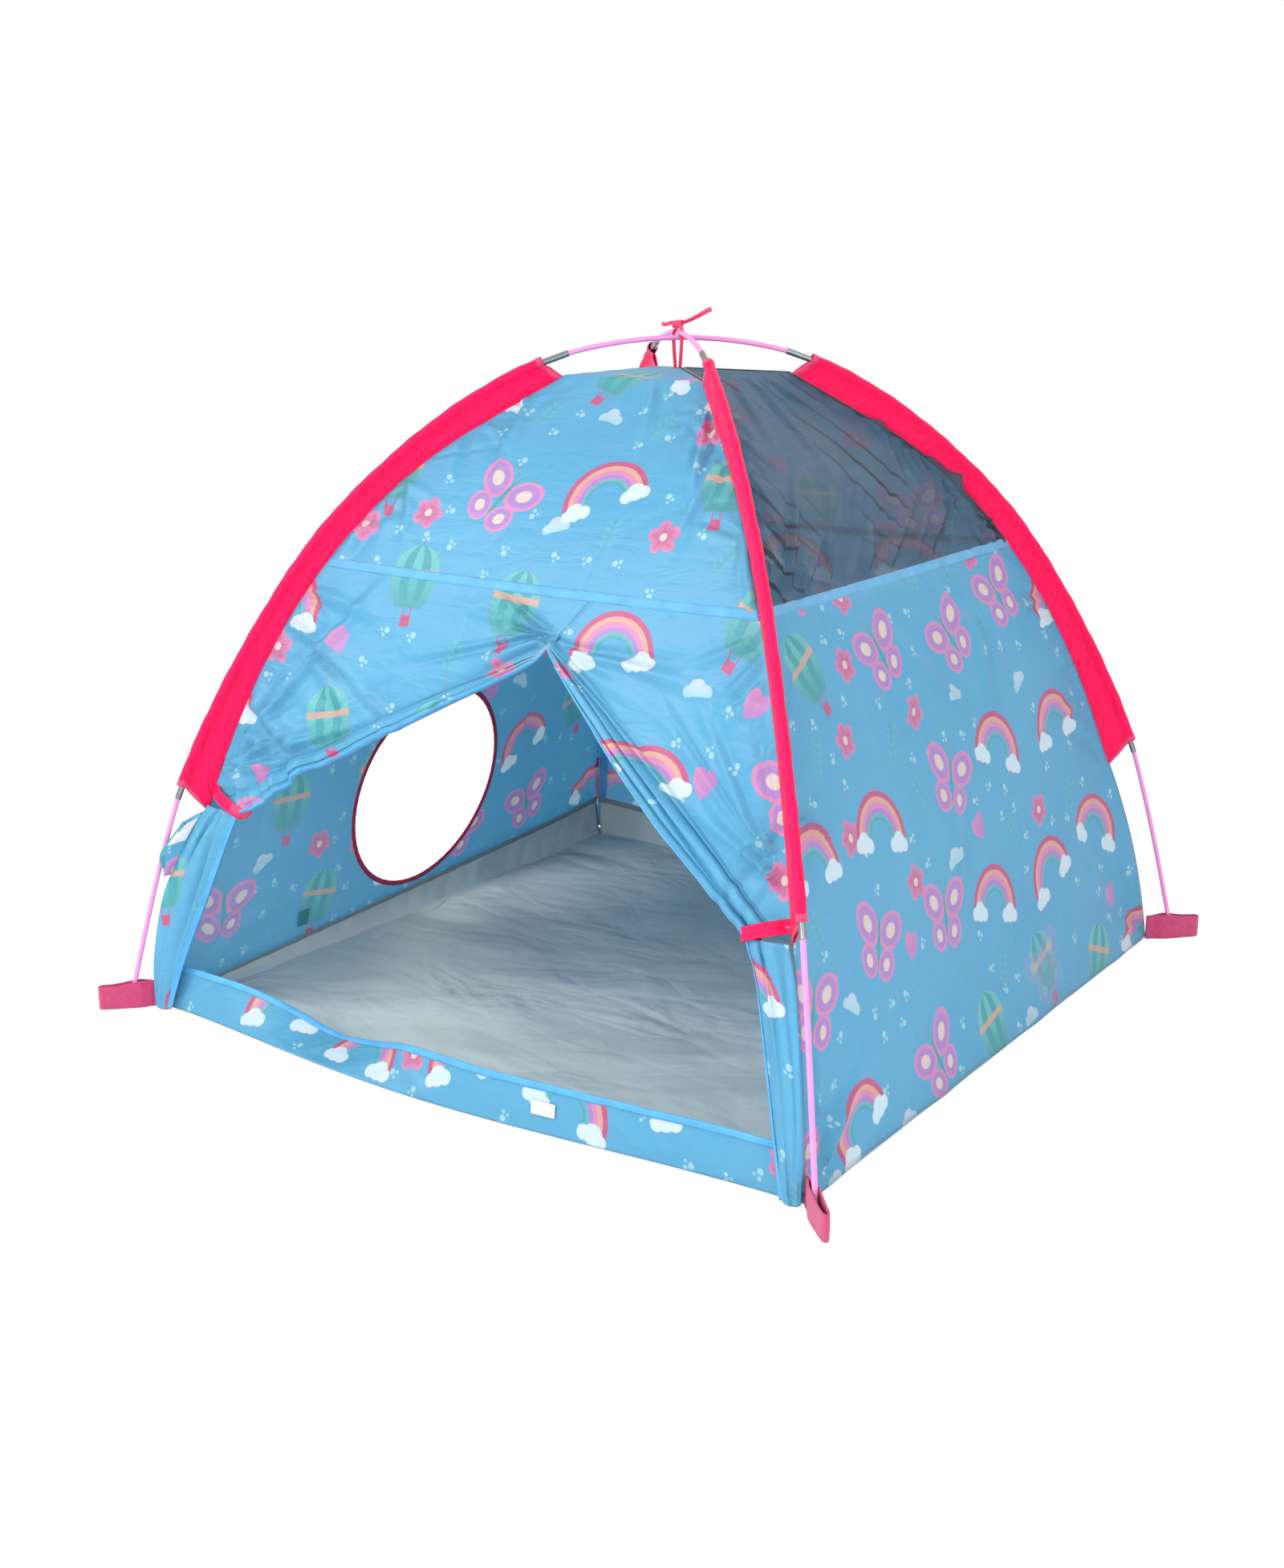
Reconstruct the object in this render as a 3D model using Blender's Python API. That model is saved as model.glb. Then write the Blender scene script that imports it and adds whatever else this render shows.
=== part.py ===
"""Child's dome play tent: two crossed arch poles in sleeves, a cloth body, a tied-back door and a floor.

Metres, +Z up. The floor lies on z = 0 and is centred on the origin. The door faces -Y.
"""

import math

import bpy
from mathutils import Vector

# Overall sizes
FLOOR_SIDE = 1.22
ARCH_HEIGHT = 1.066
POCKET_REACH = 0.0515

# Poles and the metal sleeves that join their rods
POLE_DIAMETER = 0.008
ROD_COUNT = 7
FERRULE_LENGTH = 0.075
FERRULE_WALL = 0.0008
FIRST_FERRULE_SHARE = 0.26525
LAST_FERRULE_SHARE = 0.85797
TIP_CLEARANCE = 0.0006
SLEEVE_DRAW = 0.02
DRAW_DIP_SHARE = 0.2
DRAW_DIP_REACH_SHARE = 0.09
POLE_SIDES = 8
ROD_STATIONS = 6

# Clearances
SEAT_GAP = 0.0003
CUT_OVERRUN = 0.05

# Cloth
CLOTH = 0.0016
SEAM_DEPTH = 0.05
SEAM_HEIGHT = 0.727
WALL_SAG = 0.015
WALL_COLUMNS = 12
LOWER_ROWS = 5
UPPER_ROWS = 9
APEX_STOP = 0.009
ROOF_KNEE_RADIUS = 0.182
ROOF_KNEE_DEPTH = 0.0315
APEX_DROP = 0.046

# Pole sleeves
SLEEVE_FOOT_SHARE = 0.25543
SLEEVE_TOP_SHARE = 0.82653
SLEEVE_SEAM_TOP_SHARE = 0.75318
SLEEVE_EASE = 0.0012
SLEEVE_SKIN = 0.0008
SLEEVE_WEB = 0.0018
SLEEVE_GUSSET = 0.03
SLEEVE_NECK_SHARE = 2.2
SLEEVE_STATIONS = 14

# Floor and the rim that it turns up behind three walls
FLOOR_SHEET = 0.002
RIM_FRONT_LEFT = 0.015
RIM_BACK_LEFT = 0.075
RIM_BACK_RIGHT = 0.035
RIM_FRONT_RIGHT = 0.012
RIM_COLUMNS = 10
FRONT_BOW = 0.042

# Door sill
SILL_HEIGHT = 0.07
SILL_SKEW_SHARE = 0.3
SILL_FALLEN_SHARE = -0.4
SILL_FALLEN_REACH_SHARE = 0.32
SILL_FALLEN_LEAN = math.radians(72)
SILL_COLUMNS = 20

# Round tunnel port in the left wall
PORT_RADIUS = 0.2
PORT_HEIGHT = 0.245
PORT_BINDING_WIDTH = 0.01
PORT_BINDING_DEPTH = 0.004
PORT_SIDES = 32

# Door slit and its two gathered flaps
SLIT_TOP_X = 0.062
SLIT_TOP_Z = 0.658
SLIT_SEAM_SHIFT = 0.05
FLAP_PIVOT_SPREAD = 0.024
FLAP_PIVOT_DROP = 0.03
FLAP_HALF_WIDTH = 0.026
FLAP_HALF_DEPTH = 0.013
FLAP_END_HALF_DEPTH = 0.0105
FLAP_FOLDS = 3
FLAP_TOP_SHARE = 0.34
FLAP_FULL_SHARE = 0.98
FLAP_DRAWN_SHARE = 0.72
FLAP_DRAWN_FROM_SHARE = 0.62
FOLD_DEPTH_SHARE = 0.38
FOLD_BACK_SHARE = 0.55
FLAP_STATIONS = 14
FLAP_SECTION_POINTS = 24
TIE_HEIGHT_LEFT = 0.345
TIE_HEIGHT_RIGHT = 0.335
TIE_INSET = 0.052
FLAP_END_CLEARANCE = 0.022
FLAP_TAIL_GAP = 0.004
TAIL_FOOT_WIDTH = 0.035
TAIL_WAIST_WIDTH = 0.03
TAIL_FOLDS = 3
TAIL_HALF_DEPTH = 0.01
TAIL_STEER_SHARES = (0.2, 0.45)

# Tie straps
TIE_WIDTH = 0.02
TIE_THICKNESS = 0.0016
TIE_LENGTH = 0.082
TIE_BEND = 0.012
TIE_ROOT_INSET = 0.013
TIE_SLOPE = math.radians(33.5)

# Corner pockets of webbing
POCKET_LENGTH = 0.1
POCKET_HEIGHT = 0.045
POCKET_THROAT_SHARE = 0.12
POCKET_BELLY_SHARE = 0.35
POCKET_CORNER_SHARE = 0.3
WEBBING = 0.0022

# Ribbon tied over the crossing
RIBBON_WIDTH = 0.006
RIBBON_THICKNESS = 0.0012
RIBBON_HALF_SPREAD = 0.0135
KNOT_SIZE = 0.016
RIBBON_TAIL_LENGTH = 0.045
RIBBON_STUB_LENGTH = 0.026
RIBBON_BEND_SHARE = 0.35
RIBBON_SHOULDER_SHARE = 0.75
KNOT_END_SHARE = 0.62
KNOT_RISE_SHARE = 0.7
RIBBON_LIFT_SHARE = 0.35
RIBBON_STUB_LIFT_SHARE = 0.2
RIBBON_TAIL_TURN = math.radians(25.5)
RIBBON_STUB_TURN = math.radians(197.5)

# Hook-and-loop patch on the sill
PATCH_LENGTH = 0.04
PATCH_HEIGHT = 0.02
PATCH_THICKNESS = 0.0016
SILL_PATCH_SHARE = 0.33

# Derived sizes that several pieces share
HALF_FLOOR = FLOOR_SIDE / 2
CORNER_RADIUS = HALF_FLOOR * math.sqrt(2)
FOOT_RADIUS = CORNER_RADIUS + POCKET_REACH
POLE_RADIUS = POLE_DIAMETER / 2
FERRULE_RADIUS = POLE_RADIUS + SEAT_GAP + FERRULE_WALL
CORNERS = {
    "front_left": Vector((-1, -1, 0)).normalized(),
    "front_right": Vector((1, -1, 0)).normalized(),
    "back_right": Vector((1, 1, 0)).normalized(),
    "back_left": Vector((-1, 1, 0)).normalized(),
}
UP = Vector((0, 0, 1))


# Materials
def material(name, color, roughness, metallic=0.0):
    """A plain Principled finish."""
    made = bpy.data.materials.new(name)
    made.use_nodes = True
    shader = made.node_tree.nodes["Principled BSDF"]
    shader.inputs["Base Color"].default_value = (*color, 1)
    shader.inputs["Roughness"].default_value = roughness
    shader.inputs["Metallic"].default_value = metallic
    made.diffuse_color = (*color, 1)
    return made


FINISHES = {
    "printed_cloth": ((0.16, 0.50, 0.78), 0.6, 0.0),
    "sleeve_cloth": ((0.85, 0.01, 0.10), 0.6, 0.0),
    "mesh_cloth": ((0.07, 0.10, 0.14), 0.7, 0.0),
    "floor_cloth": ((0.35, 0.42, 0.45), 0.6, 0.0),
    "binding": ((0.35, 0.01, 0.05), 0.6, 0.0),
    "webbing": ((0.55, 0.03, 0.12), 0.8, 0.0),
    "pole": ((0.80, 0.35, 0.65), 0.35, 0.0),
    "ferrule": ((0.45, 0.47, 0.48), 0.3, 1.0),
    "hook_and_loop": ((0.85, 0.85, 0.86), 0.8, 0.0),
}


# Mesh helpers
def add_object(name, vertices, faces, finish, smooth=True):
    """Put one closed mesh in the scene under the sub-part's name."""
    mesh = bpy.data.meshes.new(name)
    mesh.from_pydata([tuple(v) for v in vertices], [], faces)
    mesh.validate()
    if smooth:
        mesh.shade_smooth()
        mesh.set_sharp_from_angle(angle=math.radians(40))
    made = bpy.data.objects.new(name, mesh)
    bpy.context.collection.objects.link(made)
    color, roughness, metallic = FINISHES[finish]
    mesh.materials.append(material(name + "_finish", color, roughness, metallic))
    return made


def outward(vertices, faces):
    """Turn every face round if the closed shape they make is inside out."""
    volume = 0.0
    for face in faces:
        first = Vector(vertices[face[0]])
        for i in range(1, len(face) - 1):
            second, third = Vector(vertices[face[i]]), Vector(vertices[face[i + 1]])
            volume += first.dot(second.cross(third))
    return faces if volume > 0 else [tuple(reversed(face)) for face in faces]


def loft(name, rings, finish, smooth=True):
    """A solid through closed rings of equal point count, capped at both ends."""
    count = len(rings[0])
    vertices = [p for ring in rings for p in ring]
    faces = []
    for i in range(len(rings) - 1):
        for j in range(count):
            k = (j + 1) % count
            faces.append((i * count + j, i * count + k, (i + 1) * count + k, (i + 1) * count + j))
    last = (len(rings) - 1) * count
    faces.append(tuple(reversed(range(count))))
    faces.append(tuple(last + j for j in range(count)))
    return add_object(name, vertices, outward(vertices, faces), finish, smooth)


def hollow_loft(name, outer, inner, finish, closed=False, smooth=True):
    """A tube between outer and inner rings of equal point count, open at its ends or run round on itself."""
    count = len(outer[0])
    stations = len(outer)
    vertices = [p for ring in outer for p in ring] + [p for ring in inner for p in ring]
    shift = stations * count
    faces = []
    for i in range(stations if closed else stations - 1):
        n = (i + 1) % stations
        for j in range(count):
            k = (j + 1) % count
            faces.append((i * count + j, i * count + k, n * count + k, n * count + j))
            faces.append((shift + i * count + j, shift + n * count + j,
                          shift + n * count + k, shift + i * count + k))
    if not closed:
        end = (stations - 1) * count
        for j in range(count):
            k = (j + 1) % count
            faces.append((j, shift + j, shift + k, k))
            faces.append((end + j, end + k, shift + end + k, shift + end + j))
    return add_object(name, vertices, outward(vertices, faces), finish, smooth)


def slab(name, outer, inner, finish, smooth=True):
    """A sheet of cloth between two grids of equal size, closed round its edge."""
    rows, columns = len(outer), len(outer[0])
    vertices = [p for row in outer for p in row] + [p for row in inner for p in row]
    shift = rows * columns
    faces = []
    for i in range(rows - 1):
        for j in range(columns - 1):
            a, b = i * columns + j, (i + 1) * columns + j
            faces.append((a, a + 1, b + 1, b))
            faces.append((shift + a, shift + b, shift + b + 1, shift + a + 1))
    edge = [(0, j) for j in range(columns)] + [(i, columns - 1) for i in range(1, rows)]
    edge += [(rows - 1, j) for j in range(columns - 2, -1, -1)] + [(i, 0) for i in range(rows - 2, 0, -1)]
    around = [i * columns + j for i, j in edge]
    for here, there in zip(around, around[1:] + around[:1]):
        faces.append((here, shift + here, shift + there, there))
    return add_object(name, vertices, outward(vertices, faces), finish, smooth)


def blend(a, b, f):
    """The value that lies the share f of the way from a to b."""
    return a + (b - a) * f


def steps(start, end, count):
    """Evenly spaced values from start to end, both included."""
    return [blend(start, end, i / (count - 1)) for i in range(count)]


# Arch poles
class Arch:
    """The curve that a springy pole takes when its two tips stand on the floor and are free to turn."""

    SAMPLES = 400

    def __init__(self, half_span, height, draw=0.0):
        low, high = 0.05, 0.95
        for _ in range(60):
            modulus = (low + high) / 2
            if self.half_span(modulus, height) > half_span:
                low = modulus
            else:
                high = modulus
        self.table = self.trace(modulus, height, half_span)
        self.half_length = self.table[-1][0]
        if draw:
            self.table = self.drawn_in(draw)
            self.half_length = self.table[-1][0]

    @staticmethod
    def rate(modulus, height, turn):
        """Length and outward reach passed per unit of turn."""
        bend = modulus * math.sin(turn)
        per_turn = height / (2 * modulus) / math.sqrt(1 - bend * bend)
        return per_turn, per_turn * (1 - 2 * bend * bend)

    @classmethod
    def half_span(cls, modulus, height):
        step = math.pi / 2 / cls.SAMPLES
        return sum(cls.rate(modulus, height, (i + 0.5) * step)[1] for i in range(cls.SAMPLES)) * step

    @classmethod
    def trace(cls, modulus, height, half_span):
        """Rows of length from the foot, radius, height and slope, from the foot to the crown."""
        step = math.pi / 2 / cls.SAMPLES
        length, radius = 0.0, half_span
        rows = [(0.0, half_span, 0.0, 2 * math.asin(modulus))]
        for i in range(cls.SAMPLES):
            ahead, reach = cls.rate(modulus, height, math.pi / 2 - (i + 0.5) * step)
            length += ahead * step
            radius -= reach * step
            turn = math.pi / 2 - (i + 1) * step
            rows.append((length, radius, height * math.cos(turn), 2 * math.asin(modulus * math.sin(turn))))
        return rows

    def drawn_in(self, draw):
        """The rows of the line when the sleeves pull it in, a little less at the middle ferrule."""
        middle = (FIRST_FERRULE_SHARE + LAST_FERRULE_SHARE) / 2
        line = []
        for length, radius, height, slope in self.table:
            share = length / self.half_length
            along = (share - FIRST_FERRULE_SHARE) / (LAST_FERRULE_SHARE - FIRST_FERRULE_SHARE)
            pull = draw * math.sin(math.pi * min(max(along, 0.0), 1.0))
            pull *= 1 - DRAW_DIP_SHARE * math.exp(-((share - middle) / DRAW_DIP_REACH_SHARE) ** 2)
            line.append((radius - pull * math.sin(slope), height - pull * math.cos(slope)))
        rows = []
        length = 0.0
        for i, here in enumerate(line):
            before, after = line[max(i - 1, 0)], line[min(i + 1, len(line) - 1)]
            length += math.dist(before, here)
            slope = math.atan2(after[1] - before[1], before[0] - after[0])
            rows.append((length, here[0], here[1], slope))
        return rows[:-1] + [rows[-1][:3] + (0.0,)]

    def at(self, length):
        """Radius, height and slope at a length from the nearer foot."""
        for here, there in zip(self.table, self.table[1:]):
            if there[0] >= length:
                f = (length - here[0]) / (there[0] - here[0])
                return tuple(blend(a, b, f) for a, b in zip(here[1:], there[1:]))
        return self.table[-1][1:]

    def point(self, start, length):
        """The place at a length from the foot on the start corner's side, past the crown too."""
        past = length > self.half_length
        radius, height, slope = self.at(2 * self.half_length - length if past else length)
        return start * (-radius if past else radius) + UP * height


# Corner seam of the cloth body
class CornerSeam:
    """The line in each corner's upright plane where two walls meet: radius against height."""

    SPACING_COUNT = 60

    def __init__(self, arch):
        foot = SLEEVE_FOOT_SHARE * arch.half_length
        top = SLEEVE_SEAM_TOP_SHARE * arch.half_length
        self.points = [(CORNER_RADIUS, 0.0)]
        for length in steps(foot, top, self.SPACING_COUNT):
            self.points.append(self.under(arch, length))
        knee_height = self.pole_height(arch, ROOF_KNEE_RADIUS) - ROOF_KNEE_DEPTH
        self.points.append((ROOF_KNEE_RADIUS, knee_height))
        self.points.append((0.0, ARCH_HEIGHT - APEX_DROP))

    @staticmethod
    def under(arch, length):
        """The seam point that hangs in from the pole at a length from its foot."""
        radius, height, slope = arch.at(length)
        return radius - SEAM_DEPTH * math.sin(slope), height - SEAM_DEPTH * math.cos(slope)

    @staticmethod
    def pole_height(arch, radius):
        for here, there in zip(arch.table, arch.table[1:]):
            if there[1] <= radius:
                return blend(here[2], there[2], (here[1] - radius) / (here[1] - there[1]))
        return arch.table[-1][2]

    def radius(self, height):
        """Radius at a height."""
        for here, there in zip(self.points, self.points[1:]):
            if there[1] >= height:
                return blend(here[0], there[0], (height - here[1]) / (there[1] - here[1]))
        return self.points[-1][0]

    def rows(self, low, count):
        """Heights from low up to the apex, evenly spaced along the line, with one at the roof's knee."""
        reach = [p for p in self.points if p[1] > low]
        reach = [(self.radius(low), low)] + reach
        lengths = [0.0]
        for here, there in zip(reach, reach[1:]):
            lengths.append(lengths[-1] + math.dist(here, there))
        knee = lengths[-2]
        top = lengths[-1] - APEX_STOP
        marks = steps(0.0, knee, count)[:-1] + steps(knee, top, 3)
        heights = []
        for mark in marks:
            for i in range(len(lengths) - 1):
                if lengths[i + 1] >= mark or i == len(lengths) - 2:
                    f = (mark - lengths[i]) / (lengths[i + 1] - lengths[i])
                    heights.append(blend(reach[i][1], reach[i + 1][1], min(f, 1.0)))
                    break
        return heights


# Walls
class Wall:
    """One side of the cloth body, seen from outside with its own right and its own outward way."""

    def __init__(self, right, out, seam, rim_left=0.0, rim_right=0.0):
        self.right = right
        self.out = out
        self.seam = seam
        self.rim_left = rim_left
        self.rim_right = rim_right

    def half_width(self, height):
        return self.seam.radius(height) / math.sqrt(2)

    def lean(self, height):
        """The wall's angle from upright."""
        low = min(max(height - CLOTH, 0.0), self.seam.points[-1][1] - 2 * CLOTH)
        return math.atan2(self.half_width(low) - self.half_width(low + 2 * CLOTH), 2 * CLOTH)

    def sag(self, across, height):
        """How far the cloth hangs in from the straight line between its corners."""
        share = min(height / self.seam.points[-1][1], 1.0)
        return WALL_SAG * (1 - across * across) * math.sin(math.pi * share)

    def at(self, across, height, depth=0.0):
        """A point at a depth inside the wall's outer face; across runs from -1 to 1 between the seams."""
        lean = self.lean(height)
        half = self.half_width(height) - depth * math.cos(lean)
        sag = self.sag(across, height)
        side = self.right * (across * (half - SEAT_GAP))
        out = self.out * (half - sag * math.cos(lean))
        return side + out + UP * (height - (depth + sag) * math.sin(lean))

    def at_side(self, side, height, depth=0.0):
        """A point of the wall at a distance to the right of its middle."""
        return self.at(side / (self.half_width(height) - SEAT_GAP), height, depth)

    def rim(self, across):
        """Height of the floor's turned-up rim along this wall."""
        return blend(self.rim_left, self.rim_right, (across + 1) / 2)

    def lower_grid(self, depth):
        """Rows from just over the rim to the panel seam."""
        columns = steps(-1.0, 1.0, WALL_COLUMNS + 1)
        grid = []
        for f in steps(0.0, 1.0, LOWER_ROWS + 1):
            grid.append([self.at(c, blend(self.rim(c) + SEAT_GAP, SEAM_HEIGHT, f), depth) for c in columns])
        return grid

    def upper_grid(self, depth):
        """Rows from just over the panel seam to the apex."""
        heights = self.seam.rows(SEAM_HEIGHT + SEAT_GAP, UPPER_ROWS)
        columns = steps(-1.0, 1.0, WALL_COLUMNS + 1)
        return [[self.at(c, h, depth) for c in columns] for h in heights]

    def lower_panel(self, name):
        return slab(name, self.lower_grid(0.0), self.lower_grid(CLOTH), "printed_cloth")

    def upper_panel(self, name, finish="printed_cloth"):
        return slab(name, self.upper_grid(0.0), self.upper_grid(CLOTH), finish)


# Poles
def across(start):
    """The level direction square to an arch's own plane."""
    return UP.cross(start).normalized()


def ring(centre, side, along, radius, count):
    """A round section, its first corner towards side, in the plane square to along."""
    other = along.cross(side).normalized()
    points = []
    for i in range(count):
        turn = 2 * math.pi * i / count
        points.append(centre + side * (radius * math.cos(turn)) + other * (radius * math.sin(turn)))
    return points


def path_rings(points, side, radius, count):
    """Round sections along a path that stays in one plane, each in the plane that halves its bend."""
    rings = []
    for i, point in enumerate(points):
        ahead = (points[min(i + 1, len(points) - 1)] - point).normalized()
        behind = (point - points[max(i - 1, 0)]).normalized()
        rings.append(ring(point, side, (ahead + behind).normalized(), radius, count))
    return rings


def ferrule_places(arch):
    """Lengths from the foot to each ferrule's middle; the hidden ones share out the sleeve between them."""
    inner = (ROD_COUNT - 3) // 2 + 1
    first = FIRST_FERRULE_SHARE * arch.half_length
    last = LAST_FERRULE_SHARE * arch.half_length
    near = steps(first, last, inner)
    return near + [2 * arch.half_length - s for s in reversed(near)]


def rod_points(arch, start, places, i):
    """The middle line of a rod: straight inside its ferrules and bent between them."""
    half = FERRULE_LENGTH / 2
    points = []
    if i == 0:
        low = TIP_CLEARANCE
    else:
        low = places[i - 1] + half
        points.append(ferrule_middle(arch, start, places[i - 1], SEAT_GAP / 2))
    high = places[i] - half if i < len(places) else 2 * arch.half_length - TIP_CLEARANCE
    points += [arch.point(start, s) for s in steps(low, high, ROD_STATIONS)]
    if i < len(places):
        points.append(ferrule_middle(arch, start, places[i], -SEAT_GAP / 2))
    return points


def ferrule_middle(arch, start, place, shift):
    """The middle of a ferrule's chord, moved a little along it."""
    near, far = ferrule_ends(arch, start, place)
    return (near + far) / 2 + (far - near).normalized() * shift


def ferrule_ends(arch, start, place):
    half = FERRULE_LENGTH / 2
    return arch.point(start, place - half), arch.point(start, place + half)


def build_pole(label, arch, start):
    """The rods and ferrules of one arch."""
    side = across(start)
    places = ferrule_places(arch)
    for i in range(len(places) + 1):
        points = rod_points(arch, start, places, i)
        rings = path_rings(points, side, POLE_RADIUS, POLE_SIDES)
        loft(f"{label}_rod_{i + 1}", rings, "pole")
    for i, place in enumerate(places):
        ends = ferrule_ends(arch, start, place)
        outer = path_rings(list(ends), side, FERRULE_RADIUS, POLE_SIDES)
        inner = path_rings(list(ends), side, FERRULE_RADIUS - FERRULE_WALL, POLE_SIDES)
        hollow_loft(f"{label}_ferrule_{i + 1}", outer, inner, "ferrule")


# Pole sleeves
def sleeve_section(pole, inward, side, seam, radius, bore):
    """A drop-shaped section: a loop of cloth square to the pole, then a flat web in to the seam."""
    web = side * (SLEEVE_WEB / 2)
    neck = pole + inward * (SLEEVE_NECK_SHARE * radius)
    ring_out, ring_in = [], []
    for degrees in (90, 135, 180, 225, 270):
        turn = math.radians(degrees)
        ring_out.append(pole + (inward * math.cos(turn) + side * math.sin(turn)) * radius)
    ring_out += [neck - web, seam - web, seam + web, neck + web]
    for degrees in (90, 135, 180, 225, 270, 305, 345, 15, 55):
        turn = math.radians(degrees)
        ring_in.append(pole + (inward * math.cos(turn) + side * math.sin(turn)) * bore)
    return ring_out, ring_in


def build_sleeve(name, arch, start, seam):
    """A sleeve from the corner's lower part up to its slanted end beside the apex."""
    side = across(start)
    bore = (FERRULE_RADIUS + SLEEVE_EASE) / math.cos(math.pi / POLE_SIDES)
    radius = bore + SLEEVE_SKIN
    low = seam.points[1][1] - SLEEVE_GUSSET
    foot = Vector((seam.radius(low), 0, low))
    inner_points = [foot] + [Vector((r, 0, z)) for r, z in seam.points[1:-1]]
    lengths = [0.0]
    for here, there in zip(inner_points, inner_points[1:]):
        lengths.append(lengths[-1] + (there - here).length)
    outer, inner = [], []
    marks = [0.0] + steps(lengths[1], lengths[-1], SLEEVE_STATIONS - 1)
    first = SLEEVE_FOOT_SHARE * arch.half_length
    last = SLEEVE_TOP_SHARE * arch.half_length
    for s, mark in zip(steps(first, last, SLEEVE_STATIONS), marks):
        place = walk(inner_points, lengths, mark)
        outer_edge = arch.point(start, s)
        near = start * place.x + UP * place.z
        near += (outer_edge - near).normalized() * (SEAT_GAP + SLEEVE_WEB / 2)
        slope = arch.at(s)[2]
        inward = start * -math.sin(slope) - UP * math.cos(slope)
        section = sleeve_section(outer_edge, inward, side, near, radius, bore)
        outer.append(section[0])
        inner.append(section[1])
    hollow_loft(name, outer, inner, "sleeve_cloth")


def walk(points, lengths, mark):
    """The place at a length along a line of points."""
    for i in range(len(points) - 1):
        if lengths[i + 1] >= mark or i == len(points) - 2:
            f = (mark - lengths[i]) / (lengths[i + 1] - lengths[i])
            return points[i].lerp(points[i + 1], min(f, 1.0))
    return points[-1]


# Floor
def front_edge(share):
    """The loose front edge of the floor, bowed out between its corners; share runs from -1 to 1."""
    bow = FRONT_BOW * (1 - share * share) ** 2 * (1 - SILL_SKEW_SHARE * share)
    return Vector((share * HALF_FLOOR, -HALF_FLOOR - bow, 0))


def build_floor(walls):
    """A flat sheet whose left, back and right edges turn up into a rim."""
    columns = steps(-1.0, 1.0, RIM_COLUMNS + 1)
    flat = []
    for v in columns:
        row = []
        for u in columns:
            inner = Vector((u * HALF_FLOOR, v * HALF_FLOOR, 0))
            front = front_edge(u)
            row.append(Vector((inner.x, blend(front.y, HALF_FLOOR, (v + 1) / 2), 0)))
        flat.append(row)
    count = len(columns)
    vertices = [p for row in flat for p in row]
    faces = []
    for i in range(count - 1):
        for j in range(count - 1):
            a = i * count + j
            faces.append((a, a + 1, a + count + 1, a + count))
    border = [(i, 0) for i in range(count)] + [(count - 1, j) for j in range(1, count)]
    border += [(i, count - 1) for i in range(count - 2, -1, -1)]
    rim = []
    for i, j in border:
        rim.append(len(vertices))
        if j == 0 and i < count - 1:
            vertices.append(rim_point(walls["left"], -columns[i], columns[i] * HALF_FLOOR))
        elif i == count - 1 and 0 < j < count - 1:
            vertices.append(rim_point(walls["back"], -columns[j], columns[j] * HALF_FLOOR))
        elif j == count - 1 and i < count - 1:
            vertices.append(rim_point(walls["right"], columns[i], columns[i] * HALF_FLOOR))
        else:
            side = walls["left"] if j == 0 else walls["right"]
            vertices.append(rim_point(side, -1.0 if j == 0 else 1.0, HALF_FLOOR))
    for (here, a), (there, b) in zip(zip(border, rim), list(zip(border, rim))[1:]):
        low_a, low_b = here[0] * count + here[1], there[0] * count + there[1]
        faces.append((low_a, low_b, b, a))
    made = add_object("ground_sheet", vertices, faces, "floor_cloth")
    thickness = made.modifiers.new("thickness", "SOLIDIFY")
    thickness.thickness = FLOOR_SHEET
    thickness.offset = 1.0
    thickness.use_even_offset = True
    return made


def rim_point(wall, across_share, along):
    """The top of the rim under a wall's lower edge."""
    height = wall.rim(across_share)
    return wall.at(across_share, height)


# Sill
def sill_point(wall, share, rise, depth):
    """A point of the sill: share runs along it, rise up its cloth and depth in from its outer face."""
    fallen = math.exp(-((share - SILL_FALLEN_SHARE) / SILL_FALLEN_REACH_SHARE) ** 2)
    lean = blend(wall.lean(0.0), SILL_FALLEN_LEAN, fallen)
    foot = front_edge(share)
    height = FLOOR_SHEET + 2 * SEAT_GAP + rise * math.cos(lean) + (CLOTH - depth) * math.sin(lean)
    out = -foot.y - rise * math.sin(lean) - depth * math.cos(lean)
    half = wall.half_width(height) - 2 * FLOOR_SHEET
    return wall.right * (share * half) + wall.out * out + UP * height


def build_sill(wall):
    """The low strip along the door's foot: upright at its ends, fallen in left of its middle."""
    shares = steps(-1.0, 1.0, SILL_COLUMNS + 1)
    rises = steps(0.0, SILL_HEIGHT, 4)
    grids = []
    for depth in (0.0, CLOTH):
        grids.append([[sill_point(wall, u, rise, depth) for u in shares] for rise in rises])
    slab("door_sill", *grids, "printed_cloth")


def build_sill_patch(wall):
    """A hook-and-loop patch on the sill's outer face."""
    half = PATCH_LENGTH / 2 / HALF_FLOOR
    shares = steps(SILL_PATCH_SHARE - half, SILL_PATCH_SHARE + half, 3)
    low = (SILL_HEIGHT - PATCH_HEIGHT) / 2
    rises = steps(low, low + PATCH_HEIGHT, 3)
    depths = (-SEAT_GAP - PATCH_THICKNESS, -SEAT_GAP)
    grids = [[[sill_point(wall, u, rise, depth) for u in shares] for rise in rises] for depth in depths]
    slab("sill_patch", *grids, "hook_and_loop")


# Round port
def port_place(wall, turn, radius, depth):
    """A point round the port, on the wall's face."""
    lean = wall.lean(PORT_HEIGHT)
    side = radius * math.cos(turn)
    height = PORT_HEIGHT + radius * math.sin(turn) * math.cos(lean)
    return wall.at_side(side, height, depth)


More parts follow.
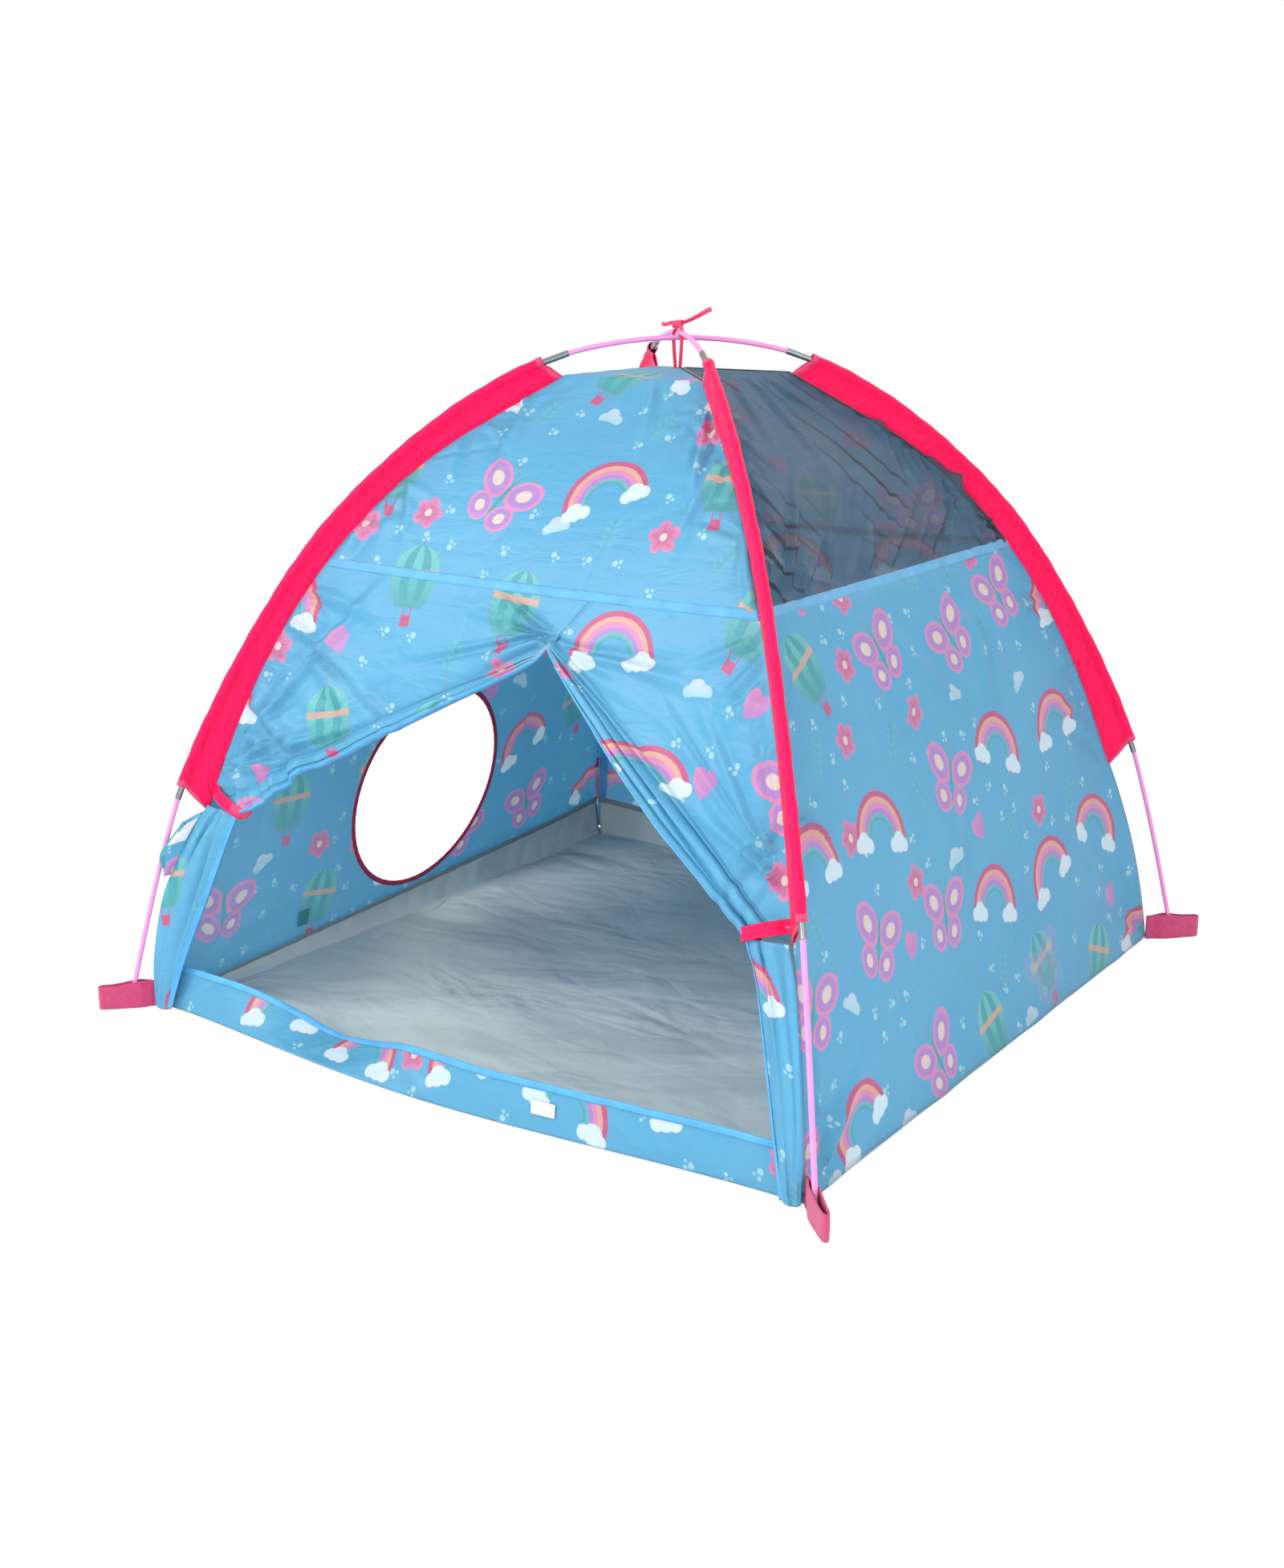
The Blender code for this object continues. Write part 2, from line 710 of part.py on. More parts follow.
def cut_port(panel, wall):
    """Open the round hole through the left wall."""
    edge = PORT_RADIUS + SEAT_GAP
    rings = []
    for reach in (-CUT_OVERRUN, CUT_OVERRUN):
        shift = wall.out * reach
        rings.append([port_place(wall, 2 * math.pi * i / PORT_SIDES, edge, 0.0) + shift
                      for i in range(PORT_SIDES)])
    cutter = loft("port_cutter", rings, "binding")
    cutter.hide_render = True
    cutter.display_type = "WIRE"
    cut = panel.modifiers.new("port", "BOOLEAN")
    cut.operation = "DIFFERENCE"
    cut.object = cutter
    cut.solver = "EXACT"


def build_port_binding(wall):
    """The bound edge round the port, seated inside the hole."""
    outer_edge, inner_edge = PORT_RADIUS, PORT_RADIUS - PORT_BINDING_WIDTH
    over = (PORT_BINDING_DEPTH - CLOTH) / 2
    deep = CLOTH + over
    rings = []
    for i in range(PORT_SIDES):
        turn = 2 * math.pi * i / PORT_SIDES
        section = []
        corners = ((outer_edge, over), (outer_edge, -deep), (inner_edge, -deep), (inner_edge, over))
        for radius, reach in corners:
            section.append(port_place(wall, turn, radius, 0.0) + wall.out * reach)
        rings.append(section)
    vertices = [p for section in rings for p in section]
    faces = []
    for i in range(PORT_SIDES):
        n = (i + 1) % PORT_SIDES
        for j in range(4):
            k = (j + 1) % 4
            faces.append((i * 4 + j, i * 4 + k, n * 4 + k, n * 4 + j))
    return add_object("port_binding", vertices, outward(vertices, faces), "binding")


# Door
class Door:
    """The plane that holds the slit's top and both ties, with places in it."""

    def __init__(self, wall):
        self.wall = wall
        tie_height = (TIE_HEIGHT_LEFT + TIE_HEIGHT_RIGHT) / 2
        run = wall.half_width(tie_height) - wall.half_width(SLIT_TOP_Z)
        lean = math.atan2(run, SLIT_TOP_Z - tie_height)
        self.down = wall.out * math.sin(lean) - UP * math.cos(lean)
        self.out = wall.out * math.cos(lean) + UP * math.sin(lean)
        self.right = wall.right
        self.top = wall.right * SLIT_TOP_X + wall.out * wall.half_width(SLIT_TOP_Z) + UP * SLIT_TOP_Z

    def place(self, across_door, below, proud=0.0):
        """A point a distance right of and below the slit's top, and proud of the plane."""
        return self.top + self.right * across_door + self.down * below + self.out * proud

    def tie(self, hand):
        """Where the strap holds the gathered cloth; hand is -1 on the left and 1 on the right."""
        height = TIE_HEIGHT_LEFT if hand < 0 else TIE_HEIGHT_RIGHT
        side = hand * (self.wall.half_width(height) - TIE_INSET)
        below = (SLIT_TOP_Z - height) / -self.down.z
        return self.place(side - SLIT_TOP_X, below)

    def level(self, side, below):
        """The seam height of the wall's row that shows at this side and this far below the slit's top."""
        height = SLIT_TOP_Z + below * self.down.z
        for _ in range(6):
            shown = (self.wall.at_side(side, height) - self.top).dot(self.down)
            height += (below - shown) * self.down.z
        return height

    def pivot(self, hand):
        return self.place(hand * FLAP_PIVOT_SPREAD, FLAP_PIVOT_DROP)

    def flap_frame(self, hand):
        """The flap's pivot, its way along and its upper side, and its length."""
        pivot, tie = self.pivot(hand), self.tie(hand)
        along = (tie - pivot).normalized()
        upper = self.out.cross(along) * hand
        return pivot, along, upper, (tie - pivot).length - FLAP_END_CLEARANCE


def flap_half_width(share):
    """A gathered flap is narrow at the slit's top, widest in its middle and drawn in by its tie."""
    drawn = max(share - FLAP_DRAWN_FROM_SHARE, 0.0) / (1 - FLAP_DRAWN_FROM_SHARE)
    widening = math.sin(math.pi / 2 * min(share / FLAP_DRAWN_FROM_SHARE, 1.0))
    full = blend(FLAP_TOP_SHARE, FLAP_FULL_SHARE, widening)
    return FLAP_HALF_WIDTH * blend(full, FLAP_DRAWN_SHARE, drawn)


def gathered_section(centre, upper, out, half_width, half_depth, folds):
    """A closed outline whose outer side runs in soft folds."""
    half_count = FLAP_SECTION_POINTS // 2
    points = []
    for i in range(half_count):
        t = -1 + 2 * i / half_count
        wave = 1 - FOLD_DEPTH_SHARE * (1 - math.cos(math.pi * folds * (t + 1)))
        swell = half_depth * (1 - t ** 4) * wave
        points.append(centre + upper * (half_width * t) + out * swell)
    for i in range(half_count):
        t = 1 - 2 * i / half_count
        swell = half_depth * (1 - t ** 4) * FOLD_BACK_SHARE
        points.append(centre + upper * (half_width * t) - out * swell)
    return points


def build_flap(name, door, hand):
    """The gathered upper part of a door flap, from the slit's top to its tie."""
    pivot, along, upper, length = door.flap_frame(hand)
    rings = []
    for share in steps(0.0, 1.0, FLAP_STATIONS):
        depth = blend(FLAP_END_HALF_DEPTH, FLAP_HALF_DEPTH, math.sin(math.pi * share))
        rings.append(gathered_section(pivot + along * (length * share), upper, door.out,
                                      flap_half_width(share), depth, FLAP_FOLDS))
    loft(name, rings, "printed_cloth")


def bezier(points, f):
    """A place on the smooth curve that four points steer."""
    a, b, c, d = points
    g = 1 - f
    return a * g ** 3 + b * (3 * g * g * f) + c * (3 * g * f * f) + d * f ** 3


def build_flap_tail(name, door, hand):
    """The rest of the flap, from under the tie down to the floor's corner."""
    pivot, along, upper, length = door.flap_frame(hand)
    wall = door.wall
    start = pivot + along * (length + FLAP_TAIL_GAP)
    foot = wall.right * (hand * (HALF_FLOOR - FLOOR_SHEET - TAIL_FOOT_WIDTH / 2))
    foot += wall.out * (HALF_FLOOR + TAIL_HALF_DEPTH + SEAT_GAP) + UP * (TAIL_HALF_DEPTH / 2)
    drop = start.z - foot.z
    first, second = TAIL_STEER_SHARES
    steer = [start, start + along * (drop * first), foot + (start - foot) * second, foot]
    places = [bezier(steer, f) for f in steps(0.0, 1.0, FLAP_STATIONS)]
    rings = []
    for i, place in enumerate(places):
        share = i / (len(places) - 1)
        way = (places[min(i + 1, len(places) - 1)] - places[max(i - 1, 0)]).normalized()
        out = (door.out - way * door.out.dot(way)).normalized()
        side = out.cross(way) * hand
        width = blend(flap_half_width(1.0), TAIL_FOOT_WIDTH / 2, share)
        width += (TAIL_WAIST_WIDTH - TAIL_FOOT_WIDTH / 2) / 2 * math.sin(math.pi * share)
        rings.append(gathered_section(place, side, out, width, TAIL_HALF_DEPTH, TAIL_FOLDS))
    loft(name, rings, "printed_cloth")


def panel_foot(door, hand):
    """The lower edge of a front panel as (side, height) pairs, from the corner seam to the slit's top."""
    pivot, along, upper, length = door.flap_frame(hand)
    reach = flap_half_width(1.0) + SEAT_GAP
    edge = [pivot + along * (length + FLAP_END_CLEARANCE) + upper * reach]
    for share in steps(1.0, 0.0, FLAP_STATIONS):
        reach = flap_half_width(share) + SEAT_GAP
        edge.append(pivot + along * (length * share) + upper * reach)
    edge.append(door.top)
    foot = [(p.dot(door.right), door.level(p.dot(door.right), (p - door.top).dot(door.down))) for p in edge]
    return [(hand * door.wall.half_width(foot[0][1]), foot[0][1])] + foot


def build_front_panel(name, door, hand):
    """The front wall's part between the panel seam and a gathered flap."""
    wall = door.wall
    foot = panel_foot(door, hand)
    rows = steps(0.0, 1.0, LOWER_ROWS)
    corner_foot = foot[0][1]
    top_corner = hand * wall.half_width(SEAM_HEIGHT)
    grids = []
    for depth in (0.0, CLOTH):
        grid = []
        for v in rows:
            row = []
            corner_height = blend(corner_foot, SEAM_HEIGHT, v)
            corner = hand * wall.half_width(corner_height)
            for i, (side, height) in enumerate(foot):
                u = i / (len(foot) - 1)
                z = blend(height, SEAM_HEIGHT, v)
                top_side = blend(top_corner, SLIT_TOP_X + SLIT_SEAM_SHIFT, panel_share(foot, i))
                straight = blend(foot[0][0], top_corner, v)
                x = blend(side, top_side, v) + (corner - straight) * (1 - u) ** 2
                if i == len(foot) - 1:
                    x += hand * SEAT_GAP / 2
                inner_half = wall.half_width(z) - depth * math.cos(wall.lean(z)) - SEAT_GAP
                row.append(wall.at(x / inner_half if i else hand, z, depth))
            grid.append(row)
        grids.append(grid)
    slab(name, *grids, "printed_cloth")


def panel_share(foot, i):
    """How far along the lower edge its i-th point lies, from the corner seam to the slit's top."""
    return (foot[i][0] - foot[0][0]) / (foot[-1][0] - foot[0][0])


def tie_frame(door, hand):
    """The strap's root, its way along, its upper side and its turning line."""
    pivot, along, upper, length = door.flap_frame(hand)
    tie = door.tie(hand)
    corner_side = hand * (door.wall.half_width(tie.z) - TIE_ROOT_INSET)
    way = (-upper * math.sin(TIE_SLOPE) - door.right * (hand * math.cos(TIE_SLOPE))).normalized()
    way = (way - door.out * way.dot(door.out)).normalized()
    reach = (tie.dot(door.right) - corner_side) / way.dot(door.right)
    root = tie - way * reach
    on_wall = door.wall.at_side(corner_side, root.z)
    rise = (on_wall - root).dot(door.out) + 3 * SEAT_GAP
    return root, way, rise


def build_tie(name, door, hand):
    """The strap that holds a flap back, sewn in at the corner seam and bowed over the gathered cloth."""
    root, way, root_rise = tie_frame(door, hand)
    broad = door.out.cross(way).normalized()
    inner, outer = [], []
    for f in steps(0.0, 1.0, 9):
        reach = TIE_LENGTH * f
        rise = blend(root_rise, TAIL_HALF_DEPTH + SEAT_GAP + TIE_BEND / 4, min(reach / TIE_BEND / 2, 1.0))
        low = root + way * reach + door.out * rise
        inner.append([low + broad * (TIE_WIDTH * g) for g in (-0.5, 0.0, 0.5)])
        outer.append([p + door.out * TIE_THICKNESS for p in inner[-1]])
    slab(name, outer, inner, "sleeve_cloth")


# Corner pockets
def build_pocket(name, out):
    """A folded loop of webbing on edge that the pole's tip stands in."""
    side = across(out)
    half = POLE_RADIUS + SEAT_GAP
    start = CORNER_RADIUS + SEAT_GAP
    end = start + POCKET_LENGTH
    throat = start + POCKET_LENGTH * POCKET_THROAT_SHARE
    belly = start + POCKET_LENGTH * POCKET_BELLY_SHARE
    full = half + WEBBING
    cut = POCKET_CORNER_SHARE
    outer_half = [(start, WEBBING), (belly, full), (end - full, full), (end - cut * full, (1 - cut) * full)]
    inner_half = [(throat, SEAT_GAP), (belly, half), (end - full, half)]
    inner_half.append((end - WEBBING - cut * half, (1 - cut) * half))

    def outline(points, tip):
        line = [(r, -w) for r, w in points] + [(tip, 0.0)] + [(r, w) for r, w in reversed(points)]
        return [out * r + side * w for r, w in line]

    outer = outline(outer_half, end)
    inner = outline(inner_half, end - WEBBING)
    lift = UP * POCKET_HEIGHT
    hollow_loft(name, [outer, [p + lift for p in outer]], [inner, [p + lift for p in inner]], "webbing")


# Ribbon
def ribbon(name, points, broad):
    """A flat ribbon along a line of points."""
    rings = []
    for i, point in enumerate(points):
        way = (points[min(i + 1, len(points) - 1)] - points[max(i - 1, 0)]).normalized()
        flat = (broad - way * broad.dot(way)).normalized() * (RIBBON_WIDTH / 2)
        thick = way.cross(flat).normalized() * (RIBBON_THICKNESS / 2)
        rings.append([point + flat + thick, point - flat + thick, point - flat - thick, point + flat - thick])
    loft(name, rings, "sleeve_cloth", smooth=False)


def build_ribbon(wall, crown):
    """Two strands from the cloth's apex over the crossing, with a knot and two tails on top."""
    foot_height = wall.seam.points[-1][1]
    while wall.half_width(foot_height) < APEX_STOP:
        foot_height -= SEAT_GAP
    foot = wall.at(0.0, foot_height)
    low = foot.z + SEAT_GAP + RIBBON_THICKNESS / 2
    over = crown + SEAT_GAP + RIBBON_THICKNESS / 2
    side = RIBBON_HALF_SPREAD
    line = [(-APEX_STOP, low), (-side, blend(low, over, RIBBON_BEND_SHARE)), (-side, over - side / 2),
            (-side * RIBBON_SHOULDER_SHARE, over - side / 8), (-side / 3, over)]
    line += [(-x, z) for x, z in reversed(line)]
    ribbon("apex_ribbon_loop", [Vector((x, 0, z)) for x, z in line], Vector((0, 1, 0)))
    base = over + RIBBON_THICKNESS / 2 + SEAT_GAP
    rings = []
    for f in steps(0.0, 1.0, 5):
        radius = KNOT_SIZE / 2 * blend(KNOT_END_SHARE, 1.0, math.sin(math.pi * f))
        centre = UP * (base + KNOT_SIZE * KNOT_RISE_SHARE * f)
        rings.append(ring(centre, Vector((1, 0, 0)), UP, radius, POLE_SIDES))
    loft("apex_ribbon_knot", rings, "sleeve_cloth")
    middle = base + KNOT_SIZE * KNOT_RISE_SHARE / 2
    reach = KNOT_SIZE / 2 + SEAT_GAP
    right, back = Vector((1, 0, 0)), Vector((0, 1, 0))
    long_way = right * math.cos(RIBBON_TAIL_TURN) + back * math.sin(RIBBON_TAIL_TURN)
    long_tail = []
    for f in steps(0.0, 1.0, 6):
        rise = RIBBON_TAIL_LENGTH * RIBBON_LIFT_SHARE * f * f
        long_tail.append(long_way * (reach + RIBBON_TAIL_LENGTH * f) + UP * (middle + rise))
    ribbon("apex_ribbon_long_tail", long_tail, UP)
    short_way = right * math.cos(RIBBON_STUB_TURN) + back * math.sin(RIBBON_STUB_TURN)
    stub = []
    for f in steps(0.0, 1.0, 4):
        rise = RIBBON_STUB_LENGTH * RIBBON_STUB_LIFT_SHARE * f
        stub.append(short_way * (reach + RIBBON_STUB_LENGTH * f) + UP * (middle + rise))
    ribbon("apex_ribbon_short_tail", stub, UP)


def build_tent():
    """Every piece of the tent, from the poles down to the small trim."""
    lower = Arch(FOOT_RADIUS, ARCH_HEIGHT, SLEEVE_DRAW)
    upper = Arch(FOOT_RADIUS, ARCH_HEIGHT + POLE_DIAMETER + SEAT_GAP, SLEEVE_DRAW)
    build_pole("lower_arch", lower, CORNERS["front_left"])
    build_pole("upper_arch", upper, CORNERS["front_right"])
    seam = CornerSeam(Arch(FOOT_RADIUS, ARCH_HEIGHT))
    for label, out in CORNERS.items():
        arch = lower if label in ("front_left", "back_right") else upper
        build_sleeve(f"{label}_sleeve", arch, out, seam)
        build_pocket(f"{label}_pocket", out)
    x, y = Vector((1, 0, 0)), Vector((0, 1, 0))
    front = Wall(x, -y, seam)
    walls = {
        "left": Wall(-y, -x, seam, RIM_BACK_LEFT, RIM_FRONT_LEFT),
        "back": Wall(-x, y, seam, RIM_BACK_RIGHT, RIM_BACK_LEFT),
        "right": Wall(y, x, seam, RIM_FRONT_RIGHT, RIM_BACK_RIGHT),
    }
    build_floor(walls)
    build_sill(front)
    build_sill_patch(front)
    port_panel = walls["left"].lower_panel("left_lower_panel")
    cut_port(port_panel, walls["left"])
    build_port_binding(walls["left"])
    walls["left"].upper_panel("left_upper_panel")
    walls["back"].lower_panel("back_lower_panel")
    walls["back"].upper_panel("back_upper_panel")
    walls["right"].lower_panel("right_lower_panel")
    walls["right"].upper_panel("mesh_window", "mesh_cloth")
    front.upper_panel("front_upper_panel")
    door = Door(front)
    for hand, label in ((-1, "left"), (1, "right")):
        build_front_panel(f"front_{label}_panel", door, hand)
        build_flap(f"{label}_flap", door, hand)
        build_flap_tail(f"{label}_flap_tail", door, hand)
        build_tie(f"{label}_tie", door, hand)
    build_ribbon(front, upper.table[-1][2] + POLE_RADIUS)


for old in list(bpy.data.objects):
    bpy.data.objects.remove(old, do_unlink=True)
build_tent()
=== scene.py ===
"""Looks of a child's dome play tent: printed cloth walls, pole sleeves, mesh window, door, floor and trim.

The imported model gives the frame. Every cloth piece is a sheet laid on the same arches and seams, in metres.
"""

from __future__ import annotations

import logging
import math
from dataclasses import dataclass, field, replace
from enum import Enum
from functools import partialmethod, reduce

import bpy
import numpy as np
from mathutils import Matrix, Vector

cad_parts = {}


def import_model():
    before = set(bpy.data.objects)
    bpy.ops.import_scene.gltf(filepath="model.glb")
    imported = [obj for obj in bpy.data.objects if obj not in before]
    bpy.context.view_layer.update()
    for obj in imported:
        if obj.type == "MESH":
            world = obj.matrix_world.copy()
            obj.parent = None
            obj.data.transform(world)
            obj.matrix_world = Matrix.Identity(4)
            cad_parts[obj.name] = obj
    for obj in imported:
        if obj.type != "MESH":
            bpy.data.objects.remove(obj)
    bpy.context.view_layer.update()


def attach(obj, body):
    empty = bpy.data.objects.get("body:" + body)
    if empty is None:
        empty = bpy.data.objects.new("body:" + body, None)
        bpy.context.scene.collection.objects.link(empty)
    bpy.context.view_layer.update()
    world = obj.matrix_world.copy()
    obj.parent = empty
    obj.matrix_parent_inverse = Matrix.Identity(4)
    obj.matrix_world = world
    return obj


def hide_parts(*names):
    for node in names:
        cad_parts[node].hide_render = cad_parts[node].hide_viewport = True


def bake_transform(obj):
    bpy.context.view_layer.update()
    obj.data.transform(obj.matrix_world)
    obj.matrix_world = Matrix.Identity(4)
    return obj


Piece = bpy.types.Object
Socket = bpy.types.NodeSocket
Array = np.ndarray
Many = Array | float
Pair = tuple[float, float]
Triple = tuple[float, float, float]
Colour = Triple

LOG = logging.getLogger("tent")
SEED = 20


# The tent's own sizes, in metres
FLOOR_SIDE = 1.22
ARCH_HEIGHT = 1.066
POCKET_REACH = 0.0515
POLE_RADIUS = 0.004
SEAM_DEPTH = 0.05
SEAM_HEIGHT = 0.727
WALL_SAG = 0.015
SLEEVE_FOOT_SHARE = 0.25543
SLEEVE_TOP_SHARE = 0.82653
SLEEVE_SEAM_TOP_SHARE = 0.75318
ROOF_KNEE_RADIUS = 0.182
ROOF_KNEE_DEPTH = 0.0315
APEX_DROP = 0.046
APEX_STOP = 0.009
FERRULE_LENGTH = 0.075
FERRULE_RADIUS = 0.0051
FERRULE_SHARES = (0.26525, 0.56161, 0.85797)
SLEEVE_DRAW = 0.02
DRAW_DIP_SHARE = 0.2
DRAW_DIP_REACH_SHARE = 0.09
CLOTH = 0.0006
THIN_TAPE = 0.0005
SEAT_GAP = 0.0003
WELD_REACH = 0.00002
THREAD_UNDER = 0.0003
THREAD_HIDDEN = 0.0001
SLOW_WAVES = 0.0015
DOOR_CUT = (0.33, 0.61)
HALF_FLOOR = FLOOR_SIDE / 2
CORNER_RADIUS = HALF_FLOOR * math.sqrt(2)
FOOT_RADIUS = CORNER_RADIUS + POCKET_REACH
APEX_HEIGHT = ARCH_HEIGHT - APEX_DROP
SLIT_TOP = (0.062, 0.658)
SLIT_SEAM_SHIFT = 0.05
PORT_RADIUS = 0.2
PORT_HEIGHT = 0.245
FLOOR_SHEET = 0.002
FRONT_BOW = 0.042
BOW_SKEW = 0.3
SILL_HEIGHT = 0.07
SILL_FALLEN_AT = -0.4
SILL_FALLEN_REACH = 0.32
SILL_FALLEN_LEAN = math.radians(72)
FLAP_PIVOT_SPREAD = 0.024
FLAP_PIVOT_DROP = 0.03
FLAP_HALF_WIDTH = 0.026
FLAP_END_CLEARANCE = 0.022
TIE_HEIGHTS = {-1: 0.345, 1: 0.335}
TIE_INSET = 0.052
TIE_ROOT_INSET = 0.013
TIE_SLOPE = math.radians(33.5)
POCKET_LENGTH = 0.1
POCKET_HEIGHT = 0.045
CORNER_BOW = 0.016
CORNER_BOW_TOP = 0.36


class Corner(Enum):
    """The tent's four corners, with each corner's level direction."""

    FRONT_LEFT = (-1.0, -1.0)
    FRONT_RIGHT = (1.0, -1.0)
    BACK_RIGHT = (1.0, 1.0)
    BACK_LEFT = (-1.0, 1.0)

    @property
    def out(self) -> Array:
        """The level unit vector from the middle towards this corner."""
        return np.array([self.value[0], self.value[1], 0.0]) / math.sqrt(2)

    @property
    def label(self) -> str:
        """The name that this corner's pieces begin with."""
        return self.name.lower()


class Side(Enum):
    """The tent's four walls: the way right along each, seen from outside, and the way out of it."""

    FRONT = ((1, 0, 0), (0, -1, 0))
    RIGHT = ((0, 1, 0), (1, 0, 0))
    BACK = ((-1, 0, 0), (0, 1, 0))
    LEFT = ((0, -1, 0), (-1, 0, 0))


UP = np.array([0.0, 0.0, 1.0])


def smooth_step(x: Many) -> Array:
    """A soft ramp from 0 to 1 while x goes from 0 to 1."""
    x = np.clip(x, 0.0, 1.0)
    return x * x * (3 - 2 * x)


def mix(a: Many, b: Many, f: Many) -> Many:
    """The value that lies the share f of the way from a to b."""
    return a + (b - a) * f


def unit(v: Array) -> Array:
    """Each vector at length 1."""
    return v / np.maximum(np.linalg.norm(v, axis=-1, keepdims=True), 1e-12)


def run_length(line: Array) -> Array:
    """The length passed at each point of a line."""
    return np.concatenate([[0.0], np.cumsum(np.linalg.norm(np.diff(line, axis=0), axis=1))])


# Arches, seams and walls
class PoleArch:
    """The line of a springy pole whose two tips stand on the floor and are free to turn."""

    SAMPLES = 400

    def __init__(self, half_span: float, height: float, draw: float = 0.0) -> None:
        """Find the curve that has this half span and height, drawn in by its sleeves.

        Args:
            half_span: From the middle to a foot.
            height: Of the crown.
            draw: How far the sleeves draw it in.
        """
        low, high = 0.05, 0.95
        turn = (np.arange(self.SAMPLES) + 0.5) * (math.pi / 2 / self.SAMPLES)
        for _ in range(60):
            modulus = (low + high) / 2
            reach = self._rate(modulus, height, turn)[1].sum() * math.pi / 2 / self.SAMPLES
            low, high = (modulus, high) if reach > half_span else (low, modulus)
        step = math.pi / 2 / self.SAMPLES
        middle = math.pi / 2 - turn
        ahead, reach = self._rate(modulus, height, middle)
        ends = math.pi / 2 - np.arange(self.SAMPLES + 1) * step
        self.length = np.concatenate([[0.0], np.cumsum(ahead * step)])
        self.radius = half_span - np.concatenate([[0.0], np.cumsum(reach * step)])
        self.height = height * np.cos(ends)
        self.slope = 2 * np.arcsin(modulus * np.sin(ends))
        self.half_length = float(self.length[-1])
        if draw:
            self._draw_in(draw)

    def _draw_in(self, draw: float) -> None:
        """Pull the line in between the first and last ferrules, a little less at the middle one.

        Args:
            draw: How far it is pulled in.
        """
        first, middle, last = FERRULE_SHARES
        share = self.length / self.half_length
        pull = draw * np.sin(np.pi * np.clip((share - first) / (last - first), 0, 1))
        pull *= 1 - DRAW_DIP_SHARE * np.exp(-((share - middle) / DRAW_DIP_REACH_SHARE) ** 2)
        self.radius = self.radius - pull * np.sin(self.slope)
        self.height = self.height - pull * np.cos(self.slope)
        run = np.hypot(np.diff(self.radius), np.diff(self.height))
        self.length = np.concatenate([[0.0], np.cumsum(run)])
        self.slope = np.arctan2(np.gradient(self.height), -np.gradient(self.radius))
        self.slope[-1] = 0.0
        self.half_length = float(self.length[-1])

    @staticmethod
    def _rate(modulus: float, height: float, turn: Array) -> tuple[Array, Array]:
        """Length and outward reach passed per unit of turn.

        Args:
            modulus: How strongly the pole is bent.
            height: Of the crown.
            turn: Places along it, as angles.

        Returns:
            The two rates at each place.
        """
        bend = modulus * np.sin(turn)
        per_turn = height / (2 * modulus) / np.sqrt(1 - bend * bend)
        return per_turn, per_turn * (1 - 2 * bend * bend)

    def at(self, length: Many) -> tuple[Array, Array, Array]:
        """Radius, height and slope at lengths from the nearer foot."""
        return tuple(np.interp(length, self.length, t) for t in (self.radius, self.height, self.slope))

    def point(self, out: Array, length: Many) -> Array:
        """Places at lengths from the foot on the side that out names, past the crown too.

        Args:
            out: The level direction of that foot.
            length: Lengths from it.

        Returns:
            Points by 3.
        """
        length = np.atleast_1d(np.asarray(length, float))
        past = length > self.half_length
        radius, height, _ = self.at(np.where(past, 2 * self.half_length - length, length))
        return out * np.where(past, -radius, radius)[:, None] + UP * height[:, None]


class CornerSeam:
    """The line in each corner's upright plane where two walls are sewn: radius against height."""

    def __init__(self, arch: PoleArch) -> None:
        """Hang the seam in from the arch."""
        lengths = np.linspace(SLEEVE_FOOT_SHARE, SLEEVE_SEAM_TOP_SHARE, 60) * arch.half_length
        radius, height, slope = arch.at(lengths)
        knee = float(np.interp(-ROOF_KNEE_RADIUS, -arch.radius, arch.height)) - ROOF_KNEE_DEPTH
        self.radii = np.concatenate([[CORNER_RADIUS], radius - SEAM_DEPTH * np.sin(slope),
                                     [ROOF_KNEE_RADIUS, 0.0]])
        self.heights = np.concatenate([[0.0], height - SEAM_DEPTH * np.cos(slope), [knee, APEX_HEIGHT]])
        self._marks = np.linspace(0.0, APEX_HEIGHT, 1200)
        self._developed = run_length(np.stack([self.radius(self._marks) / math.sqrt(2), self._marks], axis=1))

    def radius(self, height: Many) -> Array:
        """Radius at heights."""
        return np.interp(height, self.heights, self.radii)

    def developed(self, height: Many) -> Array:
        """Length up a wall's flat cloth at heights."""
        return np.interp(height, self._marks, self._developed)

    def along(self, low: float, top_radius: float, count: int) -> Array:
        """Heights evenly spaced along the seam line from low up to near the apex.

        Args:
            low: The first height.
            top_radius: The radius at which the line ends.
            count: How many heights.

        Returns:
            The heights.
        """
        top = float(np.interp(-top_radius, -self.radii, self.heights))
        heights = np.linspace(low, top, 400)
        line = np.stack([self.radius(heights), heights], axis=1)
        length = run_length(line)
        return np.interp(np.linspace(0.0, length[-1], count), length, heights)


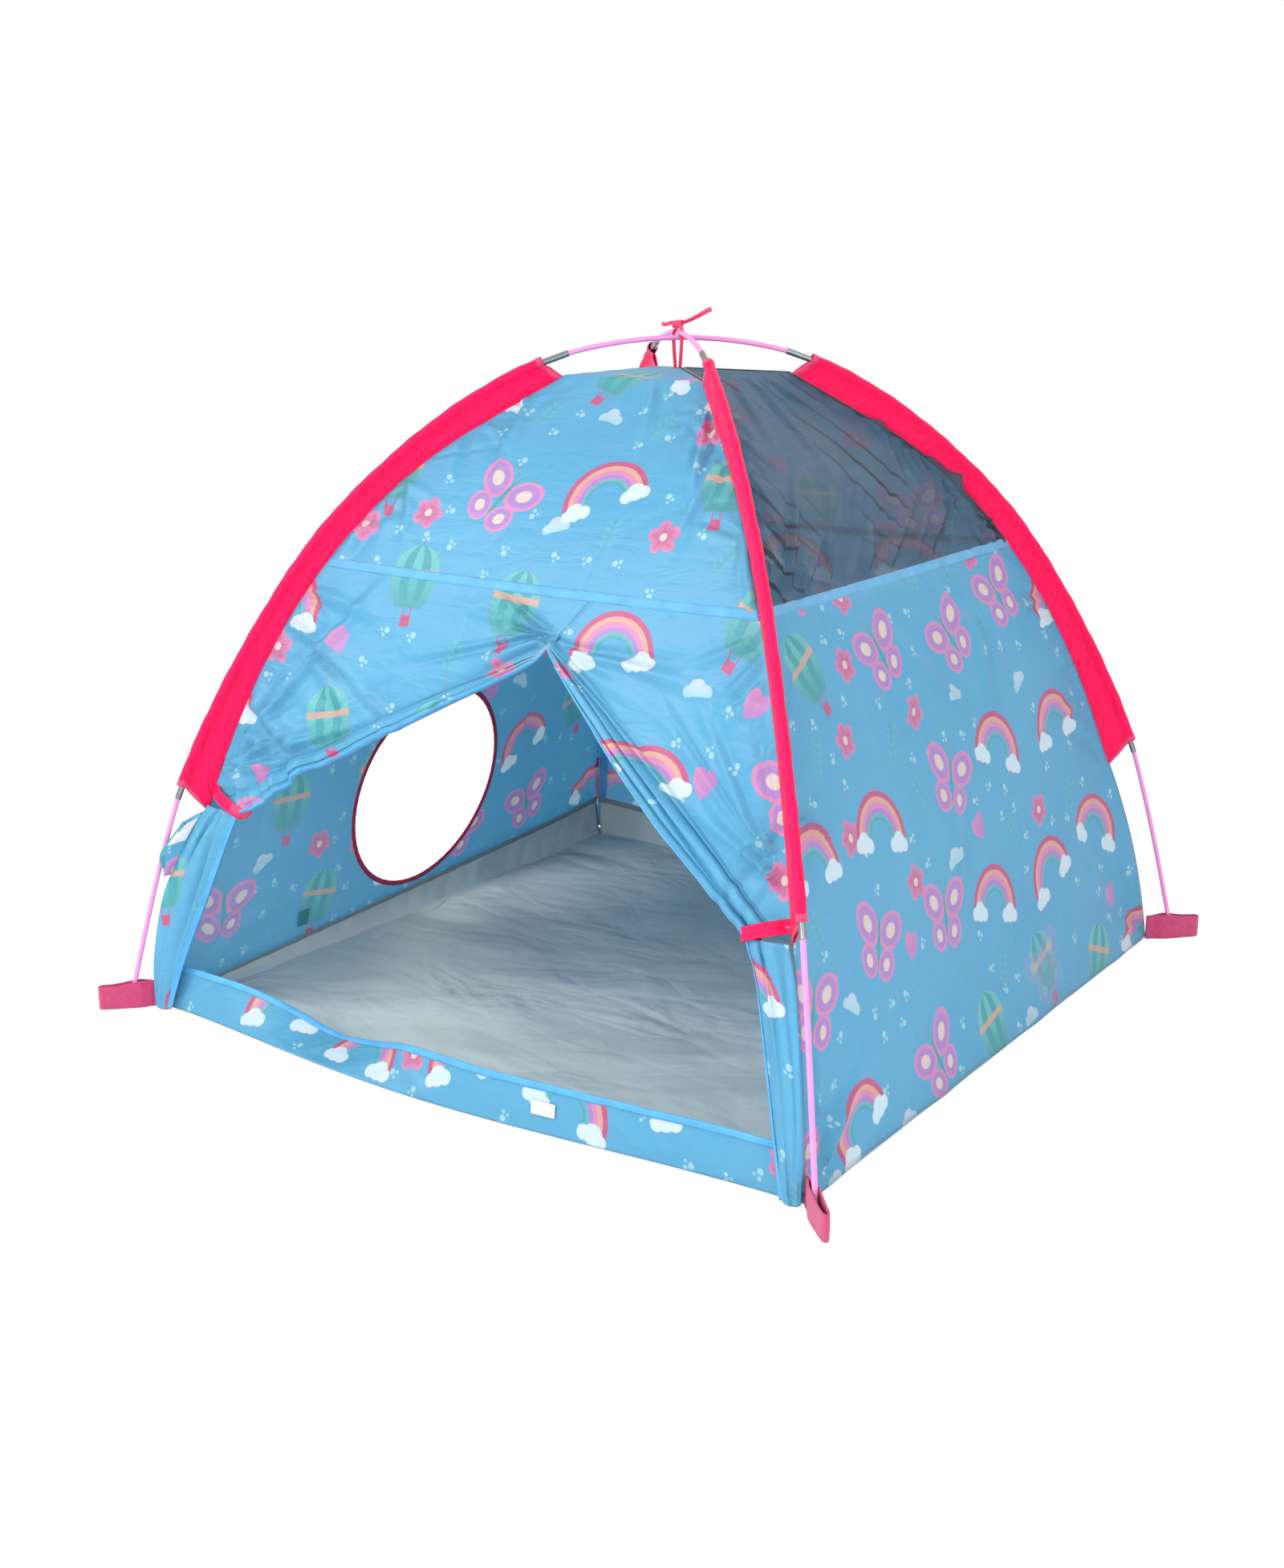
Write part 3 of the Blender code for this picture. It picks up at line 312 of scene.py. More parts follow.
class Wall:
    """One side of the cloth body, in across (-1 to 1 between the corner seams), height and depth."""

    def __init__(self, side: Side, seam: CornerSeam, rim_left: float = 0.0, rim_right: float = 0.0) -> None:
        """Keep the side's directions and the height of the floor's rim at its two ends."""
        self.right, self.out = (np.array(v, float) for v in side.value)
        self.seam, self.rim_left, self.rim_right = seam, rim_left, rim_right

    def half_width(self, height: Many) -> Array:
        """Half the wall's width at heights, which is also how far out it stands."""
        return self.seam.radius(height) / math.sqrt(2)

    def lean(self, height: Many) -> Array:
        """The wall's angle from upright."""
        reach = 0.0032
        low = np.clip(np.asarray(height, float) - reach / 2, 0.0, APEX_HEIGHT - reach)
        return np.arctan2(self.half_width(low) - self.half_width(low + reach), reach)

    def at(self, across: Array, height: Array, depth: Many = 0.0) -> Array:
        """Points at depths inside the wall's outer face.

        Args:
            across: Shares of the half width, from -1 to 1.
            height: Heights.
            depth: Depths inside the face.

        Returns:
            The points.
        """
        across, height, depth = np.broadcast_arrays(*(np.asarray(v, float) for v in (across, height, depth)))
        lean = self.lean(height)
        half = self.half_width(height) - depth * np.cos(lean)
        share = np.minimum(height / APEX_HEIGHT, 1.0)
        sag = WALL_SAG * (1 - across**2) * np.sin(math.pi * share)
        bow = CORNER_BOW * np.sin(math.pi * np.clip(height / CORNER_BOW_TOP, 0, 1)) ** 0.8 * across**10 / math.sqrt(2)
        side = (across * (half - SEAT_GAP) + np.sign(across) * bow)[..., None] * self.right
        out = (half + bow - sag * np.cos(lean))[..., None] * self.out
        return side + out + (height - (depth + sag) * np.sin(lean))[..., None] * UP

    def share(self, side: Array, height: Array) -> Array:
        """Distances to the right of the wall's middle as shares of its half width."""
        return np.asarray(side, float) / (self.half_width(height) - SEAT_GAP)

    def at_side(self, side: Array, height: Array) -> Array:
        """Points of the wall at distances to the right of its middle."""
        return self.at(self.share(side, height), height)

    def normal(self, height: Array) -> Array:
        """The wall's outward direction at heights."""
        lean = self.lean(height)[..., None]
        return self.out * np.cos(lean) + UP * np.sin(lean)

    def over(self, across: Array, height: Array, away: Many) -> Array:
        """Points that stand out of the wall's face."""
        return self.at(across, height) + self.normal(height) * np.asarray(away)[..., None]

    def cloth(self, across: Array, height: Array) -> Array:
        """Places on the flat cloth, in metres from the wall's middle and the floor."""
        return np.stack([across * self.half_width(height), self.seam.developed(height)], axis=-1)

    def seam_line(self, hand: int, low: float, high: float) -> Array:
        """A corner seam as places on the flat cloth."""
        return self.cloth(np.full(30, float(hand)), np.linspace(low, high, 30))

    def rim(self, across: Many) -> Array:
        """Height of the floor's turned-up rim along this wall."""
        return mix(self.rim_left, self.rim_right, (np.asarray(across) + 1) / 2)


# Folds in the cloth
def inward(hand: int) -> float:
    """The way from a corner seam into the cloth, in degrees; hand is -1 on the left and 1 on the right."""
    return 180.0 if hand > 0 else 0.0


@dataclass(frozen=True)
class Fold:
    """A soft ridge in a sheet, from start to end in the sheet's own metres."""

    start: Pair
    end: Pair
    width: float
    depth: float

    def lift(self, s: Array, t: Array) -> Array:
        """How far the ridge lifts the cloth at places on the sheet.

        Args:
            s: Places across the sheet.
            t: Places up the sheet.

        Returns:
            The lift at each place, negative in the dip beside the ridge.
        """
        ds, dt = self.end[0] - self.start[0], self.end[1] - self.start[1]
        long = max(math.hypot(ds, dt), 1e-6)
        along = ((s - self.start[0]) * ds + (t - self.start[1]) * dt) / long**2
        away = ((s - self.start[0]) * dt - (t - self.start[1]) * ds) / long
        width = self.width * (0.45 + 0.9 * np.clip(along, 0, 1))
        ridge = np.exp(-((away / width) ** 2)) - 0.55 * np.exp(-(((away - 1.5 * width) / width) ** 2))
        fade = smooth_step((along + 0.05) / 0.12) * smooth_step((1.0 - along) / 0.75)
        return self.depth * ridge * fade


FOLD_STRENGTH = 1.45
FOLD_INWARD = 0.0048


@dataclass
class Folds:
    """All the folds of one sheet."""

    rng: np.random.Generator
    folds: list[Fold] = field(default_factory=list)

    def add(self, base: Pair, turn: float, long: float, width: float, depth: float) -> None:
        """Add a fold.

        Args:
            base: Its start.
            turn: Its direction, in degrees from the way across.
            long: Its length.
            width: Its half width, before it varies.
            depth: How far it stands up, or down.
        """
        turn = math.radians(turn)
        end = (base[0] + long * math.cos(turn), base[1] + long * math.sin(turn))
        depth *= self.rng.choice([-1.0, 1.0])
        self.folds.append(Fold(tuple(base), end, width * self.rng.uniform(0.6, 1.3), depth))

    def fan(self, start: Pair, ways: Pair, count: int, length: Pair, width: float, depth: float,
            jitter: float = 0.01) -> None:
        """Add folds that spread from one place.

        Args:
            start: Where the cloth is drawn together.
            ways: The first and last direction, in degrees from the way across.
            count: How many folds.
            length: The shortest and longest fold.
            width: Half width of a fold.
            depth: Lift of a fold.
            jitter: How far a fold's start may stray.
        """
        for i in range(count):
            turn, long = mix(*ways, (i + self.rng.uniform(0.15, 0.85)) / count), self.rng.uniform(*length)
            base = (start[0] + self.rng.uniform(-jitter, jitter), start[1] + self.rng.uniform(-jitter, jitter))
            self.add(base, turn, long, width, depth * self.rng.uniform(0.45, 1.1))

    def along(self, line: Array, way: float, spread: float, count: int, length: Pair, width: float,
              depth: float) -> None:
        """Add short folds that start along a seam.

        Args:
            line: Points of the seam.
            way: The middle direction, in degrees from the way across.
            spread: How far a fold's direction may stray.
            count: How many folds.
            length: The shortest and longest fold.
            width: Half width of a fold.
            depth: Lift of a fold.
        """
        for _ in range(count):
            place = self.rng.uniform(0, len(line) - 1)
            i = min(int(place), len(line) - 2)
            turn, long = way + self.rng.uniform(-spread, spread), self.rng.uniform(*length)
            self.add(mix(line[i], line[i + 1], place - i), turn, long, width, depth * self.rng.uniform(0.4, 1.0))

    def lift(self, s: Array, t: Array) -> Array:
        """The lift of all folds together at places across and up the sheet."""
        total = sum((fold.lift(s, t) for fold in self.folds), np.zeros_like(s))
        return np.maximum(total * FOLD_STRENGTH, -FOLD_INWARD)


# Writing materials as sums
class Num:
    """A number that a material works out at each point of a surface, written with the usual signs."""

    def __init__(self, sketch: Sketch, socket: Socket) -> None:
        """Keep the material being drawn and the node output that holds the number."""
        self.sketch, self.socket = sketch, socket

    def op(self, kind: str, *others: Num | float, clamp: bool = False) -> Num:
        """One Math node on this number and the others."""
        return self.sketch.math(kind, self, *others, clamp=clamp)

    def __rsub__(self, other: float) -> Num:
        """A plain number less this one."""
        return self.sketch.math("SUBTRACT", other, self)

    __add__ = __radd__ = partialmethod(op, "ADD")
    __sub__ = partialmethod(op, "SUBTRACT")
    __mul__ = __rmul__ = partialmethod(op, "MULTIPLY")
    __truediv__ = partialmethod(op, "DIVIDE")
    abs = partialmethod(op, "ABSOLUTE")
    root = partialmethod(op, "SQRT")

    def above(self, level: Num | float, edge: float = 0.05) -> Num:
        """1 above the level and 0 below it, with a soft edge."""
        return ((self - level) / edge).op("ADD", 0.5, clamp=True)

    def below(self, level: Num | float, edge: float = 0.05) -> Num:
        """1 below the level and 0 above it, with a soft edge."""
        return (self.sketch.math("SUBTRACT", level, self) / edge).op("ADD", 0.5, clamp=True)


@dataclass
class Spot:
    """A motif's place: its own coordinates, the draw that picks it and its middle on the cloth."""

    x: Num
    y: Num
    pick: Num
    middle: tuple[Num, Num]


class Sketch:
    """Nodes under construction, for a material or for the background."""

    def __init__(self, name: str, world: bool = False) -> None:
        """Start with a shader and an output.

        Args:
            name: The material's name.
            world: Whether it is the background's.
        """
        self.material = (bpy.data.worlds if world else bpy.data.materials).new(name)
        self.material.use_nodes = True
        tree = self.material.node_tree
        self.nodes, self.links = tree.nodes, tree.links
        self.shader = self.nodes["Background" if world else "Principled BSDF"]
        self.surface = self.nodes["World Output" if world else "Material Output"].inputs["Surface"]

    def feed(self, socket: Socket, value: Num | Socket | tuple | float) -> None:
        """Give a socket a number, a colour, or another node's output."""
        if isinstance(value, (Num, Socket)):
            self.links.new(getattr(value, "socket", value), socket)
        elif isinstance(value, tuple) and len(value) == 3 and len(socket.default_value) == 4:
            socket.default_value = (*value, 1.0)
        else:
            socket.default_value = value

    def node(self, kind: str, *values: Num | Socket | float, **named: Num | Socket | tuple | float) -> bpy.types.Node:
        """A node of a kind, with its first inputs fed in order and others by name.

        Args:
            kind: The node's type, without its prefix.
            values: What its first inputs get.
            named: What other inputs get.

        Returns:
            The node.
        """
        node = self.nodes.new(f"ShaderNode{kind}")
        for socket, value in zip(node.inputs, values):
            self.feed(socket, value)
        for name, value in named.items():
            self.feed(node.inputs[name], value)
        return node

    def math(self, kind: str, *values: Num | float, clamp: bool = False) -> Num:
        """A Math node."""
        node = self.node("Math", *values)
        node.operation, node.use_clamp = kind, clamp
        return Num(self, node.outputs[0])

    def split(self, vector: Socket) -> tuple[Num, Num, Num]:
        """A place as three numbers."""
        return tuple(Num(self, part) for part in self.node("SeparateXYZ", vector).outputs)

    def coordinates(self) -> Socket:
        """The cloth's own places, in metres."""
        return self.node("TexCoord").outputs["UV"]

    def stretched(self, vector: Socket, scale: Colour, turn: float = 0.0) -> Socket:
        """Places scaled by each axis after a turn about z."""
        return self.node("Mapping", Vector=vector, Scale=scale, Rotation=(0, 0, turn)).outputs[0]

    def noise(self, vector: Socket, scale: float, detail: float = 3.0, rough: float = 0.5, bend: float = 0.0) -> Num:
        """Cloudy noise from 0 to 1.

        Args:
            vector: Places.
            scale: Lumps in a metre.
            detail: How many finer layers it has.
            rough: How strong those are.
            bend: How far it is drawn about.

        Returns:
            The noise.
        """
        node = self.node("TexNoise", Vector=vector, Scale=scale, Detail=detail, Roughness=rough, Distortion=bend)
        return Num(self, node.outputs[0])

    def cells(self, vector: Socket, scale: float, feature: str = "F1") -> Num:
        """Distances in a cell noise."""
        node = self.node("TexVoronoi", Vector=vector, Scale=scale)
        node.feature = feature
        return Num(self, node.outputs["Distance"])

    def blend(self, share: Num | float, under: Socket | Colour, over: Socket | Colour) -> Socket:
        """One colour over another.

        Args:
            share: How much of the upper one shows.
            under: The lower colour.
            over: The upper colour.

        Returns:
            The mixed colour.
        """
        node = self.node("Mix")
        node.data_type = "RGBA"
        for i, value in ((0, share), (6, under), (7, over)):
            self.feed(node.inputs[i], value)
        return node.outputs[2]

    def ramp(self, value: Num, stops: list[tuple[float, Colour]]) -> Socket:
        """A colour for each value.

        Args:
            value: The value.
            stops: Values from 0 to 1, each with its colour.

        Returns:
            The colour.
        """
        node = self.node("ValToRGB", value)
        elements = node.color_ramp.elements
        while len(elements) < len(stops):
            elements.new(0.5)
        for element, (place, colour) in zip(elements, stops):
            element.position, element.color = place, (*colour, 1.0)
        return node.outputs[0]

    def bump(self, height: Num, strength: float, distance: float) -> Socket:
        """A normal from a height in metres times distance."""
        return self.node("Bump", Strength=strength, Distance=distance, Height=height).outputs[0]

    def set(self, **sockets: Num | Socket | tuple | float) -> None:
        """Set the shader's sockets, with underscores for spaces."""
        for name, value in sockets.items():
            self.feed(self.shader.inputs[name.replace("_", " ")], value)

    def mix_in(self, share: Num | float, other: Socket) -> None:
        """Show the shader with a share of another one."""
        mixed = self.node("MixShader", share, self.shader.outputs[0], other)
        self.links.new(mixed.outputs[0], self.surface)

    def let_light_through(self, colour: Socket, share: float, normal: Socket) -> None:
        """Make thin cloth pass some light to its other side."""
        self.mix_in(share, self.node("BsdfTranslucent", Color=colour, Normal=normal).outputs[0])

    def seen(self) -> Num:
        """1 for light that runs to the camera straight, through the mesh or by a gloss."""
        path = self.node("LightPath").outputs
        camera, through, gloss = (Num(self, path[f"Is {kind} Ray"]) for kind in ("Camera", "Transmission", "Glossy"))
        return camera.op("MAXIMUM", through).op("MAXIMUM", gloss)


class Motif(Enum):
    """What the cloth is printed with, each with the draws that pick it in its layer."""

    FLOWER = (0.0, 0.3)
    HEART = (0.3, 0.48)
    SPRIG = (0.48, 0.74)
    CLOUD = (0.74, 0.88)
    RAINBOW = (0.0, 0.34)
    BALLOON = (0.34, 0.66)
    BUTTERFLY = (0.66, 0.97)


SKY: Colour = (0.14, 0.515, 0.735)
SKY_DEEP: Colour = (0.09, 0.44, 0.68)
TEAL: Colour = (0.055, 0.42, 0.46)
TEAL_PALE: Colour = (0.16, 0.60, 0.58)
PINK: Colour = (0.86, 0.30, 0.56)
HOT_PINK: Colour = (0.70, 0.075, 0.25)
PEACH: Colour = (0.88, 0.46, 0.33)
LILAC: Colour = (0.56, 0.28, 0.66)
PALE: Colour = (0.60, 0.84, 0.80)
CREAM: Colour = (0.90, 0.72, 0.62)
WHITE: Colour = (1.0, 1.0, 1.0)
CLOUD_WHITE: Colour = (0.80, 0.88, 0.92)
CLOUD_ROSE: Colour = (0.85, 0.80, 0.88)
Inked = tuple[Num, Socket]


def far(x: Num, y: Num) -> Num:
    """Distance from two sides."""
    return (x * x + y * y).root()


def oval(x: Num, y: Num, wide: float, tall: float) -> Num:
    """Below 1 inside an oval with these half sizes."""
    return (x / wide).op("POWER", 2.0) + (y / tall).op("POWER", 2.0)


def discs(x: Num, y: Num, places: tuple, edge: float) -> Num:
    """1 inside any of several discs, each given by its middle and radius."""
    inside = [far(x - at_x, y - at_y).below(size, edge) for at_x, at_y, size in places]
    return reduce(lambda first, second: first.op("MAXIMUM", second), inside)


@dataclass(frozen=True)
class Layer:
    """Motifs of one size on a brickwork of places: spacing, half size, stray, draw and largest turn."""

    cell: float
    radius: float
    jitter: float
    seed: float
    tilt: float


@dataclass(frozen=True)
class Print:
    """The cloth's print: sky-blue ground with rainbows, balloons, butterflies, flowers, hearts, sprigs and dots.

    Each motif's method takes the material being drawn and the motif's spot. It gives how much of the motif covers
    each point, and its colour there.
    """

    large: Layer = Layer(0.205, 0.072, 0.028, 3.7, 0.45)
    medium: Layer = Layer(0.108, 0.03, 0.018, 11.3, 0.6)
    small: Layer = Layer(0.052, 0.011, 0.012, 23.9, 3.1)

    def spot(self, k: Sketch, x: Num, y: Num, layer: Layer) -> Spot:
        """The motif place nearest to a point of the cloth.

        Args:
            k: The material being drawn.
            x: Place across the cloth in metres.
            y: Place up the cloth in metres.
            layer: The motifs to choose from.

        Returns:
            The motif's own coordinates and draws.
        """
        row = (y / layer.cell).op("FLOOR")
        shift = (row * 0.5).op("FRACT")
        column = (x / layer.cell + shift).op("FLOOR")
        draw = k.node("TexWhiteNoise", k.node("CombineXYZ", column, row, layer.seed).outputs[0])
        one, two, _ = (Num(k, part) for part in k.node("SeparateColor", draw.outputs["Color"]).outputs)
        middle_x = (column - shift + 0.5) * layer.cell + (one - 0.5) * (2 * layer.jitter)
        middle_y = (row + 0.5) * layer.cell + (two - 0.5) * (2 * layer.jitter)
        turn = (one * 7.31).op("FRACT") * (2 * layer.tilt) - layer.tilt
        c, s = turn.op("COSINE"), turn.op("SINE")
        dx, dy = (x - middle_x) / layer.radius, (y - middle_y) / layer.radius
        return Spot(dx * c + dy * s, dy * c - dx * s, Num(k, draw.outputs["Value"]), (middle_x, middle_y))

    def clear_of(self, k: Sketch, spot: Spot, layer: Layer, reach: float) -> Num:
        """1 where a smaller motif's middle keeps away from the larger motif beside it."""
        big = self.spot(k, *spot.middle, replace(layer, tilt=0.0))
        return far(big.x, big.y).above(reach / layer.radius, 0.001)

    def flower(self, k: Sketch, p: Spot) -> Inked:
        """Five round petals with veins and a pale middle."""
        r = far(p.x, p.y)
        lobe = (p.y.op("ARCTAN2", p.x) * 2.5).op("COSINE").abs()
        mask = (lobe.root() * 0.42 + 0.5 - r).above(0.0, 0.07)
        vein = lobe.above(0.975, 0.02) * r.above(0.3) * r.below(0.72)
        petals = k.blend(vein * 0.6, k.blend(r, HOT_PINK, PINK), HOT_PINK)
        return mask, k.blend(r.below(0.22), petals, CREAM)

    def heart(self, k: Sketch, p: Spot) -> Inked:
        """A plump heart with a lighter side."""
        up = p.y + 0.12 - p.x.abs().root() * 0.6
        lit = (p.x * 0.5 + 0.5 - p.y * 0.3).op("MULTIPLY", 1.0, clamp=True)
        return far(p.x, up).below(0.66), k.blend(lit, PINK, LILAC)

    def butterfly(self, k: Sketch, p: Spot) -> Inked:
        """Two pairs of round wings with spots and a thin body."""
        side = p.x.abs()
        a, b, c, d = side - 0.47, p.y - 0.3, side - 0.34, p.y + 0.4
        upper = oval(a * 0.8 + b * 0.6, b * 0.8 - a * 0.6, 0.5, 0.36)
        wing = upper.op("MINIMUM", oval(c * 0.8 - d * 0.6, d * 0.8 + c * 0.6, 0.3, 0.36))
        body = oval(side, p.y, 0.055, 0.5).below(1.0, 0.3)
        feeler = (side - (p.y - 0.4) * 0.45).abs().below(0.018, 0.02) * p.y.above(0.42) * p.y.below(0.82)
        mask = wing.below(1.0, 0.12).op("MAXIMUM", body).op("MAXIMUM", feeler)
        spots = k.blend(wing.below(0.16, 0.06), k.blend(wing.above(0.62, 0.1), LILAC, PINK), CREAM)
        return mask, k.blend(body.op("MAXIMUM", feeler), spots, TEAL)

    def rainbow(self, k: Sketch, p: Spot) -> Inked:
        """Five bands of a bow between two little clouds."""
        low = p.y + 0.45
        r = far(p.x, low)
        bow = r.below(1.0, 0.03) * r.above(0.42, 0.03) * low.above(0.0, 0.03)
        band = k.ramp(r, [(0.42, TEAL), (0.535, TEAL_PALE), (0.55, LILAC), (0.645, LILAC), (0.66, PINK),
                          (0.755, PINK), (0.77, PEACH), (0.87, PEACH), (0.885, HOT_PINK), (1.0, HOT_PINK)])
        clouds = discs(p.x.abs(), p.y, ((0.71, -0.5, 0.22), (0.5, -0.56, 0.16), (0.9, -0.56, 0.15)), 0.03)
        return bow.op("MAXIMUM", clouds), k.blend(clouds, band, CLOUD_WHITE)

    def balloon(self, k: Sketch, p: Spot) -> Inked:
        """A striped air balloon with its basket."""
        up, side = p.y - 0.3, p.x.abs()
        tall = up / (0.98 - up.above(0.0, 0.001) * 0.38)
        room = (1.0 - tall * tall).op("MAXIMUM", 0.0001).root() * 0.6
        skin = (room - side).above(0.0, 0.03) * p.y.above(-0.52, 0.02)
        basket = side.below(0.13, 0.03) * p.y.below(-0.68, 0.03) * p.y.above(-0.93, 0.03)
        ropes = (side - 0.1).abs().below(0.016, 0.02) * p.y.below(-0.5) * p.y.above(-0.7)
        stripe = ((p.x / room) * 2.5 + 0.5).op("FLOOR").abs().op("MODULO", 2.0)
        cloth = k.blend(stripe, k.blend(p.y.above(-0.1, 0.9), TEAL, TEAL_PALE), TEAL)
        dressed = k.blend((p.y - 0.28).abs().below(0.07, 0.03) * 0.85, cloth, PEACH)
        return skin.op("MAXIMUM", basket).op("MAXIMUM", ropes), k.blend(skin, HOT_PINK, dressed)

    def sprig(self, k: Sketch, p: Spot) -> Inked:
        """A stem with leaves up both sides."""
        side = p.x.abs()
        inside = p.y.abs().below(0.95, 0.03)
        step = ((p.y * 2.4).op("FRACT") - 0.5) / 2.4
        a = side - 0.24
        leaf = oval(a, step - a * 0.55, 0.22, 0.085).below(1.0, 0.25) * inside
        return (side.below(0.03, 0.03) * inside).op("MAXIMUM", leaf) * 0.6, k.blend(leaf, TEAL, TEAL_PALE)

    def cloud(self, k: Sketch, p: Spot) -> Inked:
        """A flat-footed cloud of three puffs."""
        mask = discs(p.x, p.y, ((-0.48, -0.12, 0.3), (0.0, 0.08, 0.44), (0.46, -0.1, 0.33)), 0.06)
        return mask * p.y.above(-0.34) * 0.8, k.blend(p.y.above(0.0, 0.8), PALE, CLOUD_ROSE)

    def draw(self, k: Sketch, cloth: Socket) -> Socket:
        """The whole print as a colour; each motif is drawn by the method that has its name.

        Args:
            k: The material being drawn.
            cloth: Places on the cloth in metres.

        Returns:
            The colour at each place.
        """
        x, y, _ = k.split(cloth)
        dot, medium, large = (self.spot(k, x, y, layer) for layer in (self.small, self.medium, self.large))
        room = self.clear_of(k, dot, self.large, 0.066) * self.clear_of(k, dot, self.medium, 0.034)
        dots = discs(dot.x, dot.y, ((-0.35, 0.25, 0.44), (0.5, -0.05, 0.28), (-0.05, -0.65, 0.22)), 0.12)
        colour = k.blend(k.noise(cloth, 4.0, 2.0), SKY_DEEP, SKY)
        colour = k.blend(dots * room * dot.pick.below(0.62, 0.001) * 0.7, colour, PALE)
        room = self.clear_of(k, medium, self.large, 0.088)
        for motif in Motif:
            big = motif in (Motif.RAINBOW, Motif.BALLOON, Motif.BUTTERFLY)
            p = large if big else medium
            mask, paint = getattr(self, motif.name.lower())(k, p)
            low, high = motif.value
            shown = mask * (p.pick.above(low, 0.001) * p.pick.below(high, 0.001))
            colour = k.blend(shown * 0.95 if big else shown * room * 0.92, colour, paint)
        return colour


# Finishes
@dataclass(frozen=True)
class Look:
    """A finish: its material's name and its main colour."""

    name: str
    colour: Colour

    def make(self) -> bpy.types.Material:
        """Build the material."""
        k = Sketch(self.name)
        self.dress(k, k.coordinates())
        return k.material

    def tone(self, strength: float) -> Colour:
        """The main colour made darker or paler."""
        return tuple(min(c * strength, 1.0) for c in self.colour)

    def dress(self, k: Sketch, cloth: Socket) -> None:
        """Set the material's sockets.

        Args:
            k: The material being made.
            cloth: The place on the flat cloth.
        """
        raise NotImplementedError


@dataclass(frozen=True)
class PrintedCloth(Look):
    """Thin satin polyester, printed outside and hazier inside; the colour is the pale wash over the print. Inside, that
    wash is partly the print's paler back and partly painted light for light that comes through the cloth.
    """

    colour: Colour = (0.50, 0.70, 0.76)
    haze: float = 0.03

    def dress(self, k: Sketch, cloth: Socket) -> None:
        """Set the material's sockets."""
        cloud = k.noise(cloth, 3.2, 3.0)
        # Pale wash over the print: outside it softens the print; inside it is partly the print's paler back and partly
        # painted light for light through the cloth.
        colour = k.blend(cloud.above(0.35, 0.5) * 0.07 + self.haze, Print().draw(k, cloth), self.colour)
        long = k.noise(k.stretched(cloth, (1.0, 3.2, 1.0), 0.5), 9.0, 4.0, 0.55, 0.6)
        crease = k.cells(k.stretched(cloth, (1.0, 1.0, 1.0)), 7.0, "DISTANCE_TO_EDGE")
        height = long + crease.op("MINIMUM", 0.06) * 2.0 + k.noise(cloth, 90.0, 2.0) * 0.04
        normal = k.bump(height, 0.75, 0.005)
        k.set(Base_Color=colour, Roughness=0.40, Normal=normal, Specular_IOR_Level=0.5, Sheen_Weight=0.15)
        k.let_light_through(colour, 0.52, normal)


@dataclass(frozen=True)
class PlainCloth(Look):
    """Woven cloth of one colour, with its weave, soft sheen and uneven dye."""

    roughness: float = 0.6
    weave: float = 1300.0
    through: float = 0.0
    crinkle: float = 0.5
    shine: float = 0.35

    def dress(self, k: Sketch, cloth: Socket) -> None:
        """Set the material's sockets."""
        colour = k.blend(k.noise(cloth, 35.0, 3.0).above(0.45, 0.5) * 0.8, self.tone(0.72), self.colour)
        x, y, _ = k.split(cloth)
        weave = ((x * self.weave).op("SINE") * (y * self.weave).op("SINE")) * 0.12
        crinkle = k.noise(k.stretched(cloth, (1.0, 2.5, 1.0), 0.7), 28.0, 4.0, 0.6, 0.8)
        normal = k.bump(crinkle * self.crinkle + weave, 0.5, 0.0025)
        k.set(Base_Color=colour, Roughness=self.roughness, Normal=normal, Sheen_Weight=self.shine * 0.4,
              Specular_IOR_Level=self.shine)
        if self.through:
            k.let_light_through(colour, self.through, normal)


@dataclass(frozen=True)
class MeshCloth(Look):
    """Dark see-through netting, with crease lines that are denser where a fold doubles the netting and coloured near
    black as painted shade in the fold.
    """

    pitch: float = 0.0022

    def dress(self, k: Sketch, cloth: Socket) -> None:
        """Set the material's sockets."""
        x, y, _ = k.split(cloth)
        turn = 2 * math.pi / self.pitch
        holes = (x * turn).op("SINE") * (y * turn).op("SINE")
        shade = k.noise(k.stretched(cloth, (1.0, 4.0, 1.0), 0.9), 9.0, 3.0)
        wander = k.noise(cloth, 2.2, 2.0) * 7.0
        # Crease lines: more opaque where a fold doubles the netting; their near-black colour is painted shade in the
        # folds.
        crease = ((x * 0.87 + y * 0.48) * 125.0 + wander).op("SINE").above(0.87, 0.20)
        crease = crease * k.noise(cloth, 3.0, 1.0).above(0.53, 0.14)
        colour = k.blend(crease, k.blend(shade, self.tone(0.55), self.tone(1.5)), (0.006, 0.009, 0.014))
        k.set(Base_Color=colour, Roughness=0.55, Alpha=holes * 0.16 + 0.50 + crease * 0.22, Specular_IOR_Level=0.3)


@dataclass(frozen=True)
class FloorCloth(Look):
    """Grey coated sheet, creased from its packing, with painted shade in its broad hollows and painted light on its
    swells.
    """

    def dress(self, k: Sketch, cloth: Socket) -> None:
        """Set the material's sockets."""
        broad = k.noise(k.stretched(cloth, (1.0, 1.4, 1.0), 0.4), 3.6, 3.0, 0.5, 0.7)
        large, small = (k.cells(k.stretched(cloth, (1.0, stretch, 1.0), turn), scale, "DISTANCE_TO_EDGE")
                        for stretch, turn, scale in ((1.7, 0.7, 2.6), (1.9, -0.5, 6.0)))
        small = small.op("MINIMUM", 0.16) * k.noise(cloth, 2.4, 1.0).above(0.50, 0.20) * 0.75
        crumple = large.op("MINIMUM", 0.30) * 0.8 + small
        normal = k.bump(crumple * 0.62 + broad * 0.9 + k.noise(cloth, 38.0, 3.0, 0.5) * 0.05, 0.75, 0.03)
        # Painted light and shade: the colour follows the broad bump, paler on the swells and darker in the hollows.
        k.set(Base_Color=k.blend(broad.above(0.5, 0.35) * 0.8, self.tone(0.88), self.tone(1.10)),
              Roughness=broad * 0.25 + 0.32, Normal=normal, Specular_IOR_Level=0.45)


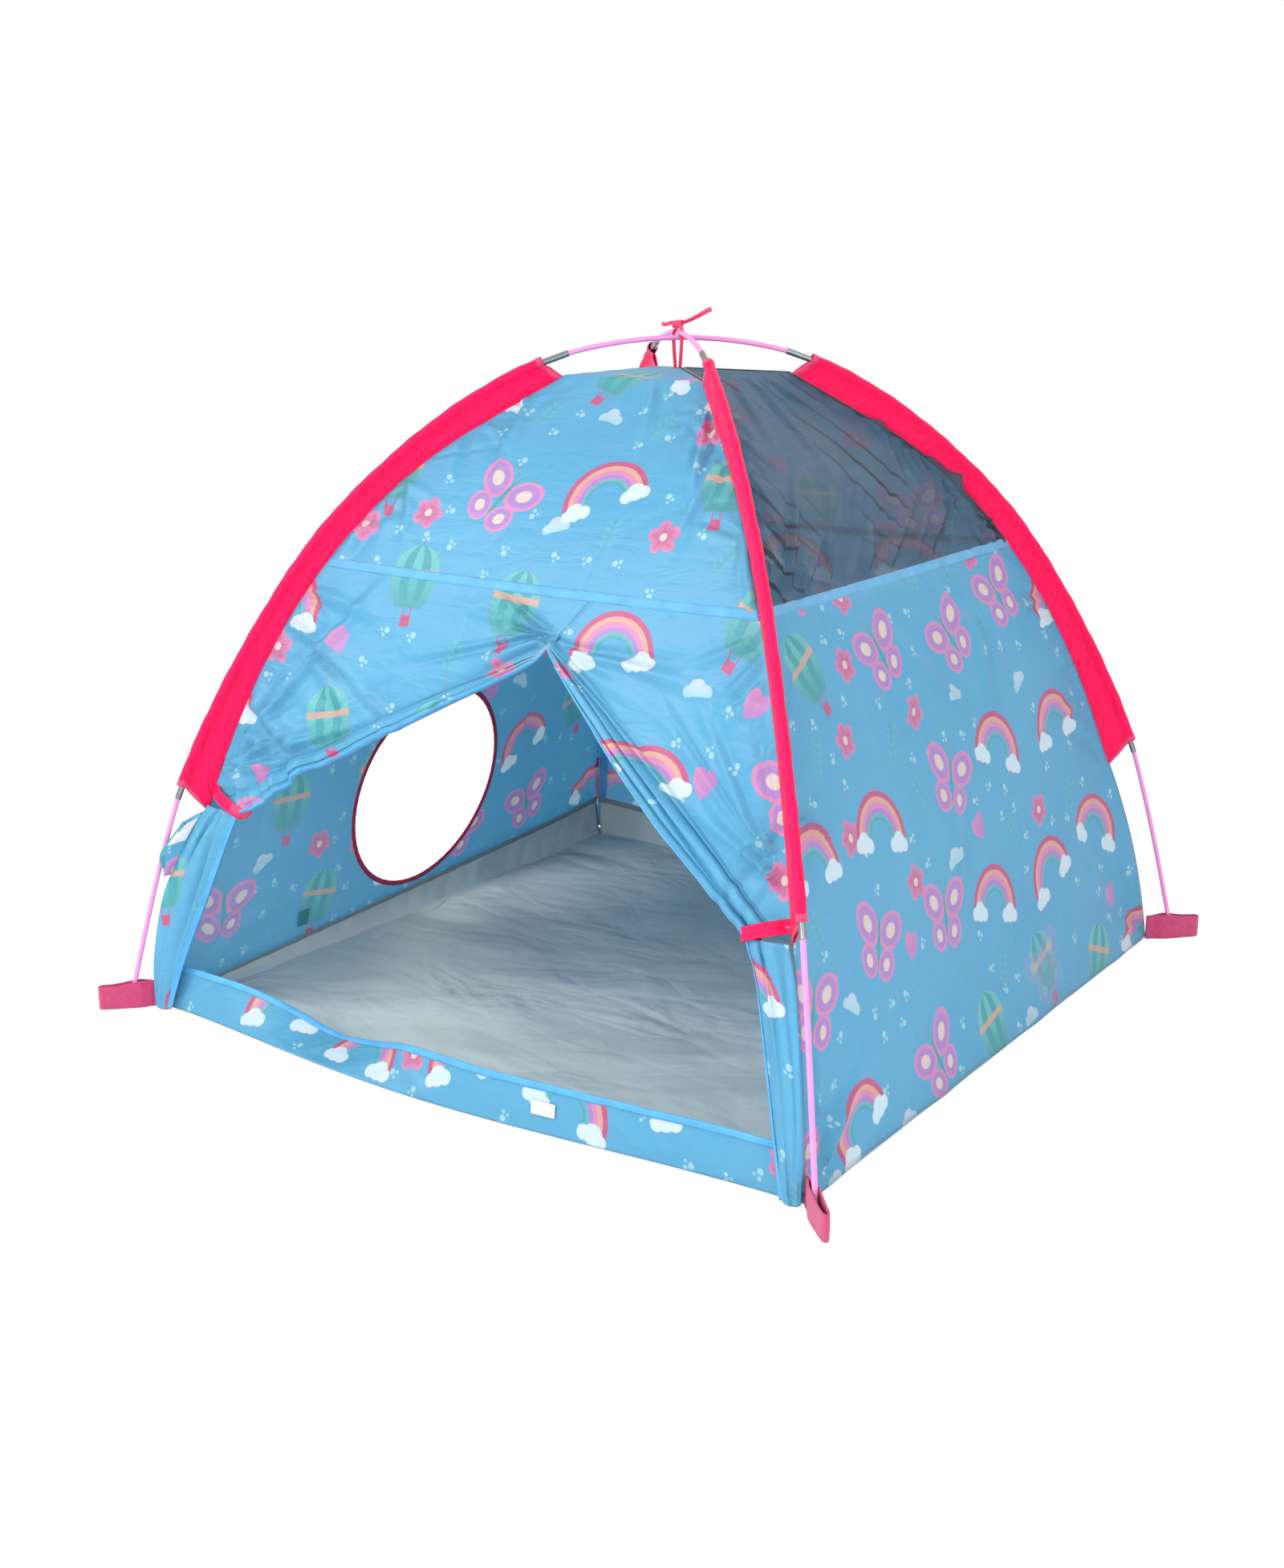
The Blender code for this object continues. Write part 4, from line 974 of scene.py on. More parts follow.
@dataclass(frozen=True)
class Webbing(Look):
    """Ribbed narrow webbing with a diamond grain."""

    light: Colour = (0.80, 0.075, 0.25)

    def dress(self, k: Sketch, cloth: Socket) -> None:
        """Set the material's sockets."""
        x, y, _ = k.split(cloth)
        ribs = ((x + y) * 1900.0).op("SINE") * ((x - y) * 1900.0).op("SINE")
        shade = k.noise(cloth, 120.0, 2.0)
        colour = k.blend(ribs * 0.35 + shade * 0.6, self.tone(0.62), self.light)
        normal = k.bump(ribs * 0.5 + shade * 0.3, 0.8, 0.0012)
        k.set(Base_Color=colour, Roughness=0.78, Normal=normal, Sheen_Weight=0.25)


@dataclass(frozen=True)
class PoleCoat(Look):
    """Orchid-pink coated fibreglass with the faint spiral of its winding."""

    light: Colour = (0.75, 0.31, 0.60)

    def dress(self, k: Sketch, cloth: Socket) -> None:
        """Set the material's sockets."""
        x, y, _ = k.split(cloth)
        spiral = (x * 900.0 + y * 250.0).op("SINE")
        mottle = k.noise(cloth, 260.0, 3.0)
        k.set(Base_Color=k.blend(mottle * 0.7 + spiral * 0.05, self.colour, self.light),
              Roughness=mottle * 0.2 + 0.28, Normal=k.bump(mottle + spiral * 0.3, 0.25, 0.0006), Coat_Weight=0.08)


@dataclass(frozen=True)
class TubeSteel(Look):
    """Drawn steel tube, brushed along its length, a little dull."""

    def dress(self, k: Sketch, cloth: Socket) -> None:
        """Set the material's sockets."""
        streaks = k.noise(k.stretched(cloth, (30.0, 900.0, 1.0)), 1.0, 3.0)
        k.set(Base_Color=k.blend(k.noise(cloth, 70.0, 3.0), self.tone(0.7), self.tone(1.35)),
              Roughness=streaks * 0.2 + 0.22, Normal=k.bump(streaks, 0.2, 0.0004), Metallic=1.0)


@dataclass(frozen=True)
class HookPile(Look):
    """White hook-and-loop pile."""

    def dress(self, k: Sketch, cloth: Socket) -> None:
        """Set the material's sockets."""
        loops = k.cells(cloth, 900.0)
        k.set(Base_Color=k.blend(loops, self.colour, self.tone(0.8)), Roughness=0.9,
              Normal=k.bump(loops, 0.8, 0.001), Sheen_Weight=0.4)


class Finish(Enum):
    """Every finish of the tent, with how it is made."""

    PRINT_OUT = PrintedCloth("print_outside")
    # Inside: a strong pale wash, partly the print's paler back and partly painted light for light through the cloth.
    PRINT_IN = PrintedCloth("print_inside", haze=0.42)
    SKY_TAPE = PlainCloth("sky_blue_tape", (0.075, 0.37, 0.70), 0.45)
    HOT_PINK = PlainCloth("hot_pink_cloth", (0.96, 0.002, 0.088), shine=0.16)
    PINK_LINING = PlainCloth("pink_lining", (0.90, 0.06, 0.19), through=0.2)
    RIBBON = PlainCloth("ribbon_cloth", (0.86, 0.03, 0.13), 0.5, weave=2200.0)
    BINDING = PlainCloth("crimson_binding", (0.46, 0.008, 0.070))
    TEAL_TAPE = PlainCloth("teal_edge", (0.03, 0.30, 0.34), 0.5)
    NETTING = MeshCloth("dark_netting", (0.050, 0.080, 0.120))
    FLOOR = FloorCloth("grey_floor_sheet", (0.455, 0.52, 0.515))
    SEAM_BLUE = PlainCloth("seam_blue", (0.085, 0.35, 0.60), 0.5)
    INK_TAPE = PlainCloth("ink_tape", (0.014, 0.016, 0.022))
    HEM_GREY = PlainCloth("grey_hem", (0.23, 0.27, 0.30))
    WEBBING = Webbing("rose_webbing", (0.68, 0.026, 0.165))
    POLE = PoleCoat("orchid_rod", (0.66, 0.20, 0.48))
    STEEL = TubeSteel("ferrule_steel", (0.25, 0.26, 0.272))
    HOOK_PILE = HookPile("white_hook_and_loop", (0.80, 0.80, 0.82))
    THREAD_BLUE = PlainCloth("blue_thread", (0.16, 0.46, 0.76), 0.5, crinkle=0.1)
    THREAD_PINK = PlainCloth("pink_thread", (0.92, 0.05, 0.18), 0.5, crinkle=0.1)
    THREAD_DARK = PlainCloth("crimson_thread", (0.34, 0.015, 0.06), 0.5, crinkle=0.1)


class Wardrobe:
    """The finished materials, each made once when it is first asked for."""

    def __init__(self) -> None:
        """Start with none made."""
        self._made: dict[Finish, bpy.types.Material] = {}

    def __getitem__(self, finish: Finish) -> bpy.types.Material:
        """The material of a finish."""
        if finish not in self._made:
            self._made[finish] = finish.value.make()
        return self._made[finish]


# Making pieces
def deselect() -> None:
    """Leave nothing selected."""
    bpy.ops.object.select_all(action="DESELECT")


def pick(made: Piece) -> None:
    """Select one piece alone."""
    deselect()
    made.select_set(True)
    bpy.context.view_layer.objects.active = made


def apply_all(made: Piece) -> None:
    """Apply every modifier of a piece."""
    pick(made)
    for modifier in list(made.modifiers):
        bpy.ops.object.modifier_apply(modifier=modifier.name)


def weld(made: Piece, fill: bool = False, turn_out: bool = True) -> Piece:
    """Join a piece's edges where they meet.

    Args:
        made: The piece.
        fill: Whether its open ends are filled.
        turn_out: Whether its faces are turned outwards.

    Returns:
        The same piece.
    """
    pick(made)
    bpy.ops.object.mode_set(mode="EDIT")
    bpy.ops.mesh.select_all(action="SELECT")
    bpy.ops.mesh.remove_doubles(threshold=WELD_REACH)
    if fill:
        bpy.ops.mesh.select_all(action="DESELECT")
        bpy.ops.mesh.select_non_manifold()
        bpy.ops.mesh.edge_face_add()
        bpy.ops.mesh.select_all(action="SELECT")
    if turn_out:
        bpy.ops.mesh.normals_make_consistent(inside=False)
    bpy.ops.object.mode_set(mode="OBJECT")
    return made


def flat_places(along: Array, across: Array) -> Array:
    """Places on a flat strip of cloth, in rows across it."""
    return np.stack(np.broadcast_arrays(along[None], across[:, None]), axis=-1)


def on_line(places: Array, length: Array, line: Array) -> Array:
    """Points, or directions, at lengths along a line."""
    return np.stack([np.interp(places, length, part) for part in line.T], axis=-1)


@dataclass
class Workshop:
    """Makes pieces, dresses them and hands them to the frame."""

    wardrobe: Wardrobe = field(default_factory=Wardrobe)
    cuts: dict[str, tuple[Pair, float]] = field(default_factory=dict)

    def sheet(self, name: str, points: Array, cloth: Array, finish: Finish, inside: Finish | None = None,
              thickness: float = CLOTH) -> Piece:
        """A sheet of cloth laid over a grid of points.

        Args:
            name: The piece's name.
            points: Rows by columns by 3, the outer face, with its right along the columns and up along the rows.
            cloth: Rows by columns by 2, the same places on the flat cloth, in metres.
            finish: The outer face's finish.
            inside: The inner face's finish, or None for the same.
            thickness: How thick the sheet is, inwards.

        Returns:
            The piece.
        """
        rows, columns = points.shape[:2]
        width, length = (float(size) for size in np.ptp(cloth.reshape(-1, 2), axis=0))
        cells = np.cross(np.diff(cloth, axis=1)[:-1], np.diff(cloth, axis=0)[:, :-1])
        self.cuts[name] = (width, length), min(float(np.abs(cells).sum()), width * length)
        deselect()
        bpy.ops.mesh.primitive_grid_add(x_subdivisions=columns - 1, y_subdivisions=rows - 1, size=1.0)
        made = bpy.context.active_object
        mesh = made.data
        made.name = mesh.name = name
        mesh.vertices.foreach_set("co", points.astype(np.float32).ravel())
        index = np.zeros(len(mesh.loops), np.int32)
        mesh.loops.foreach_get("vertex_index", index)
        mesh.uv_layers[0].data.foreach_set("uv", cloth.reshape(-1, 2)[index].astype(np.float32).ravel())
        mesh.materials.append(self.wardrobe[finish])
        mesh.materials.append(self.wardrobe[inside or finish])
        mesh.shade_smooth()
        if thickness:
            solid = made.modifiers.new("thickness", "SOLIDIFY")
            solid.thickness, solid.offset, solid.material_offset = thickness, -1.0, 1
            solid.use_even_offset, solid.use_quality_normals = False, True
        mesh.update()
        return made

    def tube(self, name: str, line: Array, radius: Many, finish: Finish, sides: int = 16,
             side: Array | None = None, bore: float = 0.0) -> Piece:
        """A round rod or a hollow tube along a line of points.

        Args:
            name: The piece's name.
            line: Points by 3.
            radius: Its radius, one number or one for each point.
            finish: The finish.
            sides: Faces round it.
            side: A direction square to the whole line, or one for each point.
            bore: Radius of the hole, 0 for a solid rod.

        Returns:
            The piece.
        """
        way = unit(np.gradient(line, axis=0))
        side = unit(side if side is not None else np.cross(UP, way[len(way) // 2]))
        first = unit(side - way * (way * side).sum(1)[:, None])
        second = np.cross(way, first)
        turn = np.linspace(0, 2 * math.pi, sides + 1)
        order = np.arange(len(line))
        radii = np.broadcast_to(np.asarray(radius, float), order.shape)
        if bore:
            order = np.concatenate([order, order[::-1], [0]])
            radii = np.concatenate([radii, np.full(len(line), bore), radii[:1]])
        around = first[order, None] * np.cos(turn)[:, None] + second[order, None] * np.sin(turn)[:, None]
        points = line[order, None] + radii[:, None, None] * around
        length = np.broadcast_to(run_length(line)[order, None], points.shape[:2])
        made = self.sheet(name, points, np.stack([length, turn * radii[:, None]], axis=-1), finish, thickness=0.0)
        weld(made, fill=not bore).data.set_sharp_from_angle(angle=math.radians(50))
        return made

    def stitches(self, name: str, line: Array, out: Array, finish: Finish, pitch: float = 0.0042,
                 long: float = 0.0028, wide: float = 0.0007, high: float = 0.0004) -> Piece:
        """A running stitch along a line: the thread comes up, lies on the cloth and goes under it again.

        Args:
            name: The piece's name.
            line: Points by 3 along the seam.
            out: The cloth's outward direction at each point, or one for all.
            finish: The thread's finish.
            pitch: Spacing of the stitches.
            long: Length of a stitch.
            wide: Width of the thread.
            high: How far it stands on the cloth.

        Returns:
            The piece.
        """
        length = run_length(line)
        marks = np.arange(pitch / 2, length[-1] - long / 2, pitch)
        places = (marks[:, None] + np.array((-0.5, -0.3, 0.3, 0.5)) * long).ravel()
        over = np.tile((0.0, 1.0, 1.0, 0.0), len(marks))
        normal = unit(on_line(places, length, np.broadcast_to(out, line.shape)))
        middle = on_line(places, length, line) + normal * mix(-THREAD_UNDER, high / 2, over)[:, None]
        return self.tube(name, middle, mix(THREAD_HIDDEN, wide / 2, over), finish, sides=5, side=normal)

    def hand_over(self, made: Piece, slot: str, *nodes: str, body: str = "root") -> Piece:
        """Let a finished piece ride on a body, hide the solids that it stands for and report it.

        Args:
            made: The piece.
            slot: The slot of its finish.
            nodes: The solids that it stands for.
            body: The body that it rides on.

        Returns:
            The same piece.
        """
        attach(made, body)
        return self.note(made, slot, nodes)

    def bend(self, made: Piece, name: str, start: Array, end: Array, *nodes: str) -> None:
        """Apply a piece of cloth's modifiers, bake its place into its mesh, hide the solids that it stands for and
        report it.

        Args:
            made: The piece.
            name: The flap's side, left or right; not used.
            start: Not used.
            end: Not used.
            nodes: The solids that the piece stands for.
        """
        apply_all(made)
        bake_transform(made)
        self.note(made, "printed_cloth", nodes)

    @staticmethod
    def note(made: Piece, slot: str, nodes: tuple[str, ...]) -> Piece:
        """Hide the CAD solids that a piece stands for, and report it.

        Args:
            made: The piece.
            slot: Its slot, which the report names when there are no nodes.
            nodes: The CAD nodes that it stands for.

        Returns:
            The piece.
        """
        if nodes:
            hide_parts(*nodes)
        LOG.info("made %s (%d faces) for %s", made.name, len(made.data.polygons), ", ".join(nodes) or slot)
        return made

    def declare(self, name: str, held: str, rests_on: tuple[str, ...], sewn: tuple[str, ...] = ()) -> None:
        """Report how big a cloth was cut and how it is held.

        Args:
            name: The cloth's name.
            held: One of the frame's ways to hold a cloth.
            rests_on: The pieces that it hangs from or lies on; not used.
            sewn: How the names of the pieces on it start; not used.
        """
        flat, area = self.cuts[name]
        bpy.data.objects[name]
        LOG.info("%s: cut %.3f by %.3f m, %.4f m2, %s", name, *flat, area, held)


# The cloth body
# Where each panel is cut from the printed cloth
LOWER_CUTS = {Side.BACK: (1.1, 0.2), Side.RIGHT: (3.4, 0.05), Side.LEFT: (2.3, 0.4)}
UPPER_CUTS = {Side.FRONT: DOOR_CUT, Side.LEFT: (5.2, 0.3), Side.BACK: (6.1, 0.9), Side.RIGHT: (0.0, 0.0)}
# The floor's rim at the two ends of each wall
RIM_HEIGHTS = {Side.FRONT: (0.0, 0.0), Side.LEFT: (0.075, 0.015), Side.BACK: (0.035, 0.075), Side.RIGHT: (0.012, 0.035)}
INNER_TAPE_INSIDE = 0.0080
INNER_PATCH_INSIDE = 0.0066
WINDOW_TAPE = 0.012
WINDOW_TAPE_PROUD = 0.0011


@dataclass
class Canopy:
    """The printed walls, the mesh window, their seams and the round port."""

    shop: Workshop
    seam: CornerSeam
    columns: int = 112
    lower_rows: int = 74
    upper_rows: int = 84
    foot: float = 0.003
    band_width: float = 0.014
    band_proud: float = 0.0008

    def __post_init__(self) -> None:
        """Lay out the four walls with the floor's rim behind three of them."""
        self.walls = {side: Wall(side, self.seam, *RIM_HEIGHTS[side]) for side in Side}

    def lay(self, name: str, wall: Wall, across: Array, height: Array, folds: Folds, keep: Array,
            shift: Pair, finish: Finish, inside: Finish | None) -> Piece:
        """Lay one wall's sheet with its folds.

        Args:
            name: The piece's name.
            wall: The wall.
            across: Rows by columns, from -1 to 1.
            height: Rows by columns, in metres.
            folds: The sheet's folds.
            keep: Rows by columns, 0 where the cloth is sewn down and 1 where it is free.
            shift: Where this cut lies on the printed cloth.
            finish: The outer finish.
            inside: The inner finish.

        Returns:
            The piece.
        """
        cloth = wall.cloth(across, height)
        s, t = cloth[..., 0], cloth[..., 1]
        waves = np.sin(s * 9.0 + t * 5.0 + shift[0] * 40) + np.sin(t * 13.0 - s * 6.0 + shift[1] * 60)
        lift = folds.lift(s, t) * keep + SLOW_WAVES * waves * keep
        return self.shop.sheet(name, wall.over(across, height, lift), cloth + np.array(shift), finish, inside)

    def edge_keep(self, wall: Wall, across: Array, height: Array, low: Many,
                  high: float, reach: float = 0.03) -> Array:
        """0 on the sewn edges of a panel, 1 a little way in.

        Args:
            wall: The wall.
            across: Places from -1 to 1.
            height: Their heights.
            low: Height of the lower edge.
            high: Height of the upper edge.
            reach: How far in the cloth is free.

        Returns:
            The share at each place.
        """
        length = self.seam.developed
        side = (1 - np.abs(across)) * wall.half_width(height) / (reach * 0.6)
        rise = np.minimum(length(height) - length(low), length(high) - length(height)) / reach
        return smooth_step(side) * smooth_step(rise)

    def lower_folds(self, wall: Wall, seed: int) -> Folds:
        """Folds of a wall's lower panel: short drags from the sleeves, a few long soft ones.

        Args:
            wall: The wall.
            seed: Added to the tent's own seed.

        Returns:
            The folds.
        """
        folds = Folds(np.random.default_rng(SEED + seed))
        for hand in (-1, 1):
            folds.along(wall.seam_line(hand, 0.34, 0.70), inward(hand), 35.0, 16, (0.06, 0.24), 0.011, 0.0046)
            ways = (95, 170) if hand > 0 else (10, 85)
            folds.fan((hand * 0.60, 0.02), ways, 8, (0.12, 0.36), 0.014, 0.0060)
        for _ in range(5):
            x, y = folds.rng.uniform(-0.4, 0.4), folds.rng.uniform(0.15, 0.6)
            long, turn = folds.rng.uniform(0.15, 0.35), folds.rng.uniform(0.3, 2.6)
            folds.folds.append(Fold((x, y), (x + long * math.cos(turn), y + long * math.sin(turn)), 0.02, 0.0044))
        return folds

    def lower_panel(self, side: Side) -> None:
        """A plain lower panel from the floor's rim to the panel seam.

        Args:
            side: The panel's wall.
        """
        wall, name = self.walls[side], f"{side.name.lower()}_lower_panel"
        across, rise = np.meshgrid(np.linspace(-1, 1, self.columns + 1), np.linspace(0, 1, self.lower_rows + 1))
        low = self.foot + 0.0022 * np.sin(across * 17 + 1.0) * np.sin(across * 5.3)
        height = mix(low, SEAM_HEIGHT, rise)
        keep = self.edge_keep(wall, across, height, low, SEAM_HEIGHT)
        folds = self.lower_folds(wall, seed=list(Side).index(side))
        made = self.lay(f"{name}_cloth", wall, across, height, folds, keep, LOWER_CUTS[side], Finish.PRINT_OUT,
                        Finish.PRINT_IN)
        self.shop.hand_over(made, "printed_cloth", name)

    def port_panel(self) -> None:
        """The left wall's lower panel, laid in rays from the port's edge to the panel's edges."""
        wall, high = self.walls[Side.LEFT], SEAM_HEIGHT
        hole = PORT_RADIUS - 0.004
        turns = np.linspace(math.pi, -math.pi, 201)
        for hand in (-1, 1):
            for height in (self.foot, high):
                corner = math.atan2(height - PORT_HEIGHT, hand * float(wall.half_width(height)))
                turns[np.argmin(np.abs(turns - corner))] = corner
        reach = np.linspace(0, 1, 56)[:, None] ** 1.15
        lean = float(wall.lean(PORT_HEIGHT))
        inner = np.stack([hole * np.cos(turns), PORT_HEIGHT + hole * np.sin(turns) * math.cos(lean)], axis=-1)
        outer = []
        for turn in turns:
            far_out = np.linspace(hole, 1.3, 2400)
            x, z = far_out * math.cos(turn), PORT_HEIGHT + far_out * math.sin(turn)
            half = wall.half_width(np.clip(z, 0, high))
            last = np.argmin((np.abs(x) <= half) & (z <= high) & (z >= self.foot)) - 1
            outer.append((x[last], z[last]))
        side, height = np.moveaxis(mix(inner, np.array(outer), reach[..., None]), -1, 0)
        across = np.clip(side / wall.half_width(height), -1, 1)
        keep = self.edge_keep(wall, across, height, self.foot, high) * smooth_step(reach / 0.25)
        folds = self.lower_folds(wall, seed=9)
        for hand, ways in ((-1, (100, 160)), (1, (20, 80))):
            folds.fan((hand * 0.17, 0.40), ways, 4, (0.1, 0.25), 0.012, 0.003)
        made = self.lay("left_lower_panel_cloth", wall, across, height, folds, keep, LOWER_CUTS[Side.LEFT],
                        Finish.PRINT_OUT, Finish.PRINT_IN)
        self.shop.hand_over(weld(made, turn_out=False), "printed_cloth", "left_lower_panel")

    def port_ring(self, radius: float, proud: float) -> tuple[Array, Array]:
        """Points round the port on the wall, and the wall's outward direction there.

        Args:
            radius: The ring's radius.
            proud: How far it stands out of the wall.

        Returns:
            The points and the directions.
        """
        wall, turn = self.walls[Side.LEFT], np.linspace(0, 2 * math.pi, 161)
        height = PORT_HEIGHT + radius * np.sin(turn) * math.cos(float(wall.lean(PORT_HEIGHT)))
        return wall.over(wall.share(radius * np.cos(turn), height), height, proud), wall.normal(height)

    def port_binding(self) -> None:
        """The folded crimson binding round the port, and its stitching."""
        centre, out = self.port_ring(PORT_RADIUS - 0.0045, -0.0003)
        across = unit(centre - centre[:-1].mean(axis=0))
        pucker = np.sin(np.linspace(0, 2 * math.pi * 61, len(centre)))[:, None] * 0.0003
        turns = np.linspace(0, 2 * math.pi, 15)
        rings = np.array([centre + across * (0.0049 * math.cos(turn) + pucker) + out * (0.0019 * math.sin(turn))
                          for turn in turns])
        cloth = flat_places(np.linspace(0, 1.25, len(centre)), turns * 0.0049)
        made = self.shop.sheet("port_binding_tape", rings, cloth, Finish.BINDING, thickness=0.0)
        self.shop.hand_over(weld(made), "binding", "port_binding")
        for label, hand in (("outer", 1), ("inner", -1)):
            line, out = self.port_ring(PORT_RADIUS - 0.0015, 0.0014 * hand - 0.0003)
            row = self.shop.stitches(f"port_stitches_{label}", line, out * hand, Finish.THREAD_DARK)
            self.shop.hand_over(row, "binding")

    def upper_panel(self, side: Side) -> None:
        """An upper panel from the panel seam to the apex; the right one is the mesh window.

        Args:
            side: The panel's wall.
        """
        wall, mesh = self.walls[side], side is Side.RIGHT
        heights = self.seam.along(SEAM_HEIGHT + SEAT_GAP, APEX_STOP * math.sqrt(2), self.upper_rows + 1)
        across, height = np.meshgrid(np.linspace(-1, 1, self.columns + 1), heights)
        top = float(heights[-1])
        keep = self.edge_keep(wall, across, height, SEAM_HEIGHT, top, 0.026) * smooth_step((top - height) / 0.045)
        folds = Folds(np.random.default_rng(SEED + 40 + list(Side).index(side)))
        for hand in (-1, 1):
            line = wall.seam_line(hand, 0.75, 0.985)
            folds.along(line, -90.0 + hand * 10.0, 28.0, 26 if mesh else 16, (0.08, 0.30), 0.009, 0.0052)
            folds.along(line, inward(hand), 30.0, 12, (0.05, 0.16), 0.008, 0.0040)
        folds.fan((0.0, float(self.seam.developed(top))), (-150, -30), 13, (0.12, 0.42), 0.012, 0.0056)
        name, slot = f"{side.name.lower()}_upper_panel", "printed_cloth"
        finish, inside = Finish.PRINT_OUT, Finish.PRINT_IN
        if mesh:
            name, slot, finish, inside = "mesh_window", "mesh_cloth", Finish.NETTING, None
            line = wall.cloth(np.linspace(-0.9, 0.5, 20), np.full(20, SEAM_HEIGHT + 0.01))
            folds.along(line, 38.0, 14.0, 22, (0.14, 0.4), 0.010, 0.0070)
        made = self.lay(f"{name}_cloth", wall, across, height, folds, keep, UPPER_CUTS[side], finish, inside)
        if mesh:
            self.edge_tape(f"{name}_tape_front", wall, -1, heights)
            self.edge_tape(f"{name}_tape_back", wall, 1, heights)
        self.shop.hand_over(made, slot, name)

    def edge_tape(self, name: str, wall: Wall, hand: int, heights: Array) -> None:
        """A dark tape along one edge of the mesh window.

        Args:
            name: The piece's name.
            wall: The wall that it lies on.
            hand: -1 for the wall's left edge, 1 for its right.
            heights: Places along it.
        """
        half = np.maximum(wall.half_width(heights), 0.016)[:, None]
        across = np.sort(hand * (1 - np.linspace(0.001, WINDOW_TAPE, 5) / half), axis=1)
        height = np.broadcast_to(heights[:, None], across.shape)
        self.tape(name, wall, across, height, WINDOW_TAPE_PROUD, Finish.INK_TAPE, CLOTH, "mesh_cloth")

    def tape(self, name: str, wall: Wall, across: Array, height: Array, away: Many,
             finish: Finish, thickness: float, slot: str = "printed_cloth") -> None:
        """A tape or a patch sewn on a wall.

        Args:
            name: The piece's name.
            wall: The wall.
            across: Rows by columns, from -1 to 1.
            height: Their heights.
            away: How far it stands out of the wall, below 0 inside the tent.
            finish: Its finish.
            thickness: Its thickness.
            slot: The slot of its finish.
        """
        made = self.shop.sheet(name, wall.over(across, height, away), wall.cloth(across, height), finish,
                               thickness=thickness)
        self.shop.hand_over(made, slot)

    def inner_tape(self) -> None:
        """The tape up the back left corner inside the tent, its pink tab and the patch inside the left wall."""
        wall = self.walls[Side.BACK]
        height, share = np.meshgrid(np.linspace(0.012, SEAM_HEIGHT, 60), np.linspace(0.030, 0.012, 5), indexing="ij")
        self.tape("corner_tape", wall, 1 - share / wall.half_width(height), height, -INNER_TAPE_INSIDE, Finish.SKY_TAPE,
                  0.0008)
        wall = self.walls[Side.LEFT]
        for name, at, low, wide, high, finish in (("corner_tab", -0.572, 0.145, 0.010, 0.020, Finish.PINK_LINING),
                                                  ("left_wall_patch", 0.287, 0.052, 0.024, 0.030, Finish.TEAL_TAPE)):
            side, rise = np.meshgrid(np.linspace(at, at + wide, 8), np.linspace(low, low + high, 8))
            made = self.shop.sheet(name, wall.over(wall.share(side, rise), rise, -INNER_PATCH_INSIDE),
                                   np.stack([side, rise], axis=-1), finish, thickness=0.0010)
            self.shop.hand_over(made, "printed_cloth")

    def slit_seam(self) -> None:
        """The short stitched seam from the slit's top up to the panel seam."""
        wall = self.walls[Side.FRONT]
        side, rise = np.linspace(SLIT_TOP[0] + 0.002, 0.1180, 40), np.linspace(SLIT_TOP[1] + 0.004, SEAM_HEIGHT, 40)
        line = wall.at_side(side, rise)
        for i, shift in enumerate((-0.0022, 0.0022)):
            self.wall_stitches(f"slit_seam_stitches_{i + 1}", wall, line + np.array((shift, 0, 0)), rise, 0.0006)

    def wall_stitches(self, name: str, wall: Wall, line: Array, height: Array, away: float) -> None:
        """A row of blue stitches on a wall.

        Args:
            name: The piece's name.
            wall: The wall.
            line: Points on the wall.
            height: Their heights.
            away: How far the cloth stands out of the wall.
        """
        out = wall.normal(height)
        self.shop.hand_over(self.shop.stitches(name, line + out * away, out, Finish.THREAD_BLUE), "printed_cloth")

    def band(self, side: Side) -> None:
        """The folded seam along a whole wall, with two rows of stitches.

        Args:
            side: The wall.
        """
        wall, name, low = self.walls[side], f"{side.name.lower()}_seam_band", SEAM_HEIGHT - self.band_width / 2
        across, share = np.meshgrid(np.linspace(-0.995, 0.995, 121), np.linspace(0, 1, 7))
        crown = self.band_proud * (1.2 - (share * 2 - 1) ** 4)
        ripple = 0.0004 * np.sin(across * 90.0) * np.sin(share * math.pi)
        self.tape(name, wall, across, low + self.band_width * share, crown + ripple, Finish.SEAM_BLUE, THIN_TAPE)
        for i, place in enumerate((0.18, 0.82)):
            height = np.full(121, low + self.band_width * place)
            line = wall.at(across[0], height)
            self.wall_stitches(f"{name}_stitches_{i + 1}", wall, line, height, self.band_proud * 1.1)

    def build(self) -> None:
        """Make every wall."""
        self.lower_panel(Side.BACK)
        self.lower_panel(Side.RIGHT)
        self.port_panel()
        self.port_binding()
        for side in UPPER_CUTS:
            self.upper_panel(side)
        for side in Side:
            self.band(side)
        self.inner_tape()
        self.slit_seam()


# The door
PAST_TIE = 1.12
HEM_COLUMNS = 9
HEM_PROUD = 0.0007


def grid_normals(points: Array) -> Array:
    """The outward direction at each place of a grid that runs right along its columns and up along its rows."""
    return unit(np.cross(np.gradient(points, axis=1), np.gradient(points, axis=0)))


